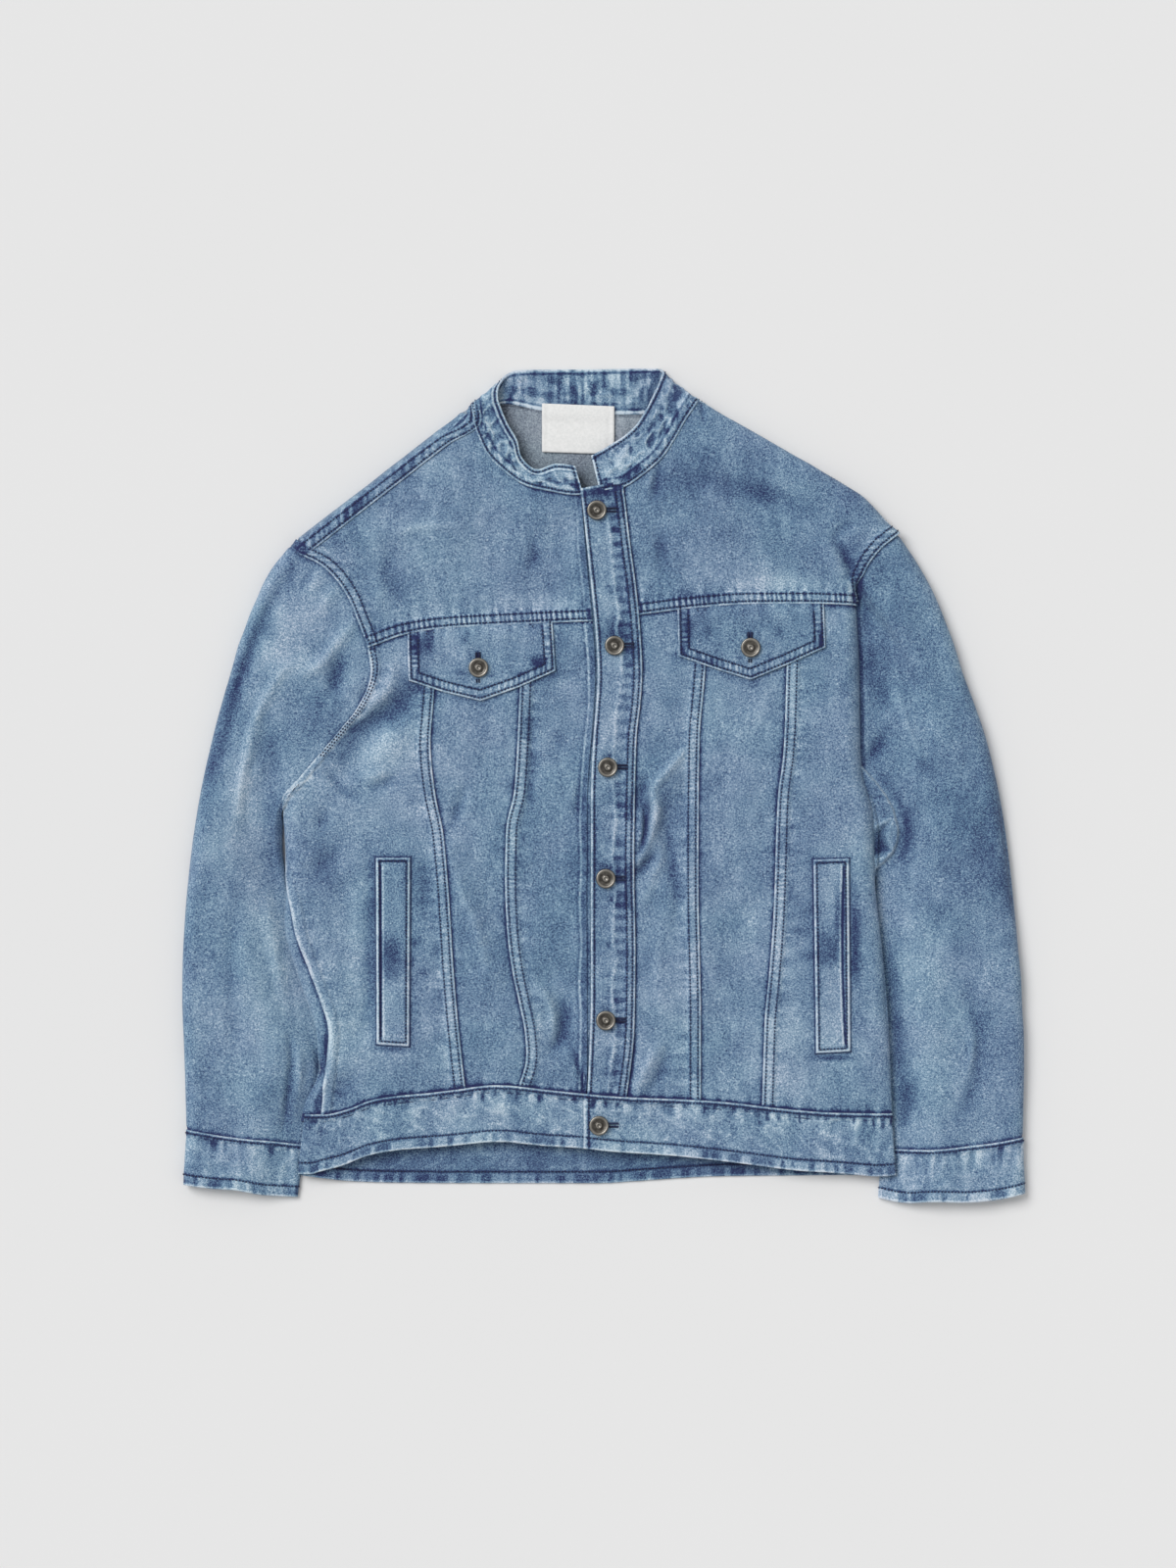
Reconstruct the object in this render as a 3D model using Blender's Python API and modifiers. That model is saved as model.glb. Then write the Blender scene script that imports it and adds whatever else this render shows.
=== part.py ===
"""A denim jacket laid flat on its back, front up, as one wall of cloth for each cut piece.

The body is a flattened tube. Each of its pieces is drawn on the opened-out front or back
and then laid: a place inside the outline goes on the top or the under side, and a place
past the outline goes round the turned edge to the other side. Tables are in millimetres.
X runs across the garment, Y towards the collar and Z up from the surface it lies on.
"""

import math

import bmesh
import bpy
import numpy as np
from mathutils import Matrix, Vector

MM = 0.001
DENIM = 1.2  # one layer of cloth
DOUBLED = 2.2  # collar, cuffs, waistband, plackets, flaps and welts
SEAM_GAP = 0.3
RESTING_GAP = 0.4  # from a panel to what lies on it
FRONT, BACK = "front", "back"

COLOURS = {
    # material: (red, green, blue), roughness, metallic
    "denim": ((0.17, 0.26, 0.38), 0.9, 0.0),
    "denim_doubled": ((0.24, 0.31, 0.42), 0.9, 0.0),
    "label_cloth": ((0.8, 0.8, 0.79), 0.8, 0.0),
    "button_metal": ((0.28, 0.25, 0.21), 0.35, 1.0),
}


# Smooth lines through short tables


class Line:
    """A smooth line through rows, read by a rising key: the rows' first column by default."""

    def __init__(self, rows, keys=None):
        rows = np.array(rows, float)
        if keys is None:
            rows = rows[np.argsort(rows[:, 0])]
            keys, rows = rows[:, 0], rows[:, 1:]
        self.keys = np.array(keys, float)
        self.rows = rows
        rises = np.diff(rows, axis=0) / np.diff(self.keys)[:, None]
        before, after = rises[:-1], rises[1:]
        same_way = before * after > 0
        both = np.where(same_way, before + after, 1.0)
        between = np.where(same_way, 2 * before * after / both, 0)
        self.slopes = np.concatenate([rises[:1], between, rises[-1:]])

    def __call__(self, key):
        key = np.clip(np.asarray(key, float), self.keys[0], self.keys[-1])
        i = np.clip(np.searchsorted(self.keys, key, "right") - 1, 0, len(self.keys) - 2)
        step = (self.keys[i + 1] - self.keys[i])[..., None]
        t = (key - self.keys[i])[..., None] / step
        rise = self.rows[i] * (1 + 2 * t) * (1 - t) ** 2 + self.rows[i + 1] * (3 - 2 * t) * t**2
        lean = self.slopes[i] * t * (1 - t) ** 2 - self.slopes[i + 1] * t**2 * (1 - t)
        found = rise + lean * step
        return found[..., 0] if found.shape[-1] == 1 else found


def route(rows):
    """A smooth line through points, read by the share of its length from 0 to 1."""
    rows = np.array(rows, float)
    run = np.concatenate([[0], np.cumsum(np.linalg.norm(np.diff(rows, axis=0), axis=1))])
    line = Line(rows, run / run[-1])
    line.slopes = np.gradient(rows, line.keys, axis=0)
    return line


def ease(value):
    """0 up to 0, 1 from 1 on, and smooth between."""
    value = np.clip(value, 0, 1)
    return value * value * (3 - 2 * value)


# Outline of the body


LEFT_OUTLINE = (
    # y, x
    (60, -279),
    (-23.4, -277.1),
    (-83.7, -274.6),
    (-117.7, -276.0),
    (-168.7, -263.5),
    (-212.9, -249.0),
    (-245.2, -246.5),
    (-279.2, -260.1),
    (-336.2, -267.8),
)
RIGHT_OUTLINE = (
    # y, x
    (205.3, 275.0),
    (192.5, 249.0),
    (179.8, 229.0),
    (169.6, 220.5),
    (160.2, 218.6),
    (99.9, 221.0),
    (35.3, 221.8),
    (12.3, 223.5),
    (-25.1, 232.9),
    (-83.7, 234.6),
    (-139.8, 240.5),
    (-198.5, 245.7),
    (-286.9, 249.9),
    (-337.0, 253.3),
)
NECK_LEFT, TIP_LEFT = (-109.6, 333.6), (-269.4, 210.4)
NECK_RIGHT, TIP_RIGHT = (79.9, 334.5), (253.3, 220.6)
RIGHT_SHOULDER_BOW = ((-20, 0), (0, 0), (60, -4), (128, -7.5), (162, -9), (207, 0), (230, 0))

BODY_HEIGHT = (
    # y, height of the front
    (345, 13),
    (300, 15),
    (220, 18),
    (120, 20),
    (0, 21),
    (-180, 20),
    (-262, 16),
    (-300, 13.5),
    (-345, 12),
)
SIDE_LIFT = (
    # y, height of the back at the left edge, at the right edge
    (345, 0, 0),
    (-20, 0, 0),
    (-60, 3, 3),
    (-110, 8, 8),
    (-250, 8, 8),
    (-345, 8, 8.5),
)
LIFT_REACH = 62  # how far in from the edge the back comes down to the surface
EDGE_HEIGHT = (
    # y, height of the turned edge at the left, at the right
    (345, 9, 9),
    (100, 9.5, 9.5),
    (-20, 9.5, 9.5),
    (-100, 13.2, 13.2),
    (-260, 12.6, 12.6),
    (-345, 10.6, 10.9),
)
FOLDS = (
    # from x, y, over x, y, to x, y, width, rise
    (-184, 66, -196, 44, -226, 8, 12, -3.0),
    (-134, -53, -112, -96, -96, -167, 14, 2.4),
    (-46, -167, -33, -195, -38, -223, 14, -2.4),
    (58, 9, 39, -34, 29, -64, 13, 2.6),
    (74, 4, 52, -40, 42, -80, 12, -2.2),
    (45, -225, 36, -245, 27, -265, 12, 2.0),
    (-197, 217, -162, 223, -125, 224, 15, 1.6),
    (120, -110, 112, -170, 104, -225, 22, -1.8),
    (-225, -90, -215, -150, -206, -215, 16, -2.2),
    (-40, 215, -52, 190, -50, 165, 20, -1.8),
)
UNDER_PLACKET_EDGE = (
    # y, x of the seam that joins the button stand to the left front
    (253.7, -22.5),
    (182.3, -16.5),
    (140.7, -12.5),
    (99.9, -10.0),
    (32.7, -14.0),
    (-3.8, -17.0),
    (-88.8, -17.5),
    (-240.1, -17.0),
    (-275.7, -18.5),
)
STAND_DROP = 3.0  # how far the button stand dips under the placket
STAND_DIP = 9.0  # over how much of its width

left_x = Line(LEFT_OUTLINE)
right_x = Line(RIGHT_OUTLINE)
body_height = Line(BODY_HEIGHT)
side_lift = Line(SIDE_LIFT)
edge_height = Line(EDGE_HEIGHT)
stand_x = Line(UNDER_PLACKET_EDGE)


def fold_rise(x, y, folds=FOLDS):
    """How far the soft folds lift or sink the front at a place."""
    rise = np.zeros(np.shape(x))
    for x0, y0, x1, y1, x2, y2, width, height in folds:
        nearest = np.full(np.shape(x), 1e9)
        for t in np.linspace(0.04, 0.96, 9):
            a, b, c = (1 - t) ** 2, 2 * t * (1 - t), t * t
            apart = np.hypot(x - a * x0 - b * x1 - c * x2, y - a * y0 - b * y1 - c * y2)
            nearest = np.minimum(nearest, apart)
        rise += height * np.exp(-((nearest / width) ** 2))
    return rise


def front_height(x, y):
    return body_height(y) + fold_rise(x, y)


def back_height(x, y):
    lift = side_lift(y)
    left = lift[..., 0] * (1 - ease((x - left_x(y)) / LIFT_REACH))
    right = lift[..., 1] * (1 - ease((right_x(y) - x) / LIFT_REACH))
    return np.maximum(left, right)


class Edge:
    """A turned edge of the flattened body: (along, inward) from a start, with a bow in it."""

    def __init__(self, start, end, inward_side, bow, reach, top_radius, under_radius, height):
        self.start = np.array(start, float)
        self.along = np.array(end, float) - self.start
        self.along /= np.linalg.norm(self.along)
        self.inward = np.array([self.along[1], -self.along[0]]) * inward_side
        self.bow = bow
        self.reach = reach
        self.top_radius, self.under_radius = top_radius, under_radius
        self.height = height
        self.top_arc = math.pi / 4 * (top_radius + 9.5)
        self.under_arc = math.pi / 4 * (under_radius + 7.0)

    def from_inset(self, inset):
        """Run of cloth from the edge to a place on the top this far in, seen from above."""
        turned = np.arcsin(np.clip(1 - inset / self.top_radius, 0, 1)) / (math.pi / 2)
        on_turn = self.top_arc * (1 - turned)
        flat = self.top_arc + inset - self.top_radius
        return np.where(inset < self.top_radius, on_turn, flat)

    def opened(self, along, run, side):
        """Where a place, this run of cloth in from the edge on the top, is drawn."""
        along, run = np.broadcast_arrays(np.asarray(along, float), run)
        inset = run + self.top_radius - self.top_arc
        if side == BACK:
            inset = self.under_radius - self.under_arc - run
        return self.place(along, inset)

    def place(self, along, inset):
        inward = self.bow(along) + inset
        return self.start + along[..., None] * self.along + inward[..., None] * self.inward


def side_bow(line, sign):
    return lambda along: sign * line(along)


left_edge = Edge(
    (0, 0), (0, 1), 1, side_bow(left_x, 1), (-400, 60), 14, 7, lambda a: edge_height(a)[..., 0]
)
right_edge = Edge(
    (0, 0), (0, 1), -1, side_bow(right_x, -1), (-400, 206), 13, 7, lambda a: edge_height(a)[..., 1]
)
left_shoulder = Edge(
    NECK_LEFT, TIP_LEFT, -1, lambda a: 0 * a, (-40, 230), 12, 7, lambda a: 8 + 0 * a
)
right_shoulder = Edge(
    NECK_RIGHT, TIP_RIGHT, 1, Line(RIGHT_SHOULDER_BOW), (-40, 232), 12, 7, lambda a: 8 + 0 * a
)
EDGES = (left_edge, right_edge, left_shoulder, right_shoulder)


def laid(drawn, side):
    """Places on the outside of the garment, for places drawn on its opened-out front or back."""
    drawn = np.asarray(drawn, float)
    x, y = drawn[..., 0], drawn[..., 1]
    height = front_height(x, y) if side == FRONT else back_height(x, y)
    found = np.stack([x, y, height], -1)
    for edge in EDGES:
        away = drawn - edge.start
        along, inward = away @ edge.along, away @ edge.inward
        inset = inward - edge.bow(along)
        run = inset - edge.top_radius + edge.top_arc
        if side == BACK:
            run = edge.under_radius - edge.under_arc - inset
        limit = edge.top_radius if side == FRONT else edge.under_radius
        near = (inset < limit) & (along > edge.reach[0]) & (along < edge.reach[1])
        if not near.any():
            continue
        middle = edge.height(along)
        top_place = edge.place(along, np.maximum(edge.top_radius, run + edge.top_radius - edge.top_arc))
        under_run = -run - edge.under_arc + edge.under_radius
        under_place = edge.place(along, np.maximum(edge.under_radius, under_run))
        above = front_height(top_place[..., 0], top_place[..., 1]) - middle
        below = middle - back_height(under_place[..., 0], under_place[..., 1])
        over = np.clip(1 - run / edge.top_arc, 0, 1) * math.pi / 2
        beneath = np.clip(-run / edge.under_arc, 0, 1) * math.pi / 2
        top_in = np.where(
            run > edge.top_arc,
            run + edge.top_radius - edge.top_arc,
            edge.top_radius * (1 - np.sin(over)),
        )
        under_in = np.where(-run > edge.under_arc, under_run, edge.under_radius * (1 - np.cos(beneath)))
        flat = edge.place(along, np.where(run > 0, top_in, under_in))
        level = np.where(run > 0, middle + above * np.cos(over), middle - below * np.sin(beneath))
        turned = np.concatenate([flat, level[..., None]], -1)
        found = np.where(near[..., None], turned, found)
    return found


def outward(drawn, side, reach=0.8):
    """Unit directions out of the cloth at places drawn on the front or the back."""
    drawn = np.asarray(drawn, float)
    ahead = laid(drawn + (reach, 0), side) - laid(drawn - (reach, 0), side)
    up = laid(drawn + (0, reach), side) - laid(drawn - (0, reach), side)
    found = np.cross(ahead, up)
    found /= np.linalg.norm(found, axis=-1, keepdims=True)
    return found if side == FRONT else -found


def drawn_on_top(points, side=FRONT):
    """Where places seen from above, on the top near a turned edge, are drawn."""
    points = np.array(points, float)
    found = points.copy()
    for edge in EDGES:
        away = points - edge.start
        along, inward = away @ edge.along, away @ edge.inward
        inset = inward - edge.bow(along)
        near = (inset < edge.top_radius) & (along > edge.reach[0]) & (along < edge.reach[1])
        moved = edge.opened(along, edge.from_inset(np.maximum(inset, 0)), side)
        found = np.where(near[..., None], moved, found)
    return found


# Patches and walls of cloth


def shares(cells, start=0.0, end=0.0):
    """Shares from 0 to 1, closer together at either end by up to all of the way."""
    even = np.linspace(0, 1, cells + 1)
    at_start = 1 - np.cos(even * math.pi / 2)
    at_end = np.sin(even * math.pi / 2)
    at_both = (1 - np.cos(even * math.pi)) / 2
    both = min(start, end)
    return (
        (1 - start - end + both) * even
        + (start - both) * at_start
        + (end - both) * at_end
        + both * at_both
    )


def patch(bottom, top, left, right, across=None, along=None):
    """A grid of rows by columns between four lines of points that meet at the corners."""
    rows, columns = len(left), len(bottom)
    v = (np.linspace(0, 1, rows) if along is None else along)[:, None, None]
    u = (np.linspace(0, 1, columns) if across is None else across)[None, :, None]
    up = bottom[None] * (1 - v) + top[None] * v
    across = left[:, None] * (1 - u) + right[:, None] * u
    corners = (
        bottom[0] * (1 - u) * (1 - v) + bottom[-1] * u * (1 - v) + top[0] * (1 - u) * v + top[-1] * u * v
    )
    return up + across - corners


def shifted(line, amount):
    """A line of points moved to its left by this much."""
    step = np.gradient(line, axis=0)
    step /= np.linalg.norm(step, axis=1, keepdims=True)
    return line + amount * np.stack([-step[:, 1], step[:, 0]], 1)


def seam_allowed(grid, gap=SEAM_GAP):
    """The grid with its border drawn in by half a seam gap."""
    grid = grid.copy()
    half = gap / 2
    bottom, top = shifted(grid[0], half), shifted(grid[-1], -half)
    left, right = shifted(grid[:, 0], -half), shifted(grid[:, -1], half)
    moves = np.zeros_like(grid)
    moves[0] += bottom - grid[0]
    moves[-1] += top - grid[-1]
    moves[:, 0] += left - grid[:, 0]
    moves[:, -1] += right - grid[:, -1]
    return grid + moves


def grid_normals(outer, closed=False):
    """Unit directions across a grid of places: rows run away from the reader, columns to the right."""
    if closed:
        across = np.roll(outer, -1, axis=1) - np.roll(outer, 1, axis=1)
    else:
        across = np.gradient(outer, axis=1)
    found = np.cross(across, np.gradient(outer, axis=0))
    return found / np.linalg.norm(found, axis=-1, keepdims=True)


def wall(name, outer, normals, thickness, material, closed=False):
    """A closed wall of cloth between its outside and the same places moved in by its thickness."""
    rows, columns = outer.shape[:2]
    inner = outer - normals * thickness
    mesh = bmesh.new()
    faces = [
        [[mesh.verts.new(Vector(point) * MM) for point in row] for row in grid] for grid in (outer, inner)
    ]
    outside, inside = faces
    last = columns if closed else columns - 1
    for i in range(rows - 1):
        for j in range(last):
            k = (j + 1) % columns
            mesh.faces.new((outside[i][j], outside[i][k], outside[i + 1][k], outside[i + 1][j]))
            mesh.faces.new((inside[i][j], inside[i + 1][j], inside[i + 1][k], inside[i][k]))
    for j in range(last):
        k = (j + 1) % columns
        mesh.faces.new((outside[0][j], inside[0][j], inside[0][k], outside[0][k]))
        mesh.faces.new((outside[-1][j], outside[-1][k], inside[-1][k], inside[-1][j]))
    if not closed:
        for i in range(rows - 1):
            mesh.faces.new((outside[i][0], outside[i + 1][0], inside[i + 1][0], inside[i][0]))
            mesh.faces.new((outside[i][-1], inside[i][-1], inside[i + 1][-1], outside[i + 1][-1]))
    return add_object(name, mesh, material)


def add_object(name, mesh, material):
    data = bpy.data.meshes.new(name)
    mesh.to_mesh(data)
    mesh.free()
    data.shade_smooth()
    data.materials.append(material)
    piece = bpy.data.objects.new(name, data)
    jacket.objects.link(piece)
    return piece


def panel(name, grid, side, thickness=DENIM, material="denim"):
    """A cut piece of the body, laid, with its seam gaps."""
    grid = seam_allowed(grid)
    if side == BACK:
        grid = grid[:, ::-1]
    wall(name, laid(grid, side), outward(grid, side), thickness, materials[material])
    return grid


def make_materials():
    made = {}
    for name, (colour, roughness, metallic) in COLOURS.items():
        made[name] = bpy.data.materials.new(name)
        made[name].use_nodes = True
        shader = made[name].node_tree.nodes["Principled BSDF"]
        shader.inputs["Base Color"].default_value = (*colour, 1)
        shader.inputs["Roughness"].default_value = roughness
        shader.inputs["Metallic"].default_value = metallic
    return made


for old in list(bpy.data.objects):
    bpy.data.objects.remove(old, do_unlink=True)
jacket = bpy.data.collections.new("denim_jacket")
bpy.context.scene.collection.children.link(jacket)
materials = make_materials()


# Seams of the body


WAIST_SEAM = (
    # x, y of the seam between the fronts and the waistband
    (-300, -288.6),
    (-263.5, -288.6),
    (-236.3, -286.9),
    (-193.8, -273.7),
    (-138.5, -268.2),
    (-91.8, -262.6),
    (-45.9, -267.3),
    (-18.7, -270.0),
    (16.1, -272.9),
    (96.0, -276.7),
    (164.9, -284.3),
    (203.2, -286.9),
    (249.9, -287.5),
    (300, -287.5),
)
LEFT_YOKE_SEAM = ((-201.4, 125.4), (-170.0, 135.6), (-132.6, 141.1), (-71.4, 144.5), (-12.5, 147.0))
RIGHT_YOKE_SEAM = ((28.1, 152.2), (71.4, 157.7), (125.8, 161.5), (173.4, 161.5), (219.3, 160.2))
LEFT_ARMHOLE = (
    # x, y from the yoke seam down to the underarm, seen from above
    (-201.4, 125.4),
    (-197.2, 101.6),
    (-203.2, 79.5),
    (-217.6, 56.5),
    (-233.8, 37.8),
    (-256.0, 10.0),
    (-269.4, -6.0),
    (-277.1, -23.4),
)
LEFT_ARMHOLE_TOP = ((-250.8, 200.0), (-233.8, 186.6), (-219.3, 167.9), (-209.1, 144.7), (-201.4, 125.4))
RIGHT_ARMHOLE_TOP = ((253.3, 220.6), (237.2, 207.8), (226.0, 193.5), (219.8, 180.3), (218.8, 160.2))
SIDE_SEAM_INSET = (
    # y, how far in from the left edge the side seam runs on the top
    (-23.4, 0),
    (-59, 0.5),
    (-78, 2),
    (-108, 10),
    (-143, 15.5),
    (-196, 17.5),
    (-237, 11.5),
    (-262, 14),
    (-282, 20),
    (-290, 21),
)
RIGHT_SEAM_RUN = (
    # y, run of cloth from the right edge on the top; below nought it is on the under side
    (160.2, 0),
    (12.3, 0),
    (-40, -4),
    (-290, -4),
)
PRINCESS_SEAMS = {
    # y, x
    "left_outer": (
        (139.8, -148.8), (81.2, -151.3), (35.3, -154.7), (-5.5, -150.9), (-38.7, -144.1), (-75.2, -140.2),
        (-167, -134.3), (-223.1, -129.2), (-268.2, -124.1),
    ),
    "left_inner": (
        (144.9, -64.6), (85.4, -67.1), (35.3, -69.3), (-5.5, -72.2), (-38.7, -79), (-84.6, -79.9),
        (-139.8, -76.9), (-176.4, -70.5), (-213.8, -62.9), (-236.7, -62), (-262.2, -69.7),
    ),
    "right_inner": (
        (158.5, 85), (99.9, 82.5), (35.3, 77.3), (-83.7, 76.5), (-202.7, 78.6), (-275, 78.6),
    ),
    "right_outer": (
        (161.9, 165.8), (106.7, 163.2), (35.3, 160.7), (-13.2, 155.1), (-62.5, 153.4), (-101.6, 152.2),
        (-160.2, 148.3), (-198.5, 144.5), (-280.1, 141.9),
    ),
}
PLACKET_SEAM = (
    # y, x of the seam between the placket and the right front
    (256, 15.3),
    (207, 21.2),
    (151.7, 28.1),
    (94.8, 31.4),
    (32.7, 26),
    (-76.1, 24.4),
    (-137.3, 25.5),
    (-210.4, 24.6),
    (-231.6, 22.9),
    (-273, 17.5),
)
PLACKET_FREE_EDGE = (
    # y, x
    (253.7, -19.6),
    (182.3, -11.9),
    (140.7, -7.6),
    (99.9, -5.1),
    (32.7, -9.3),
    (-3.8, -11),
    (-179.8, -11),
    (-240.1, -12.8),
    (-271.5, -14.4),
)
PANEL_ROWS = 16
ARMHOLE_ROWS = 6  # of the side panel's rows, those beside the armhole

waist_y = Line(WAIST_SEAM)
placket_seam_x = Line(PLACKET_SEAM)
free_edge_x = Line(PLACKET_FREE_EDGE)


def seam_points(table, bottom, top, rows=PANEL_ROWS):
    """Points up a seam that runs along Y, drawn."""
    y = np.linspace(bottom, top, rows + 1)
    return drawn_on_top(np.stack([Line(table)(y), y], 1))


def at_waist(x):
    x = np.asarray(x, float)
    return np.stack([x, waist_y(x)], -1)


def across_between(start, end, share, line):
    """Points from start to end, which follow a line read by X and meet both ends."""
    straight = start + share[:, None] * (end - start)
    y = line(straight[:, 0])
    miss = (start[1] - y[0]) * (1 - share) + (end[1] - y[-1]) * share
    return np.stack([straight[:, 0], y + miss], 1)


def front_panel(name, left, right, top_line, across):
    bottom = across_between(left[0], right[0], across, waist_y)
    top = across_between(left[-1], right[-1], across, top_line)
    panel(name, patch(bottom, top, left, right, across), FRONT)
    return bottom, top


left_yoke_y = Line(LEFT_YOKE_SEAM)
right_yoke_y = Line(RIGHT_YOKE_SEAM)
left_side_seam_y = np.linspace(-288.0, -23.4, PANEL_ROWS - ARMHOLE_ROWS + 1)
left_side_run = left_edge.from_inset(Line(SIDE_SEAM_INSET)(left_side_seam_y))
left_side_seam = left_edge.opened(left_side_seam_y, left_side_run, FRONT)
left_armhole = drawn_on_top(route(LEFT_ARMHOLE[::-1])(np.linspace(0, 1, ARMHOLE_ROWS + 1)))
left_flank = np.concatenate([left_side_seam, left_armhole[1:]])

right_seam_y = np.concatenate(
    [np.linspace(-287.5, 12.3, PANEL_ROWS - ARMHOLE_ROWS + 1), np.linspace(12.3, 160.2, ARMHOLE_ROWS + 1)[1:]]
)
right_flank = right_edge.opened(right_seam_y, Line(RIGHT_SEAM_RUN)(right_seam_y), FRONT)

princess = {
    "left_outer": seam_points(PRINCESS_SEAMS["left_outer"], waist_y(-124.1), left_yoke_y(-148.8)),
    "left_inner": seam_points(PRINCESS_SEAMS["left_inner"], waist_y(-69.7), left_yoke_y(-64.6)),
    "right_inner": seam_points(PRINCESS_SEAMS["right_inner"], waist_y(78.6), right_yoke_y(85)),
    "right_outer": seam_points(PRINCESS_SEAMS["right_outer"], waist_y(141.9), right_yoke_y(165.8)),
}
left_front_edge = seam_points(UNDER_PLACKET_EDGE, waist_y(-18.5), left_yoke_y(-12.5))
right_front_edge = seam_points(PLACKET_SEAM, waist_y(17.5), right_yoke_y(28.1))

# Lower fronts
left_lower = [
    front_panel("left_side", left_flank, princess["left_outer"], left_yoke_y, shares(5, 0.3)),
    front_panel("left_middle", princess["left_outer"], princess["left_inner"], left_yoke_y, shares(4)),
    front_panel("left_centre", princess["left_inner"], left_front_edge, left_yoke_y, shares(3)),
]
right_lower = [
    front_panel("right_centre", right_front_edge, princess["right_inner"], right_yoke_y, shares(3)),
    front_panel("right_middle", princess["right_inner"], princess["right_outer"], right_yoke_y, shares(4)),
    front_panel("right_side", princess["right_outer"], right_flank, right_yoke_y, shares(7, 0, 1)),
]


# Yokes


LEFT_NECKLINE = (
    # x, y from the shoulder seam to the front edge
    (-112.2, 322.5),
    (-106.2, 303.9),
    (-97.8, 286.9),
    (-85.4, 274.5),
    (-71.4, 263.9),
    (-47.6, 257.1),
    (-22.5, 253.7),
)
RIGHT_NECKLINE = (
    # x, y from the placket to where the neckline starts to turn over the shoulder
    (15.3, 260.0),
    (30.6, 269.5),
    (50.1, 286.9),
    (63.8, 309.0),
    (71.0, 321.3),
)
STRIP_INSET = 11.5  # of the left shoulder seam, in front of the fold
RIGHT_SHOULDER_RUN = -4.0  # of the right shoulder seam, just round the fold
YOKE_ROWS = 7
NECK_CELLS = 7
LEFT_TIP_ALONG, LEFT_NECK_ALONG = 199.5, 10.0
RIGHT_TIP_ALONG = 207.0


def join(parts):
    """Lines of points, end to end, as one."""
    return np.concatenate([parts[0]] + [part[1:] for part in parts[1:]])


left_waist, left_yoke_bottom = (join(lines) for lines in zip(*left_lower))
shoulder_cells = len(left_yoke_bottom) - 1 - NECK_CELLS
left_along = np.linspace(LEFT_TIP_ALONG, LEFT_NECK_ALONG, shoulder_cells + 1)
strip_run = left_shoulder.from_inset(np.full(shoulder_cells + 1, STRIP_INSET))
left_shoulder_seam = left_shoulder.opened(left_along, strip_run, FRONT)
left_neck_points = drawn_on_top(route(LEFT_NECKLINE)(shares(NECK_CELLS, 0.6, 0)))
left_neck_points[0] = left_shoulder_seam[-1]
left_yoke_top = join([left_shoulder_seam, left_neck_points])
left_yoke_armhole = drawn_on_top(route(LEFT_ARMHOLE_TOP)(np.linspace(1, 0, YOKE_ROWS + 1)))
left_yoke_armhole[-1] = left_shoulder_seam[0]
left_yoke_armhole[0] = left_yoke_bottom[0]
centre_y = np.linspace(left_yoke_bottom[-1][1], left_yoke_top[-1][1], YOKE_ROWS + 1)
left_yoke_centre = np.stack([stand_x(centre_y), centre_y], 1)
left_yoke_centre[0] = left_yoke_bottom[-1]
left_yoke_top[-1] = left_yoke_centre[-1]
panel("left_yoke", patch(left_yoke_bottom, left_yoke_top, left_yoke_armhole, left_yoke_centre), FRONT)

right_waist, right_yoke_bottom = (join(lines) for lines in zip(*right_lower))
shoulder_cells = len(right_yoke_bottom) - 1 - NECK_CELLS
right_along = np.linspace(0, RIGHT_TIP_ALONG, shoulder_cells + 1)
right_run = np.full(shoulder_cells + 1, RIGHT_SHOULDER_RUN)
right_shoulder_seam = right_shoulder.opened(right_along, right_run, FRONT)
right_neck_run = np.array([17.0, 7.0, RIGHT_SHOULDER_RUN])
right_neck_turn = right_shoulder.opened(0 * right_neck_run, right_neck_run, FRONT)
right_neck_front = route(RIGHT_NECKLINE)(np.linspace(0, 1, NECK_CELLS - 2))
right_neck_points = np.concatenate([right_neck_front, right_neck_turn])
right_yoke_top = join([right_neck_points, right_shoulder_seam])
right_yoke_armhole = drawn_on_top(route(RIGHT_ARMHOLE_TOP)(1 - shares(YOKE_ROWS, 0, 0.9)))
right_yoke_armhole[-1] = right_shoulder_seam[-1]
right_yoke_armhole[0] = right_yoke_bottom[-1]
centre_y = right_yoke_bottom[0][1] + (RIGHT_NECKLINE[0][1] - right_yoke_bottom[0][1]) * shares(
    YOKE_ROWS, 0, 0.9
)
right_yoke_centre = np.stack([placket_seam_x(centre_y), centre_y], 1)
right_yoke_centre[0] = right_yoke_bottom[0]
right_yoke_centre[-1] = right_yoke_top[0]
right_rows = shares(YOKE_ROWS, 0, 0.9)
panel(
    "right_yoke",
    patch(right_yoke_bottom, right_yoke_top, right_yoke_centre, right_yoke_armhole, None, right_rows),
    FRONT,
)


# Back


BACK_WAIST_SEAM = (
    # x, y as drawn on the opened-out back
    (-330, -288.0),
    (-264, -288.6),
    (-205, -298),
    (195, -298),
    (240, -288.6),
    (300, -287.5),
)
BACK_NECK = (
    # x, y
    (-87.5, 332.8),
    (-53.5, 327.7),
    (-13.6, 324.3),
    (30.6, 324.3),
    (58.0, 330.0),
)
LEFT_UNDER_ARMHOLE = (
    (-270, -14.4),
    (-262, 0),
    (-244, 28),
    (-222, 56),
    (-207, 90),
    (-206, 130),
    (-216, 165),
    (-236, 190),
)
RIGHT_UNDER_ARMHOLE = ((216.5, 21.3), (214, 42), (213, 70), (213, 110), (214, 150), (219, 180), (232, 204))
TURN_CELLS, UNDER_CELLS = 2, 7
TURN_RISE = (0, 2.2, 9)  # of the armhole seam as it goes round the turned edge

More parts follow.
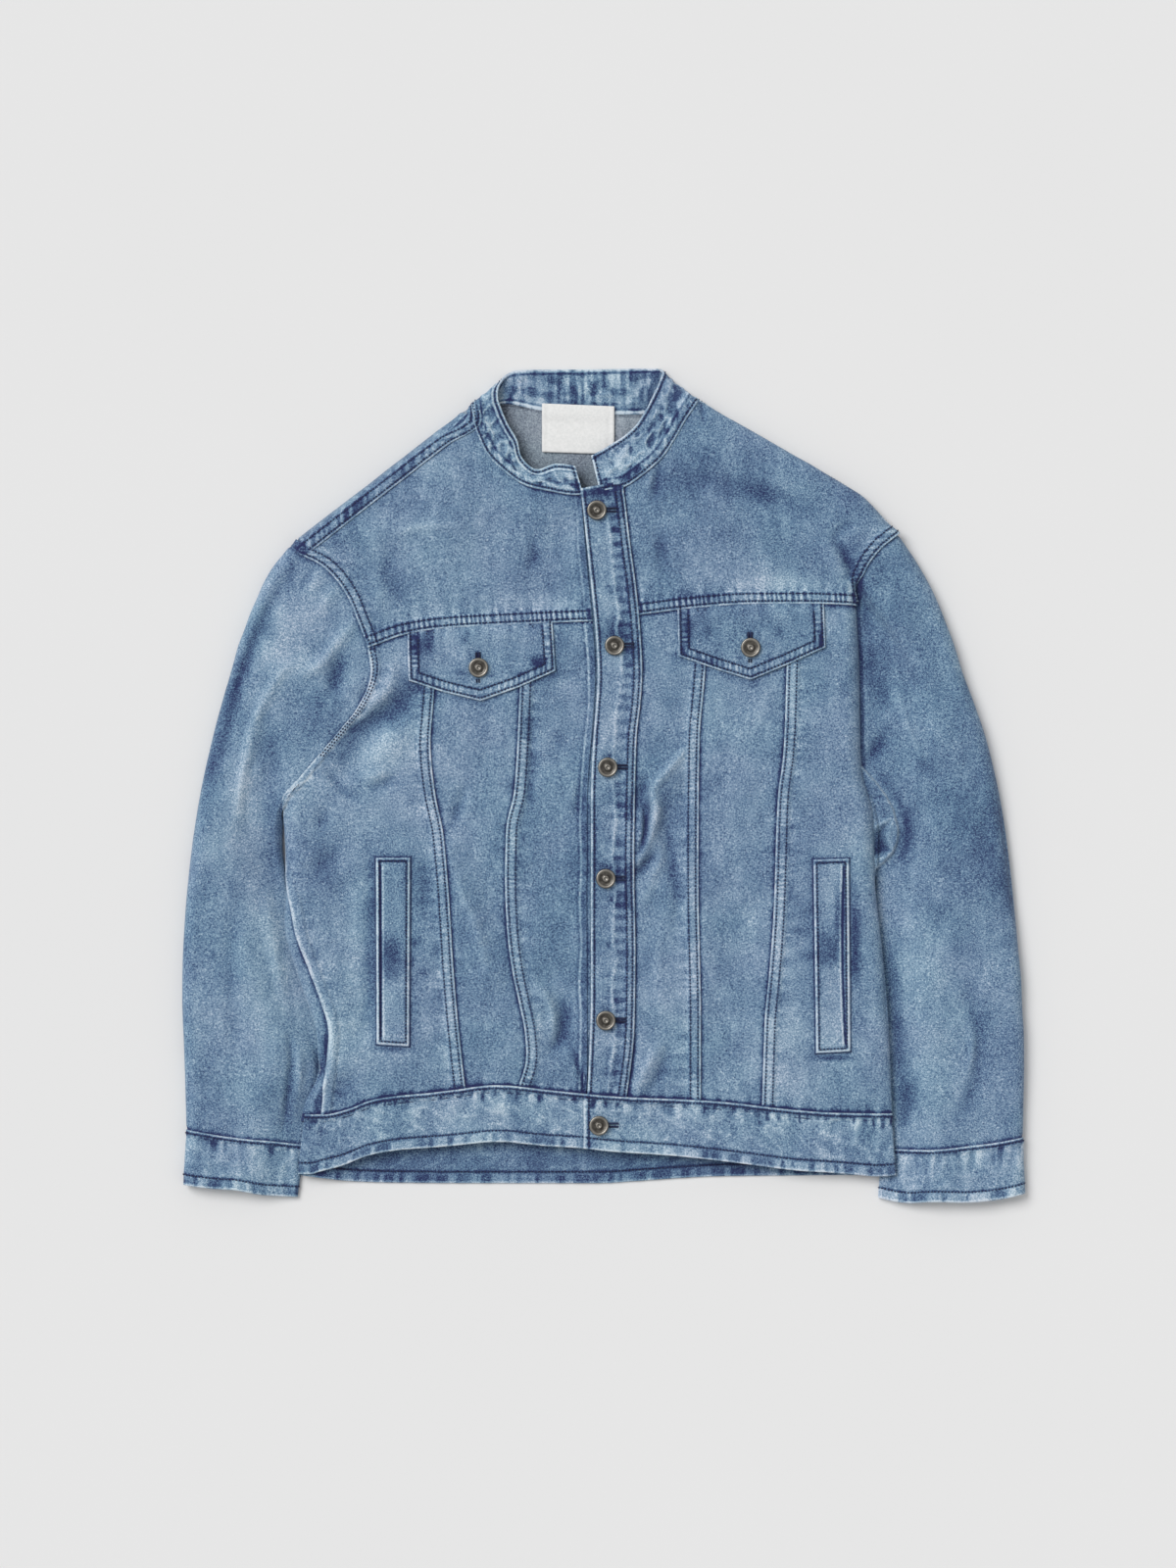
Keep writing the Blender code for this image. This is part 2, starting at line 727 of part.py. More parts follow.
back_left_seam = left_edge.opened(left_side_seam_y, left_side_run, BACK)
turn_run = np.linspace(0, -left_edge.under_arc, TURN_CELLS + 1)
left_turn = left_edge.opened(-23.4 + np.array(TURN_RISE), turn_run, BACK)
left_under_armhole = route(LEFT_UNDER_ARMHOLE)(np.linspace(0, 1, UNDER_CELLS + 1))
left_under_armhole[0] = left_turn[-1]
tip_run = np.array([-left_shoulder.under_arc, 0, left_shoulder.top_arc * 0.55, strip_run[0]])
left_tip = left_shoulder.opened(np.array([201.5, 201.5, 200.5, LEFT_TIP_ALONG]), tip_run, BACK)
left_under_armhole[-1] = left_tip[0]
back_left = join([back_left_seam, left_turn, left_under_armhole, left_tip])

right_low_y = right_seam_y[: PANEL_ROWS - ARMHOLE_ROWS + 1]
back_right_seam = right_edge.opened(right_low_y, Line(RIGHT_SEAM_RUN)(right_low_y), BACK)
turn_run = np.linspace(0, -right_edge.under_arc, TURN_CELLS + 1)
right_turn = right_edge.opened(12.3 + np.array(TURN_RISE), turn_run, BACK)
right_under_armhole = route(RIGHT_UNDER_ARMHOLE)(np.linspace(0, 1, UNDER_CELLS + 1))
right_under_armhole[0] = right_turn[-1]
tip_run = np.array([-right_shoulder.under_arc, -7.5, -5.5, RIGHT_SHOULDER_RUN])
right_tip = right_shoulder.opened(np.full(4, RIGHT_TIP_ALONG), tip_run, BACK)
right_under_armhole[-1] = right_tip[0]
back_right = join([back_right_seam, right_turn, right_under_armhole, right_tip])

back_strip = left_shoulder.opened(left_along, strip_run[0] + 0 * left_along, BACK)
neck_turn_run = np.array([strip_run[0], 10.0, 3.0, -4.0, -left_shoulder.under_arc])
neck_turn_along = np.array([LEFT_NECK_ALONG, 6.5, 3.5, 2.0, 1.0])
neck_turn = left_shoulder.opened(neck_turn_along, neck_turn_run, BACK)
back_shoulder = right_shoulder.opened(right_along, right_run, BACK)
right_under_neck = right_shoulder.opened(np.array([0.5]), np.array([-right_shoulder.under_arc]), BACK)
back_neck = np.concatenate([neck_turn[-1:], np.array(BACK_NECK), right_under_neck, back_shoulder[:1]])
back_top = join([back_strip, neck_turn, back_neck, back_shoulder])
back_columns = len(back_top) - 1
back_shares = shares(back_columns, 0.8, 0.8)
back_bottom = across_between(back_left[0], back_right[0], back_shares, Line(BACK_WAIST_SEAM))
panel("back_panel", patch(back_bottom, back_top, back_left, back_right, back_shares), BACK)


# Plackets


PLACKET_RAISED = (2.9, 0.9)  # above the front at the free edge, at the seam
FREE_EDGE_ENDS = (-270.1, 253.6)
STAND_WIDTH = 33.0


def stand_drop(x, y):
    """How far the button side sinks where the placket covers it."""
    return STAND_DROP * ease((x - free_edge_x(y) + 1.5) / STAND_DIP)


def placket_raise(x, y):
    """How far the buttonhole side stands above the front, from its free edge to its seam."""
    share = np.clip((x - free_edge_x(y)) / (placket_seam_x(y) - free_edge_x(y)), 0, 1)
    return PLACKET_RAISED[0] * (1 - share) + PLACKET_RAISED[1] * share


def strip(left, right, columns):
    """A grid between two lines of points."""
    u = np.linspace(0, 1, columns + 1)[None, :, None]
    return left[:, None] * (1 - u) + right[:, None] * u


def on_front(grid, offset):
    """Places of a grid above or below the front, seen from above."""
    x, y = grid[..., 0], grid[..., 1]
    return np.stack([x, y, front_height(x, y) + offset(x, y)], -1)


placket_right = join([right_front_edge, right_yoke_centre]) - (SEAM_GAP / 2, 0)
placket_right[0, 1] += SEAM_GAP
placket_share = (placket_right[:, 1] - placket_right[0, 1]) / np.ptp(placket_right[:, 1])
free_y = FREE_EDGE_ENDS[0] + (FREE_EDGE_ENDS[1] - FREE_EDGE_ENDS[0]) * placket_share
placket_grid = strip(np.stack([free_edge_x(free_y), free_y], 1), placket_right, 3)
placket_outer = on_front(placket_grid, placket_raise)
placket_normals = grid_normals(placket_outer)
placket_normals[:, -1] = outward(placket_right, FRONT)
wall("placket", placket_outer, placket_normals, DOUBLED, materials["denim_doubled"])

stand_left = join([left_front_edge, left_yoke_centre]) + (SEAM_GAP / 2, 0)
stand_left[0, 1] += SEAM_GAP
stand_grid = strip(stand_left, stand_left + (STAND_WIDTH, 0), 4)
stand_outer = on_front(stand_grid, lambda x, y: -stand_drop(x, y))
stand_normals = grid_normals(stand_outer)
stand_normals[:, 0] = outward(stand_left, FRONT)
wall("under_placket", stand_outer, stand_normals, DOUBLED, materials["denim_doubled"])


# Waistband: from the right front end, round the back, to the left front end


FRONT_HEM = (
    # x, y
    (-267.8, -336.2),
    (-249, -334.5),
    (-230.3, -330.2),
    (-211.7, -322.5),
    (-184.4, -316.0),
    (-138.5, -312.4),
    (-90.1, -308.1),
    (-55.2, -311.5),
    (-15.3, -314.0),
    (8.5, -316.6),
    (67.1, -320.9),
    (125.8, -327.7),
    (164.9, -332.8),
    (203.2, -335.3),
    (242.2, -338.3),
    (253.3, -337.0),
)
BACK_HEM = (
    # x, y
    (-267.8, -336.2),
    (-239.7, -340.5),
    (-205.0, -343.8),
    (-101.1, -344.7),
    (-1.7, -344.7),
    (47.6, -341.4),
    (106.2, -338.5),
    (165, -338.0),
    (253.3, -337.0),
)
BAND_ROWS = 3
LEFT_END, RIGHT_END = 17.0, -17.4  # x of the two front ends, at the top
HEM_LEVEL = -337.0
front_hem_y, back_hem_y = Line(FRONT_HEM), Line(BACK_HEM)


def covered_end(x, y):
    return -stand_drop(x, y)


def covering_end(x, y):
    settle = 1 - ease((x - 24) / 26)
    return placket_raise(x, np.maximum(y, -271)) * settle


def band_part(top, hem):
    """Drawn rows of the band below a line of points, from its hem up."""
    near_left = 1 - ease((top[:, 0] - left_x(top[:, 1])) / 90)
    near_right = 1 - ease((right_x(top[:, 1]) - top[:, 0]) / 90)
    spread = near_left * (left_x(HEM_LEVEL) - left_x(top[:, 1]))
    spread += near_right * (right_x(HEM_LEVEL) - right_x(top[:, 1]))
    x = top[:, 0] + spread
    bottom = np.stack([x, hem(x)], 1)
    v = np.linspace(0, 1, BAND_ROWS + 1)[:, None, None]
    return bottom[None] * (1 - v) + shifted(top, -SEAM_GAP / 2)[None] * v


def ends_first(xs, line):
    return np.concatenate([at_waist(xs), line])


covering = band_part(ends_first([RIGHT_END, -14.6, 2.0], right_waist), front_hem_y)
behind = band_part(back_bottom, back_hem_y)[:, ::-1]
covered = band_part(np.concatenate([left_waist, at_waist([-10.0, 0.0, LEFT_END])]), front_hem_y)
band_outer, band_normals = [], []
for rows, side, offset in (
    (covering, FRONT, covering_end),
    (behind[:, 1:-1], BACK, None),
    (covered, FRONT, covered_end),
):
    places, normals = laid(rows, side), outward(rows, side)
    if offset:
        places[..., 2] += offset(places[..., 0], places[..., 1])
    band_outer.append(places)
    band_normals.append(normals)
band_outer = np.concatenate(band_outer, 1)
band_normals = np.concatenate(band_normals, 1)
wall("waistband", band_outer, band_normals, DOUBLED, materials["denim_doubled"])


# Sleeves and cuffs


SLEEVE_CELLS = 16
CUFF_CELLS = 3
TUCKED_FROM = 0.4  # share of the sleeve past which its inner side lies under the body
INSIDE_START = 1.5  # above 1, the rows of a sleeve start close together at the underarm
LEFT_SLEEVE_OUTSIDE = (
    # x, y from the shoulder to the cuff
    (-269.4, 210.4),
    (-278.8, 200.2),
    (-306, 146.6),
    (-324.7, 91.4),
    (-350.2, -12.3),
    (-361.2, -97.3),
    (-364.9, -173),
    (-362.9, -241),
    (-361.2, -300.5),
)
LEFT_SLEEVE_INSIDE = (
    # x, y from the underarm to the cuff, under the body from half way
    (-277.1, -23.4),
    (-277.8, -56),
    (-272, -95),
    (-265, -135),
    (-254, -170),
    (-240, -212.9),
    (-237.5, -245.2),
    (-250, -279),
    (-260, -314.1),
)
LEFT_CUFF_SEAM = ((-361.2, -300.5), (-335.8, -305.1), (-314.1, -308.1), (-290, -310.5), (-260, -314.1))
LEFT_CUFF_HEM = ((-364.2, -345.5), (-335.8, -348.9), (-319.6, -349.8), (-297.5, -354), (-264.5, -356.6))
RIGHT_SLEEVE_OUTSIDE = (
    (253.3, 220.6),
    (263.5, 205.3),
    (289.8, 157.7),
    (311.9, 94.8),
    (334.1, 28.5),
    (348.5, -43.8),
    (353.2, -83.7),
    (362.9, -202.7),
    (363.8, -246.1),
    (362.9, -307.3),
)
RIGHT_SLEEVE_INSIDE = (
    (223.5, 12.3),
    (231.0, -8),
    (237.5, -40),
    (236.5, -70),
    (232, -105),
    (231, -140),
    (236, -198),
    (237, -245),
    (240, -317.5),
)
RIGHT_CUFF_SEAM = ((362.9, -307.3), (334.9, -312.4), (313.6, -314.9), (291.6, -317.5), (240, -317.5))
RIGHT_CUFF_HEM = (
    (364.9, -353.2),
    (345.9, -357.4),
    (307.7, -360.8),
    (286.4, -360),
    (259.2, -361.3),
    (238, -357.4),
)
SLEEVE_CREST = Line(((0, 18.5), (0.3, 17.5), (0.7, 16), (1, 13.5)))
LEFT_UNDERARM_NORMALS = ((0.84, -0.45, 0.30), (0.90, -0.20, 0.30), (0.45, -0.35, -0.82))
SLEEVE_SIDE = {"middle": 8.0, "top_radius": 12.0, "under_radius": 7.0}
TUCKED_SIDE = {"middle": 3.3, "top": 6.3, "top_radius": 4.0, "under_radius": 3.5, "swell": 48.0}


def quarter(distance, radius):
    """Rise of a quarter round, 0 at its edge and 1 past its radius."""
    left_over = 1 - np.clip(distance / radius, 0, 1)
    return np.sqrt(1 - left_over**2)


def distance_to(points, line):
    """From each point to the nearest place on a line of points."""
    start, step = line[:-1], np.diff(line, axis=0)
    away = points[..., None, :] - start
    share = np.clip((away * step).sum(-1) / (step**2).sum(-1), 0, 1)
    return np.linalg.norm(away - share[..., None] * step, axis=-1).min(-1)


def flat_tube_level(places, on_top, outside, inside, crest, tucked_in=1.0):
    """Height of a flattened tube: full at its outer side, thin where the body lies on it."""
    out, within = distance_to(places, outside), distance_to(places, inside)
    side, flat = SLEEVE_SIDE, TUCKED_SIDE
    full, round_side = (
        side["middle"] + (crest - side["middle"]) * quarter(away, side["top_radius"])
        for away in (out, within)
    )
    thin = flat["middle"] + (flat["top"] - flat["middle"]) * quarter(within, flat["top_radius"])
    thin = thin + (crest - flat["top"]) * ease((within - flat["top_radius"]) / flat["swell"])
    thin = thin * tucked_in + round_side * (1 - tucked_in)
    under = side["middle"] * (1 - quarter(out, side["under_radius"]))
    under_thin = flat["middle"] * (1 - quarter(within, flat["under_radius"]))
    return np.where(on_top, np.minimum(full, thin), np.maximum(under, under_thin))


def crowded(cells):
    """Shares across a flat tube, close together at both sides."""
    return (1 - np.cos(np.linspace(0, math.pi, cells + 1))) / 2


def length_shares(line):
    run = np.concatenate([[0], np.cumsum(np.linalg.norm(np.diff(line, axis=0), axis=1))])
    return run / run[-1]


def evened(grid, rounds=800):
    """The grid with its inner places moved until its cells are smooth and none is folded over."""
    for _ in range(rounds):
        up = (grid[2:, 1:-1] - grid[:-2, 1:-1]) / 2
        along = (grid[1:-1, 2:] - grid[1:-1, :-2]) / 2
        turn = (grid[2:, 2:] - grid[:-2, 2:] - grid[2:, :-2] + grid[:-2, :-2]) / 4
        up_size, along_size = (up**2).sum(-1, keepdims=True), (along**2).sum(-1, keepdims=True)
        lean = (up * along).sum(-1, keepdims=True)
        beside = grid[1:-1, 2:] + grid[1:-1, :-2]
        before = grid[2:, 1:-1] + grid[:-2, 1:-1]
        found = up_size * beside + along_size * before - 2 * lean * turn
        grid[1:-1, 1:-1] = found / (2 * (up_size + along_size))
    return grid


def sleeve_plan(ring, cuff_seam, outside, inside, shares_at_ring, shares_at_cuff):
    """Rows across one side of a sleeve, seen from above, evened out between its four edges."""
    even = np.linspace(0, 1, 25)
    first = np.stack([np.interp(even, shares_at_ring, ring[:, k]) for k in (0, 1)], 1)
    last = route(cuff_seam)(even)
    grid = evened(patch(first, last, outside, inside))
    rows = []
    for row, s in zip(grid, np.linspace(0, 1, len(grid))):
        share = shares_at_ring + (shares_at_cuff - shares_at_ring) * ease(s / 0.6)
        rows.append(np.stack([np.interp(share, even, row[:, k]) for k in (0, 1)], 1))
    rows[0] = ring
    return np.array(rows)


def sleeve(name, ring, ring_normals, top_cells, outside, inside, cuff_seam, cuff_hem):
    """A sleeve and its cuff from the armhole ring, which runs over the top and back beneath."""
    steps = np.linspace(0, 1, SLEEVE_CELLS + 1)
    outside, inside = route(outside)(steps), route(inside)(steps**INSIDE_START)
    on_top = np.arange(len(ring)) <= top_cells
    top = ring[: top_cells + 1, :2]
    beneath = np.concatenate([ring[top_cells:, :2], ring[:1, :2]])[::-1]
    top_end, beneath_end = crowded(top_cells), crowded(len(beneath) - 1)
    top_plan = sleeve_plan(top, cuff_seam, outside, inside, length_shares(top), top_end)
    under_plan = sleeve_plan(beneath, cuff_seam, outside, inside, length_shares(beneath), beneath_end)
    plan = np.concatenate([top_plan, under_plan[:, 1:-1][:, ::-1]], 1)
    level = np.array([
        flat_tube_level(row, on_top, outside, inside, SLEEVE_CREST(s), ease(s / TUCKED_FROM))
        for row, s in zip(plan, steps)
    ])
    settle = 1 - ease(steps / 0.3)
    level += (ring[:, 2] - level[0]) * settle[:, None]
    level[1:, 0] = (level[1:, 1] + level[1:, -1]) / 2
    tube = np.concatenate([plan, level[..., None]], 2)
    tube[-1, :, 1] += SEAM_GAP / 2
    side = 1 if outside[0, 0] > 0 else -1
    normals = side * grid_normals(tube, closed=True)
    normals[0] = ring_normals
    wall(name + "_sleeve", tube[:, ::side], normals[:, ::side], DENIM, materials["denim"], closed=True)

    end_share = np.concatenate([top_end, beneath_end[1:-1][::-1]])
    cuff_top, cuff_bottom = route(cuff_seam)(end_share), route(cuff_hem)(end_share)
    cuff_sides = [np.array([cuff_seam[end], cuff_hem[end]]) for end in (0, -1)]
    rows = []
    for s in np.linspace(0, 1, CUFF_CELLS + 1):
        flat = cuff_top * (1 - s) + cuff_bottom * s
        level = flat_tube_level(flat, on_top, *cuff_sides, SLEEVE_CREST(1))
        rows.append(np.concatenate([flat, level[:, None]], 1))
    cuff = np.array(rows)
    cuff[0, :, 1] -= SEAM_GAP / 2
    cuff_normals = side * grid_normals(cuff, closed=True)
    wall(
        name + "_cuff", cuff[:, ::side], cuff_normals[:, ::side], DOUBLED, materials["denim_doubled"],
        closed=True,
    )
    return tube, cuff


def armhole_ring(front_line, back_line, amount):
    """The ring of an armhole: down the front from the shoulder, then up the back."""
    front, back = shifted(front_line, amount)[::-1], shifted(back_line, amount)
    places = np.concatenate([laid(front[:-1], FRONT), laid(back, BACK)])
    normals = np.concatenate([outward(front[:-1], FRONT), outward(back, BACK)])
    underarm = len(front) - 1
    normals[underarm] = (0, -1, 0)
    normals[underarm + 1] = (0, -0.75, -0.66)
    return places, normals


seam_cells = PANEL_ROWS - ARMHOLE_ROWS
places, normals = armhole_ring(
    join([left_armhole, left_yoke_armhole]), back_left[seam_cells:], SEAM_GAP / 2
)
tip_cells = 2
left_ring = np.roll(places[:-1], tip_cells, axis=0)
left_ring_normals = np.roll(normals[:-1], tip_cells, axis=0)
underarm = ARMHOLE_ROWS + YOKE_ROWS + tip_cells
left_ring_normals[underarm : underarm + 3] = LEFT_UNDERARM_NORMALS
left_sleeve, left_cuff = sleeve(
    "left", left_ring, left_ring_normals, ARMHOLE_ROWS + YOKE_ROWS + tip_cells,
    LEFT_SLEEVE_OUTSIDE, LEFT_SLEEVE_INSIDE, LEFT_CUFF_SEAM, LEFT_CUFF_HEM,
)
places, normals = armhole_ring(
    join([right_flank[seam_cells:], right_yoke_armhole]), back_right[seam_cells:], -SEAM_GAP / 2
)
normals[5 : ARMHOLE_ROWS + YOKE_ROWS] = (0, 0, 1)
right_sleeve, right_cuff = sleeve(
    "right", places[:-1], normals[:-1], ARMHOLE_ROWS + YOKE_ROWS,
    RIGHT_SLEEVE_OUTSIDE, RIGHT_SLEEVE_INSIDE, RIGHT_CUFF_SEAM, RIGHT_CUFF_HEM,
)


# Collar: from the right front end, round the back, to the left front end


COLLAR_ROWS = 3
COLLAR_RIGHT_END = ((-4.2, 257.0, 17.4), (5.5, 258.7, 17.0))
COLLAR_LEFT_END = ((-18.5, 254.3, 16.9),)
COLLAR_TOP = (
    # x, y, z of the free edge, one for each point of the neck seam
    (-11.0, 285.2, 14.5),
    (-2.0, 290.0, 14.3),
    (6.8, 295.4, 14.0),
    (18.5, 303.0, 13.7),
    (28.0, 312.0, 13.5),
    (35.0, 322.5, 13.2),
    (42.0, 336.0, 12.5),
    (46.5, 345.5, 11.5),
    (49.8, 354.0, 8.5),
    (51.3, 359.6, 4.2),
    (48.0, 361.2, 0.2),
    (38.0, 361.4, 0),
    (22.0, 361.2, 0),
    (-13.6, 360.6, 0),
    (-45.0, 360.4, 0),
    (-66.0, 360.2, 0),
    (-81.0, 358.3, 0.3),
    (-86.5, 354.5, 4.5),
    (-90.0, 349.0, 9.0),
    (-91.6, 342.0, 11.5),
    (-91.4, 335.0, 12.6),
    (-88.5, 326.0, 13.0),
    (-83.0, 313.0, 13.3),
    (-74.8, 298.8, 13.6),
    (-70.8, 284.0, 13.9),
    (-59.5, 273.8, 14.2),
    (-41.0, 278.3, 14.4),
    (-27.5, 276.8, 14.6),
    (-24.6, 276.2, 14.6),
)

collar_right = shifted(right_neck_points, SEAM_GAP / 2)
collar_behind = shifted(join([neck_turn, back_neck]), SEAM_GAP / 2)[::-1][1:-1]
collar_left = shifted(left_neck_points, SEAM_GAP / 2)
collar_base = np.concatenate([
    np.array(COLLAR_RIGHT_END),
    laid(collar_right, FRONT),
    laid(collar_behind, BACK),
    laid(collar_left, FRONT),
    np.array(COLLAR_LEFT_END),
])
collar_share = np.linspace(0, 1, COLLAR_ROWS + 1)[:, None, None]
collar_outer = collar_base * (1 - collar_share) + np.array(COLLAR_TOP) * collar_share
wall("collar", collar_outer, grid_normals(collar_outer), DOUBLED, materials["denim_doubled"])


# Label inside the back neck


LABEL_CORNERS = ((-53.5, 289.0), (9.3, 287.0), (9.3, 328.5), (-53.5, 331.1))
LABEL_THICKNESS = 0.8
LABEL_LEVEL = ((280, 2.0), (317, 2.0), (322.5, 3.2), (340, 3.2))  # y, height of its back

label_rows = np.linspace(0, 1, 6)[:, None, None]
label_columns = np.linspace(0, 1, 3)[None, :, None]
low_left, low_right, high_right, high_left = (np.array(corner) for corner in LABEL_CORNERS)
label_plan = (low_left * (1 - label_columns) + low_right * label_columns) * (1 - label_rows)
label_plan = label_plan + (high_left * (1 - label_columns) + high_right * label_columns) * label_rows
label_level = np.interp(label_plan[..., 1], *zip(*LABEL_LEVEL)) + LABEL_THICKNESS
label_outer = np.concatenate([label_plan, label_level[..., None]], -1)
wall("neck_label", label_outer, grid_normals(label_outer), LABEL_THICKNESS, materials["label_cloth"])


# Flaps and welts, each on the front below it


FLAPS = {
    # name: points of the lower edge, points of the upper edge; x, y
    "left_flap": (
        ((-168.3, 90.5), (-137.5, 80.5), (-106.2, 73.0), (-74, 84.5), (-41.6, 99.0)),
        ((-169.5, 135.2), (-137.5, 139.8), (-106.2, 142.2), (-74, 143.8), (-44.5, 145.2)),
    ),
    "right_flap": (
        ((64.6, 111.8), (95.5, 101.0), (126.6, 91.2), (159, 104.5), (191.2, 119.4)),
        ((63.6, 156.5), (95.5, 159.3), (126.6, 160.9), (159, 161.5), (189.9, 160.6)),
    ),
}
WELTS = {
    # name: x, y of the lower left, lower right, upper right and upper left corners
    "left_welt": ((-195.5, -223.1), (-168.3, -224.8), (-167.4, -62.5), (-196.3, -62.5)),
    "right_welt": ((183.6, -230.8), (212.5, -229.1), (211.0, -63.3), (181.0, -64.2)),
}
FLAP_ROWS, FLAP_COLUMNS = 4, 6
WELT_ROWS, WELT_COLUMNS = 10, 2


def laid_on(name, plan):
    """A doubled piece that rests on the front."""
    normals = outward(plan, FRONT)
    outer = laid(plan, FRONT) + normals * (RESTING_GAP + DOUBLED)
    wall(name, outer, normals, DOUBLED, materials["denim_doubled"])


for name, (lower, upper) in FLAPS.items():
    across = np.linspace(0, 1, FLAP_COLUMNS + 1)
    keys = np.linspace(0, 1, len(lower))
    lower_edge, upper_edge = (
        np.stack([np.interp(across, keys, column) for column in zip(*edge)], 1) for edge in (lower, upper)
    )
    up = np.linspace(0, 1, FLAP_ROWS + 1)[:, None, None]
    laid_on(name, lower_edge * (1 - up) + upper_edge * up)
for name, corners in WELTS.items():
    low_left, low_right, high_right, high_left = (np.array(corner) for corner in corners)
    up = np.linspace(0, 1, WELT_ROWS + 1)[:, None, None]
    right = np.linspace(0, 1, WELT_COLUMNS + 1)[None, :, None]
    low, high = low_left * (1 - right) + low_right * right, high_left * (1 - right) + high_right * right
    laid_on(name, low * (1 - up) + high * up)


# Buttons


BUTTON_PROFILE = (
    # radius, height, from the middle of the top to the middle of the underside
    (0, 2.3),
    (2.2, 2.3),
    (3.0, 2.9),
    (5.3, 2.9),
    (6.0, 2.4),
    (7.2, 3.1),
    (8.3, 2.6),
    (8.5, 1.6),
    (7.6, 0.3),
    (6.0, 0),
    (0, 0),
)
BUTTON_STEPS = 18
BUTTON_GAP = 0.3
FRONT_BUTTONS = ((-6, 237.6), (9.3, 120.7), (3.4, 15.7), (1.7, -80.3), (1.7, -202.7), (-4.2, -293.7))
FLAP_BUTTONS = {"left_flap_button": (-108, 101.6), "right_flap_button": (126.6, 118.9)}


def button(name, place, normal):
    """A turned metal button on a place, facing along a direction."""
    mesh = bmesh.new()
    corners = [mesh.verts.new((radius * MM, 0, height * MM)) for radius, height in BUTTON_PROFILE]
    for start, end in zip(corners[:-1], corners[1:]):
        mesh.edges.new((start, end))
    piece = add_object(name, mesh, materials["button_metal"])
    turned = piece.modifiers.new("turned", "SCREW")
    turned.steps = turned.render_steps = BUTTON_STEPS
    turned.use_merge_vertices = True
    turned.merge_threshold = 0.00001
    tilt = Vector((0, 0, 1)).rotation_difference(Vector(normal)).to_matrix().to_4x4()
    foot = Vector(np.asarray(place) + np.asarray(normal) * BUTTON_GAP) * MM
    piece.matrix_world = Matrix.Translation(foot) @ tilt


for number, place in enumerate(FRONT_BUTTONS, 1):
    x, y = np.array(place)
    rise = placket_raise if y > WAIST_SEAM[8][1] else covering_end
    level = front_height(x, y) + rise(x, y)
    button(f"button_{number}", (x, y, level + BUTTON_GAP), (0, 0, 1))
for name, place in FLAP_BUTTONS.items():
    place = np.array(place, float)
    normal = outward(place, FRONT)
    button(name, laid(place, FRONT) + normal * (2 * RESTING_GAP + DOUBLED), normal)
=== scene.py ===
"""A mottled denim jacket laid flat on its back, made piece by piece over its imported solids.

Tables are in millimetres and the model in metres. X runs across the garment, Y towards the
collar and Z up from the surface that it lies on. Left is the side of the lower X.
"""

import math

import bpy
import numpy as np
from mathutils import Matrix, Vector
from mathutils.bvhtree import BVHTree


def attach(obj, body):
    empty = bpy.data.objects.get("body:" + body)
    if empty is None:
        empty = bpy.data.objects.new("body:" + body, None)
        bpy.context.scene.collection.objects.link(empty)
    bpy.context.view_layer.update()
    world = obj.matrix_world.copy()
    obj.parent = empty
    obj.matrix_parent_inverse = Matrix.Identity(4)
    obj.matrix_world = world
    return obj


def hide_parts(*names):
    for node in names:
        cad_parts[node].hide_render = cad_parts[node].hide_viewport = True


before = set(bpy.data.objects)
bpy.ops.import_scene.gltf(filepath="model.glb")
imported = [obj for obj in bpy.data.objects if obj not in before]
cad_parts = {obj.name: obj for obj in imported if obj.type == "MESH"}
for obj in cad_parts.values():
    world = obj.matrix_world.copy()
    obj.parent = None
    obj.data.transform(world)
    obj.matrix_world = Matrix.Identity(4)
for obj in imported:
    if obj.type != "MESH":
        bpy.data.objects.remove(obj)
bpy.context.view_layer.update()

# ---------------------------------------------------------------- back
# The back is one panel of washed denim, sewn to the fronts and the waistband. It lies on the
# surface and comes round the left side and over the left shoulder to the seams that show
# there. Its paler wrong side shows through the neck and above the hem.

MM = 0.001
FRONT, BACK = "front", "back"
CLOTH = 1.0  # thickness of one layer
SEAM_GAP = 0.3
STITCH_ROWS = (2.3, 9.2)  # from the covering border of a felled seam
SEAM_WIDTH = 10.6
FIRM_STEP = 0.9  # between the places of a piece near its sewn borders
BARS = 4.7  # from one pucker of a seam to the next


def run_along(points):
    """How far along a line each of its points stands."""
    return np.concatenate([[0], np.cumsum(np.linalg.norm(np.diff(points, axis=0), axis=1))])


class Line:
    """A smooth line through rows, read by a rising key: the rows' first column by default."""

    def __init__(self, rows, keys=None):
        rows = np.array(rows, float)
        if keys is None:
            rows = rows[np.argsort(rows[:, 0])]
            keys, rows = rows[:, 0], rows[:, 1:]
        self.keys = np.array(keys, float)
        self.rows = rows
        rises = np.diff(rows, axis=0) / np.diff(self.keys)[:, None]
        before, after = rises[:-1], rises[1:]
        same_way = before * after > 0
        both = np.where(same_way, before + after, 1.0)
        between = np.where(same_way, 2 * before * after / both, 0)
        self.slopes = np.concatenate([rises[:1], between, rises[-1:]])

    def __call__(self, key):
        key = np.clip(np.asarray(key, float), self.keys[0], self.keys[-1])
        i = np.clip(np.searchsorted(self.keys, key, "right") - 1, 0, len(self.keys) - 2)
        step = (self.keys[i + 1] - self.keys[i])[..., None]
        t = (key - self.keys[i])[..., None] / step
        rise = self.rows[i] * (1 + 2 * t) * (1 - t) ** 2 + self.rows[i + 1] * (3 - 2 * t) * t**2
        lean = self.slopes[i] * t * (1 - t) ** 2 - self.slopes[i + 1] * t**2 * (1 - t)
        found = rise + lean * step
        return found[..., 0] if found.shape[-1] == 1 else found


def route(rows):
    """A smooth line through points, read by the share of its length from 0 to 1."""
    rows = np.array(rows, float)
    run = run_along(rows)
    line = Line(rows, run / run[-1])
    line.slopes = np.gradient(rows, line.keys, axis=0)
    return line


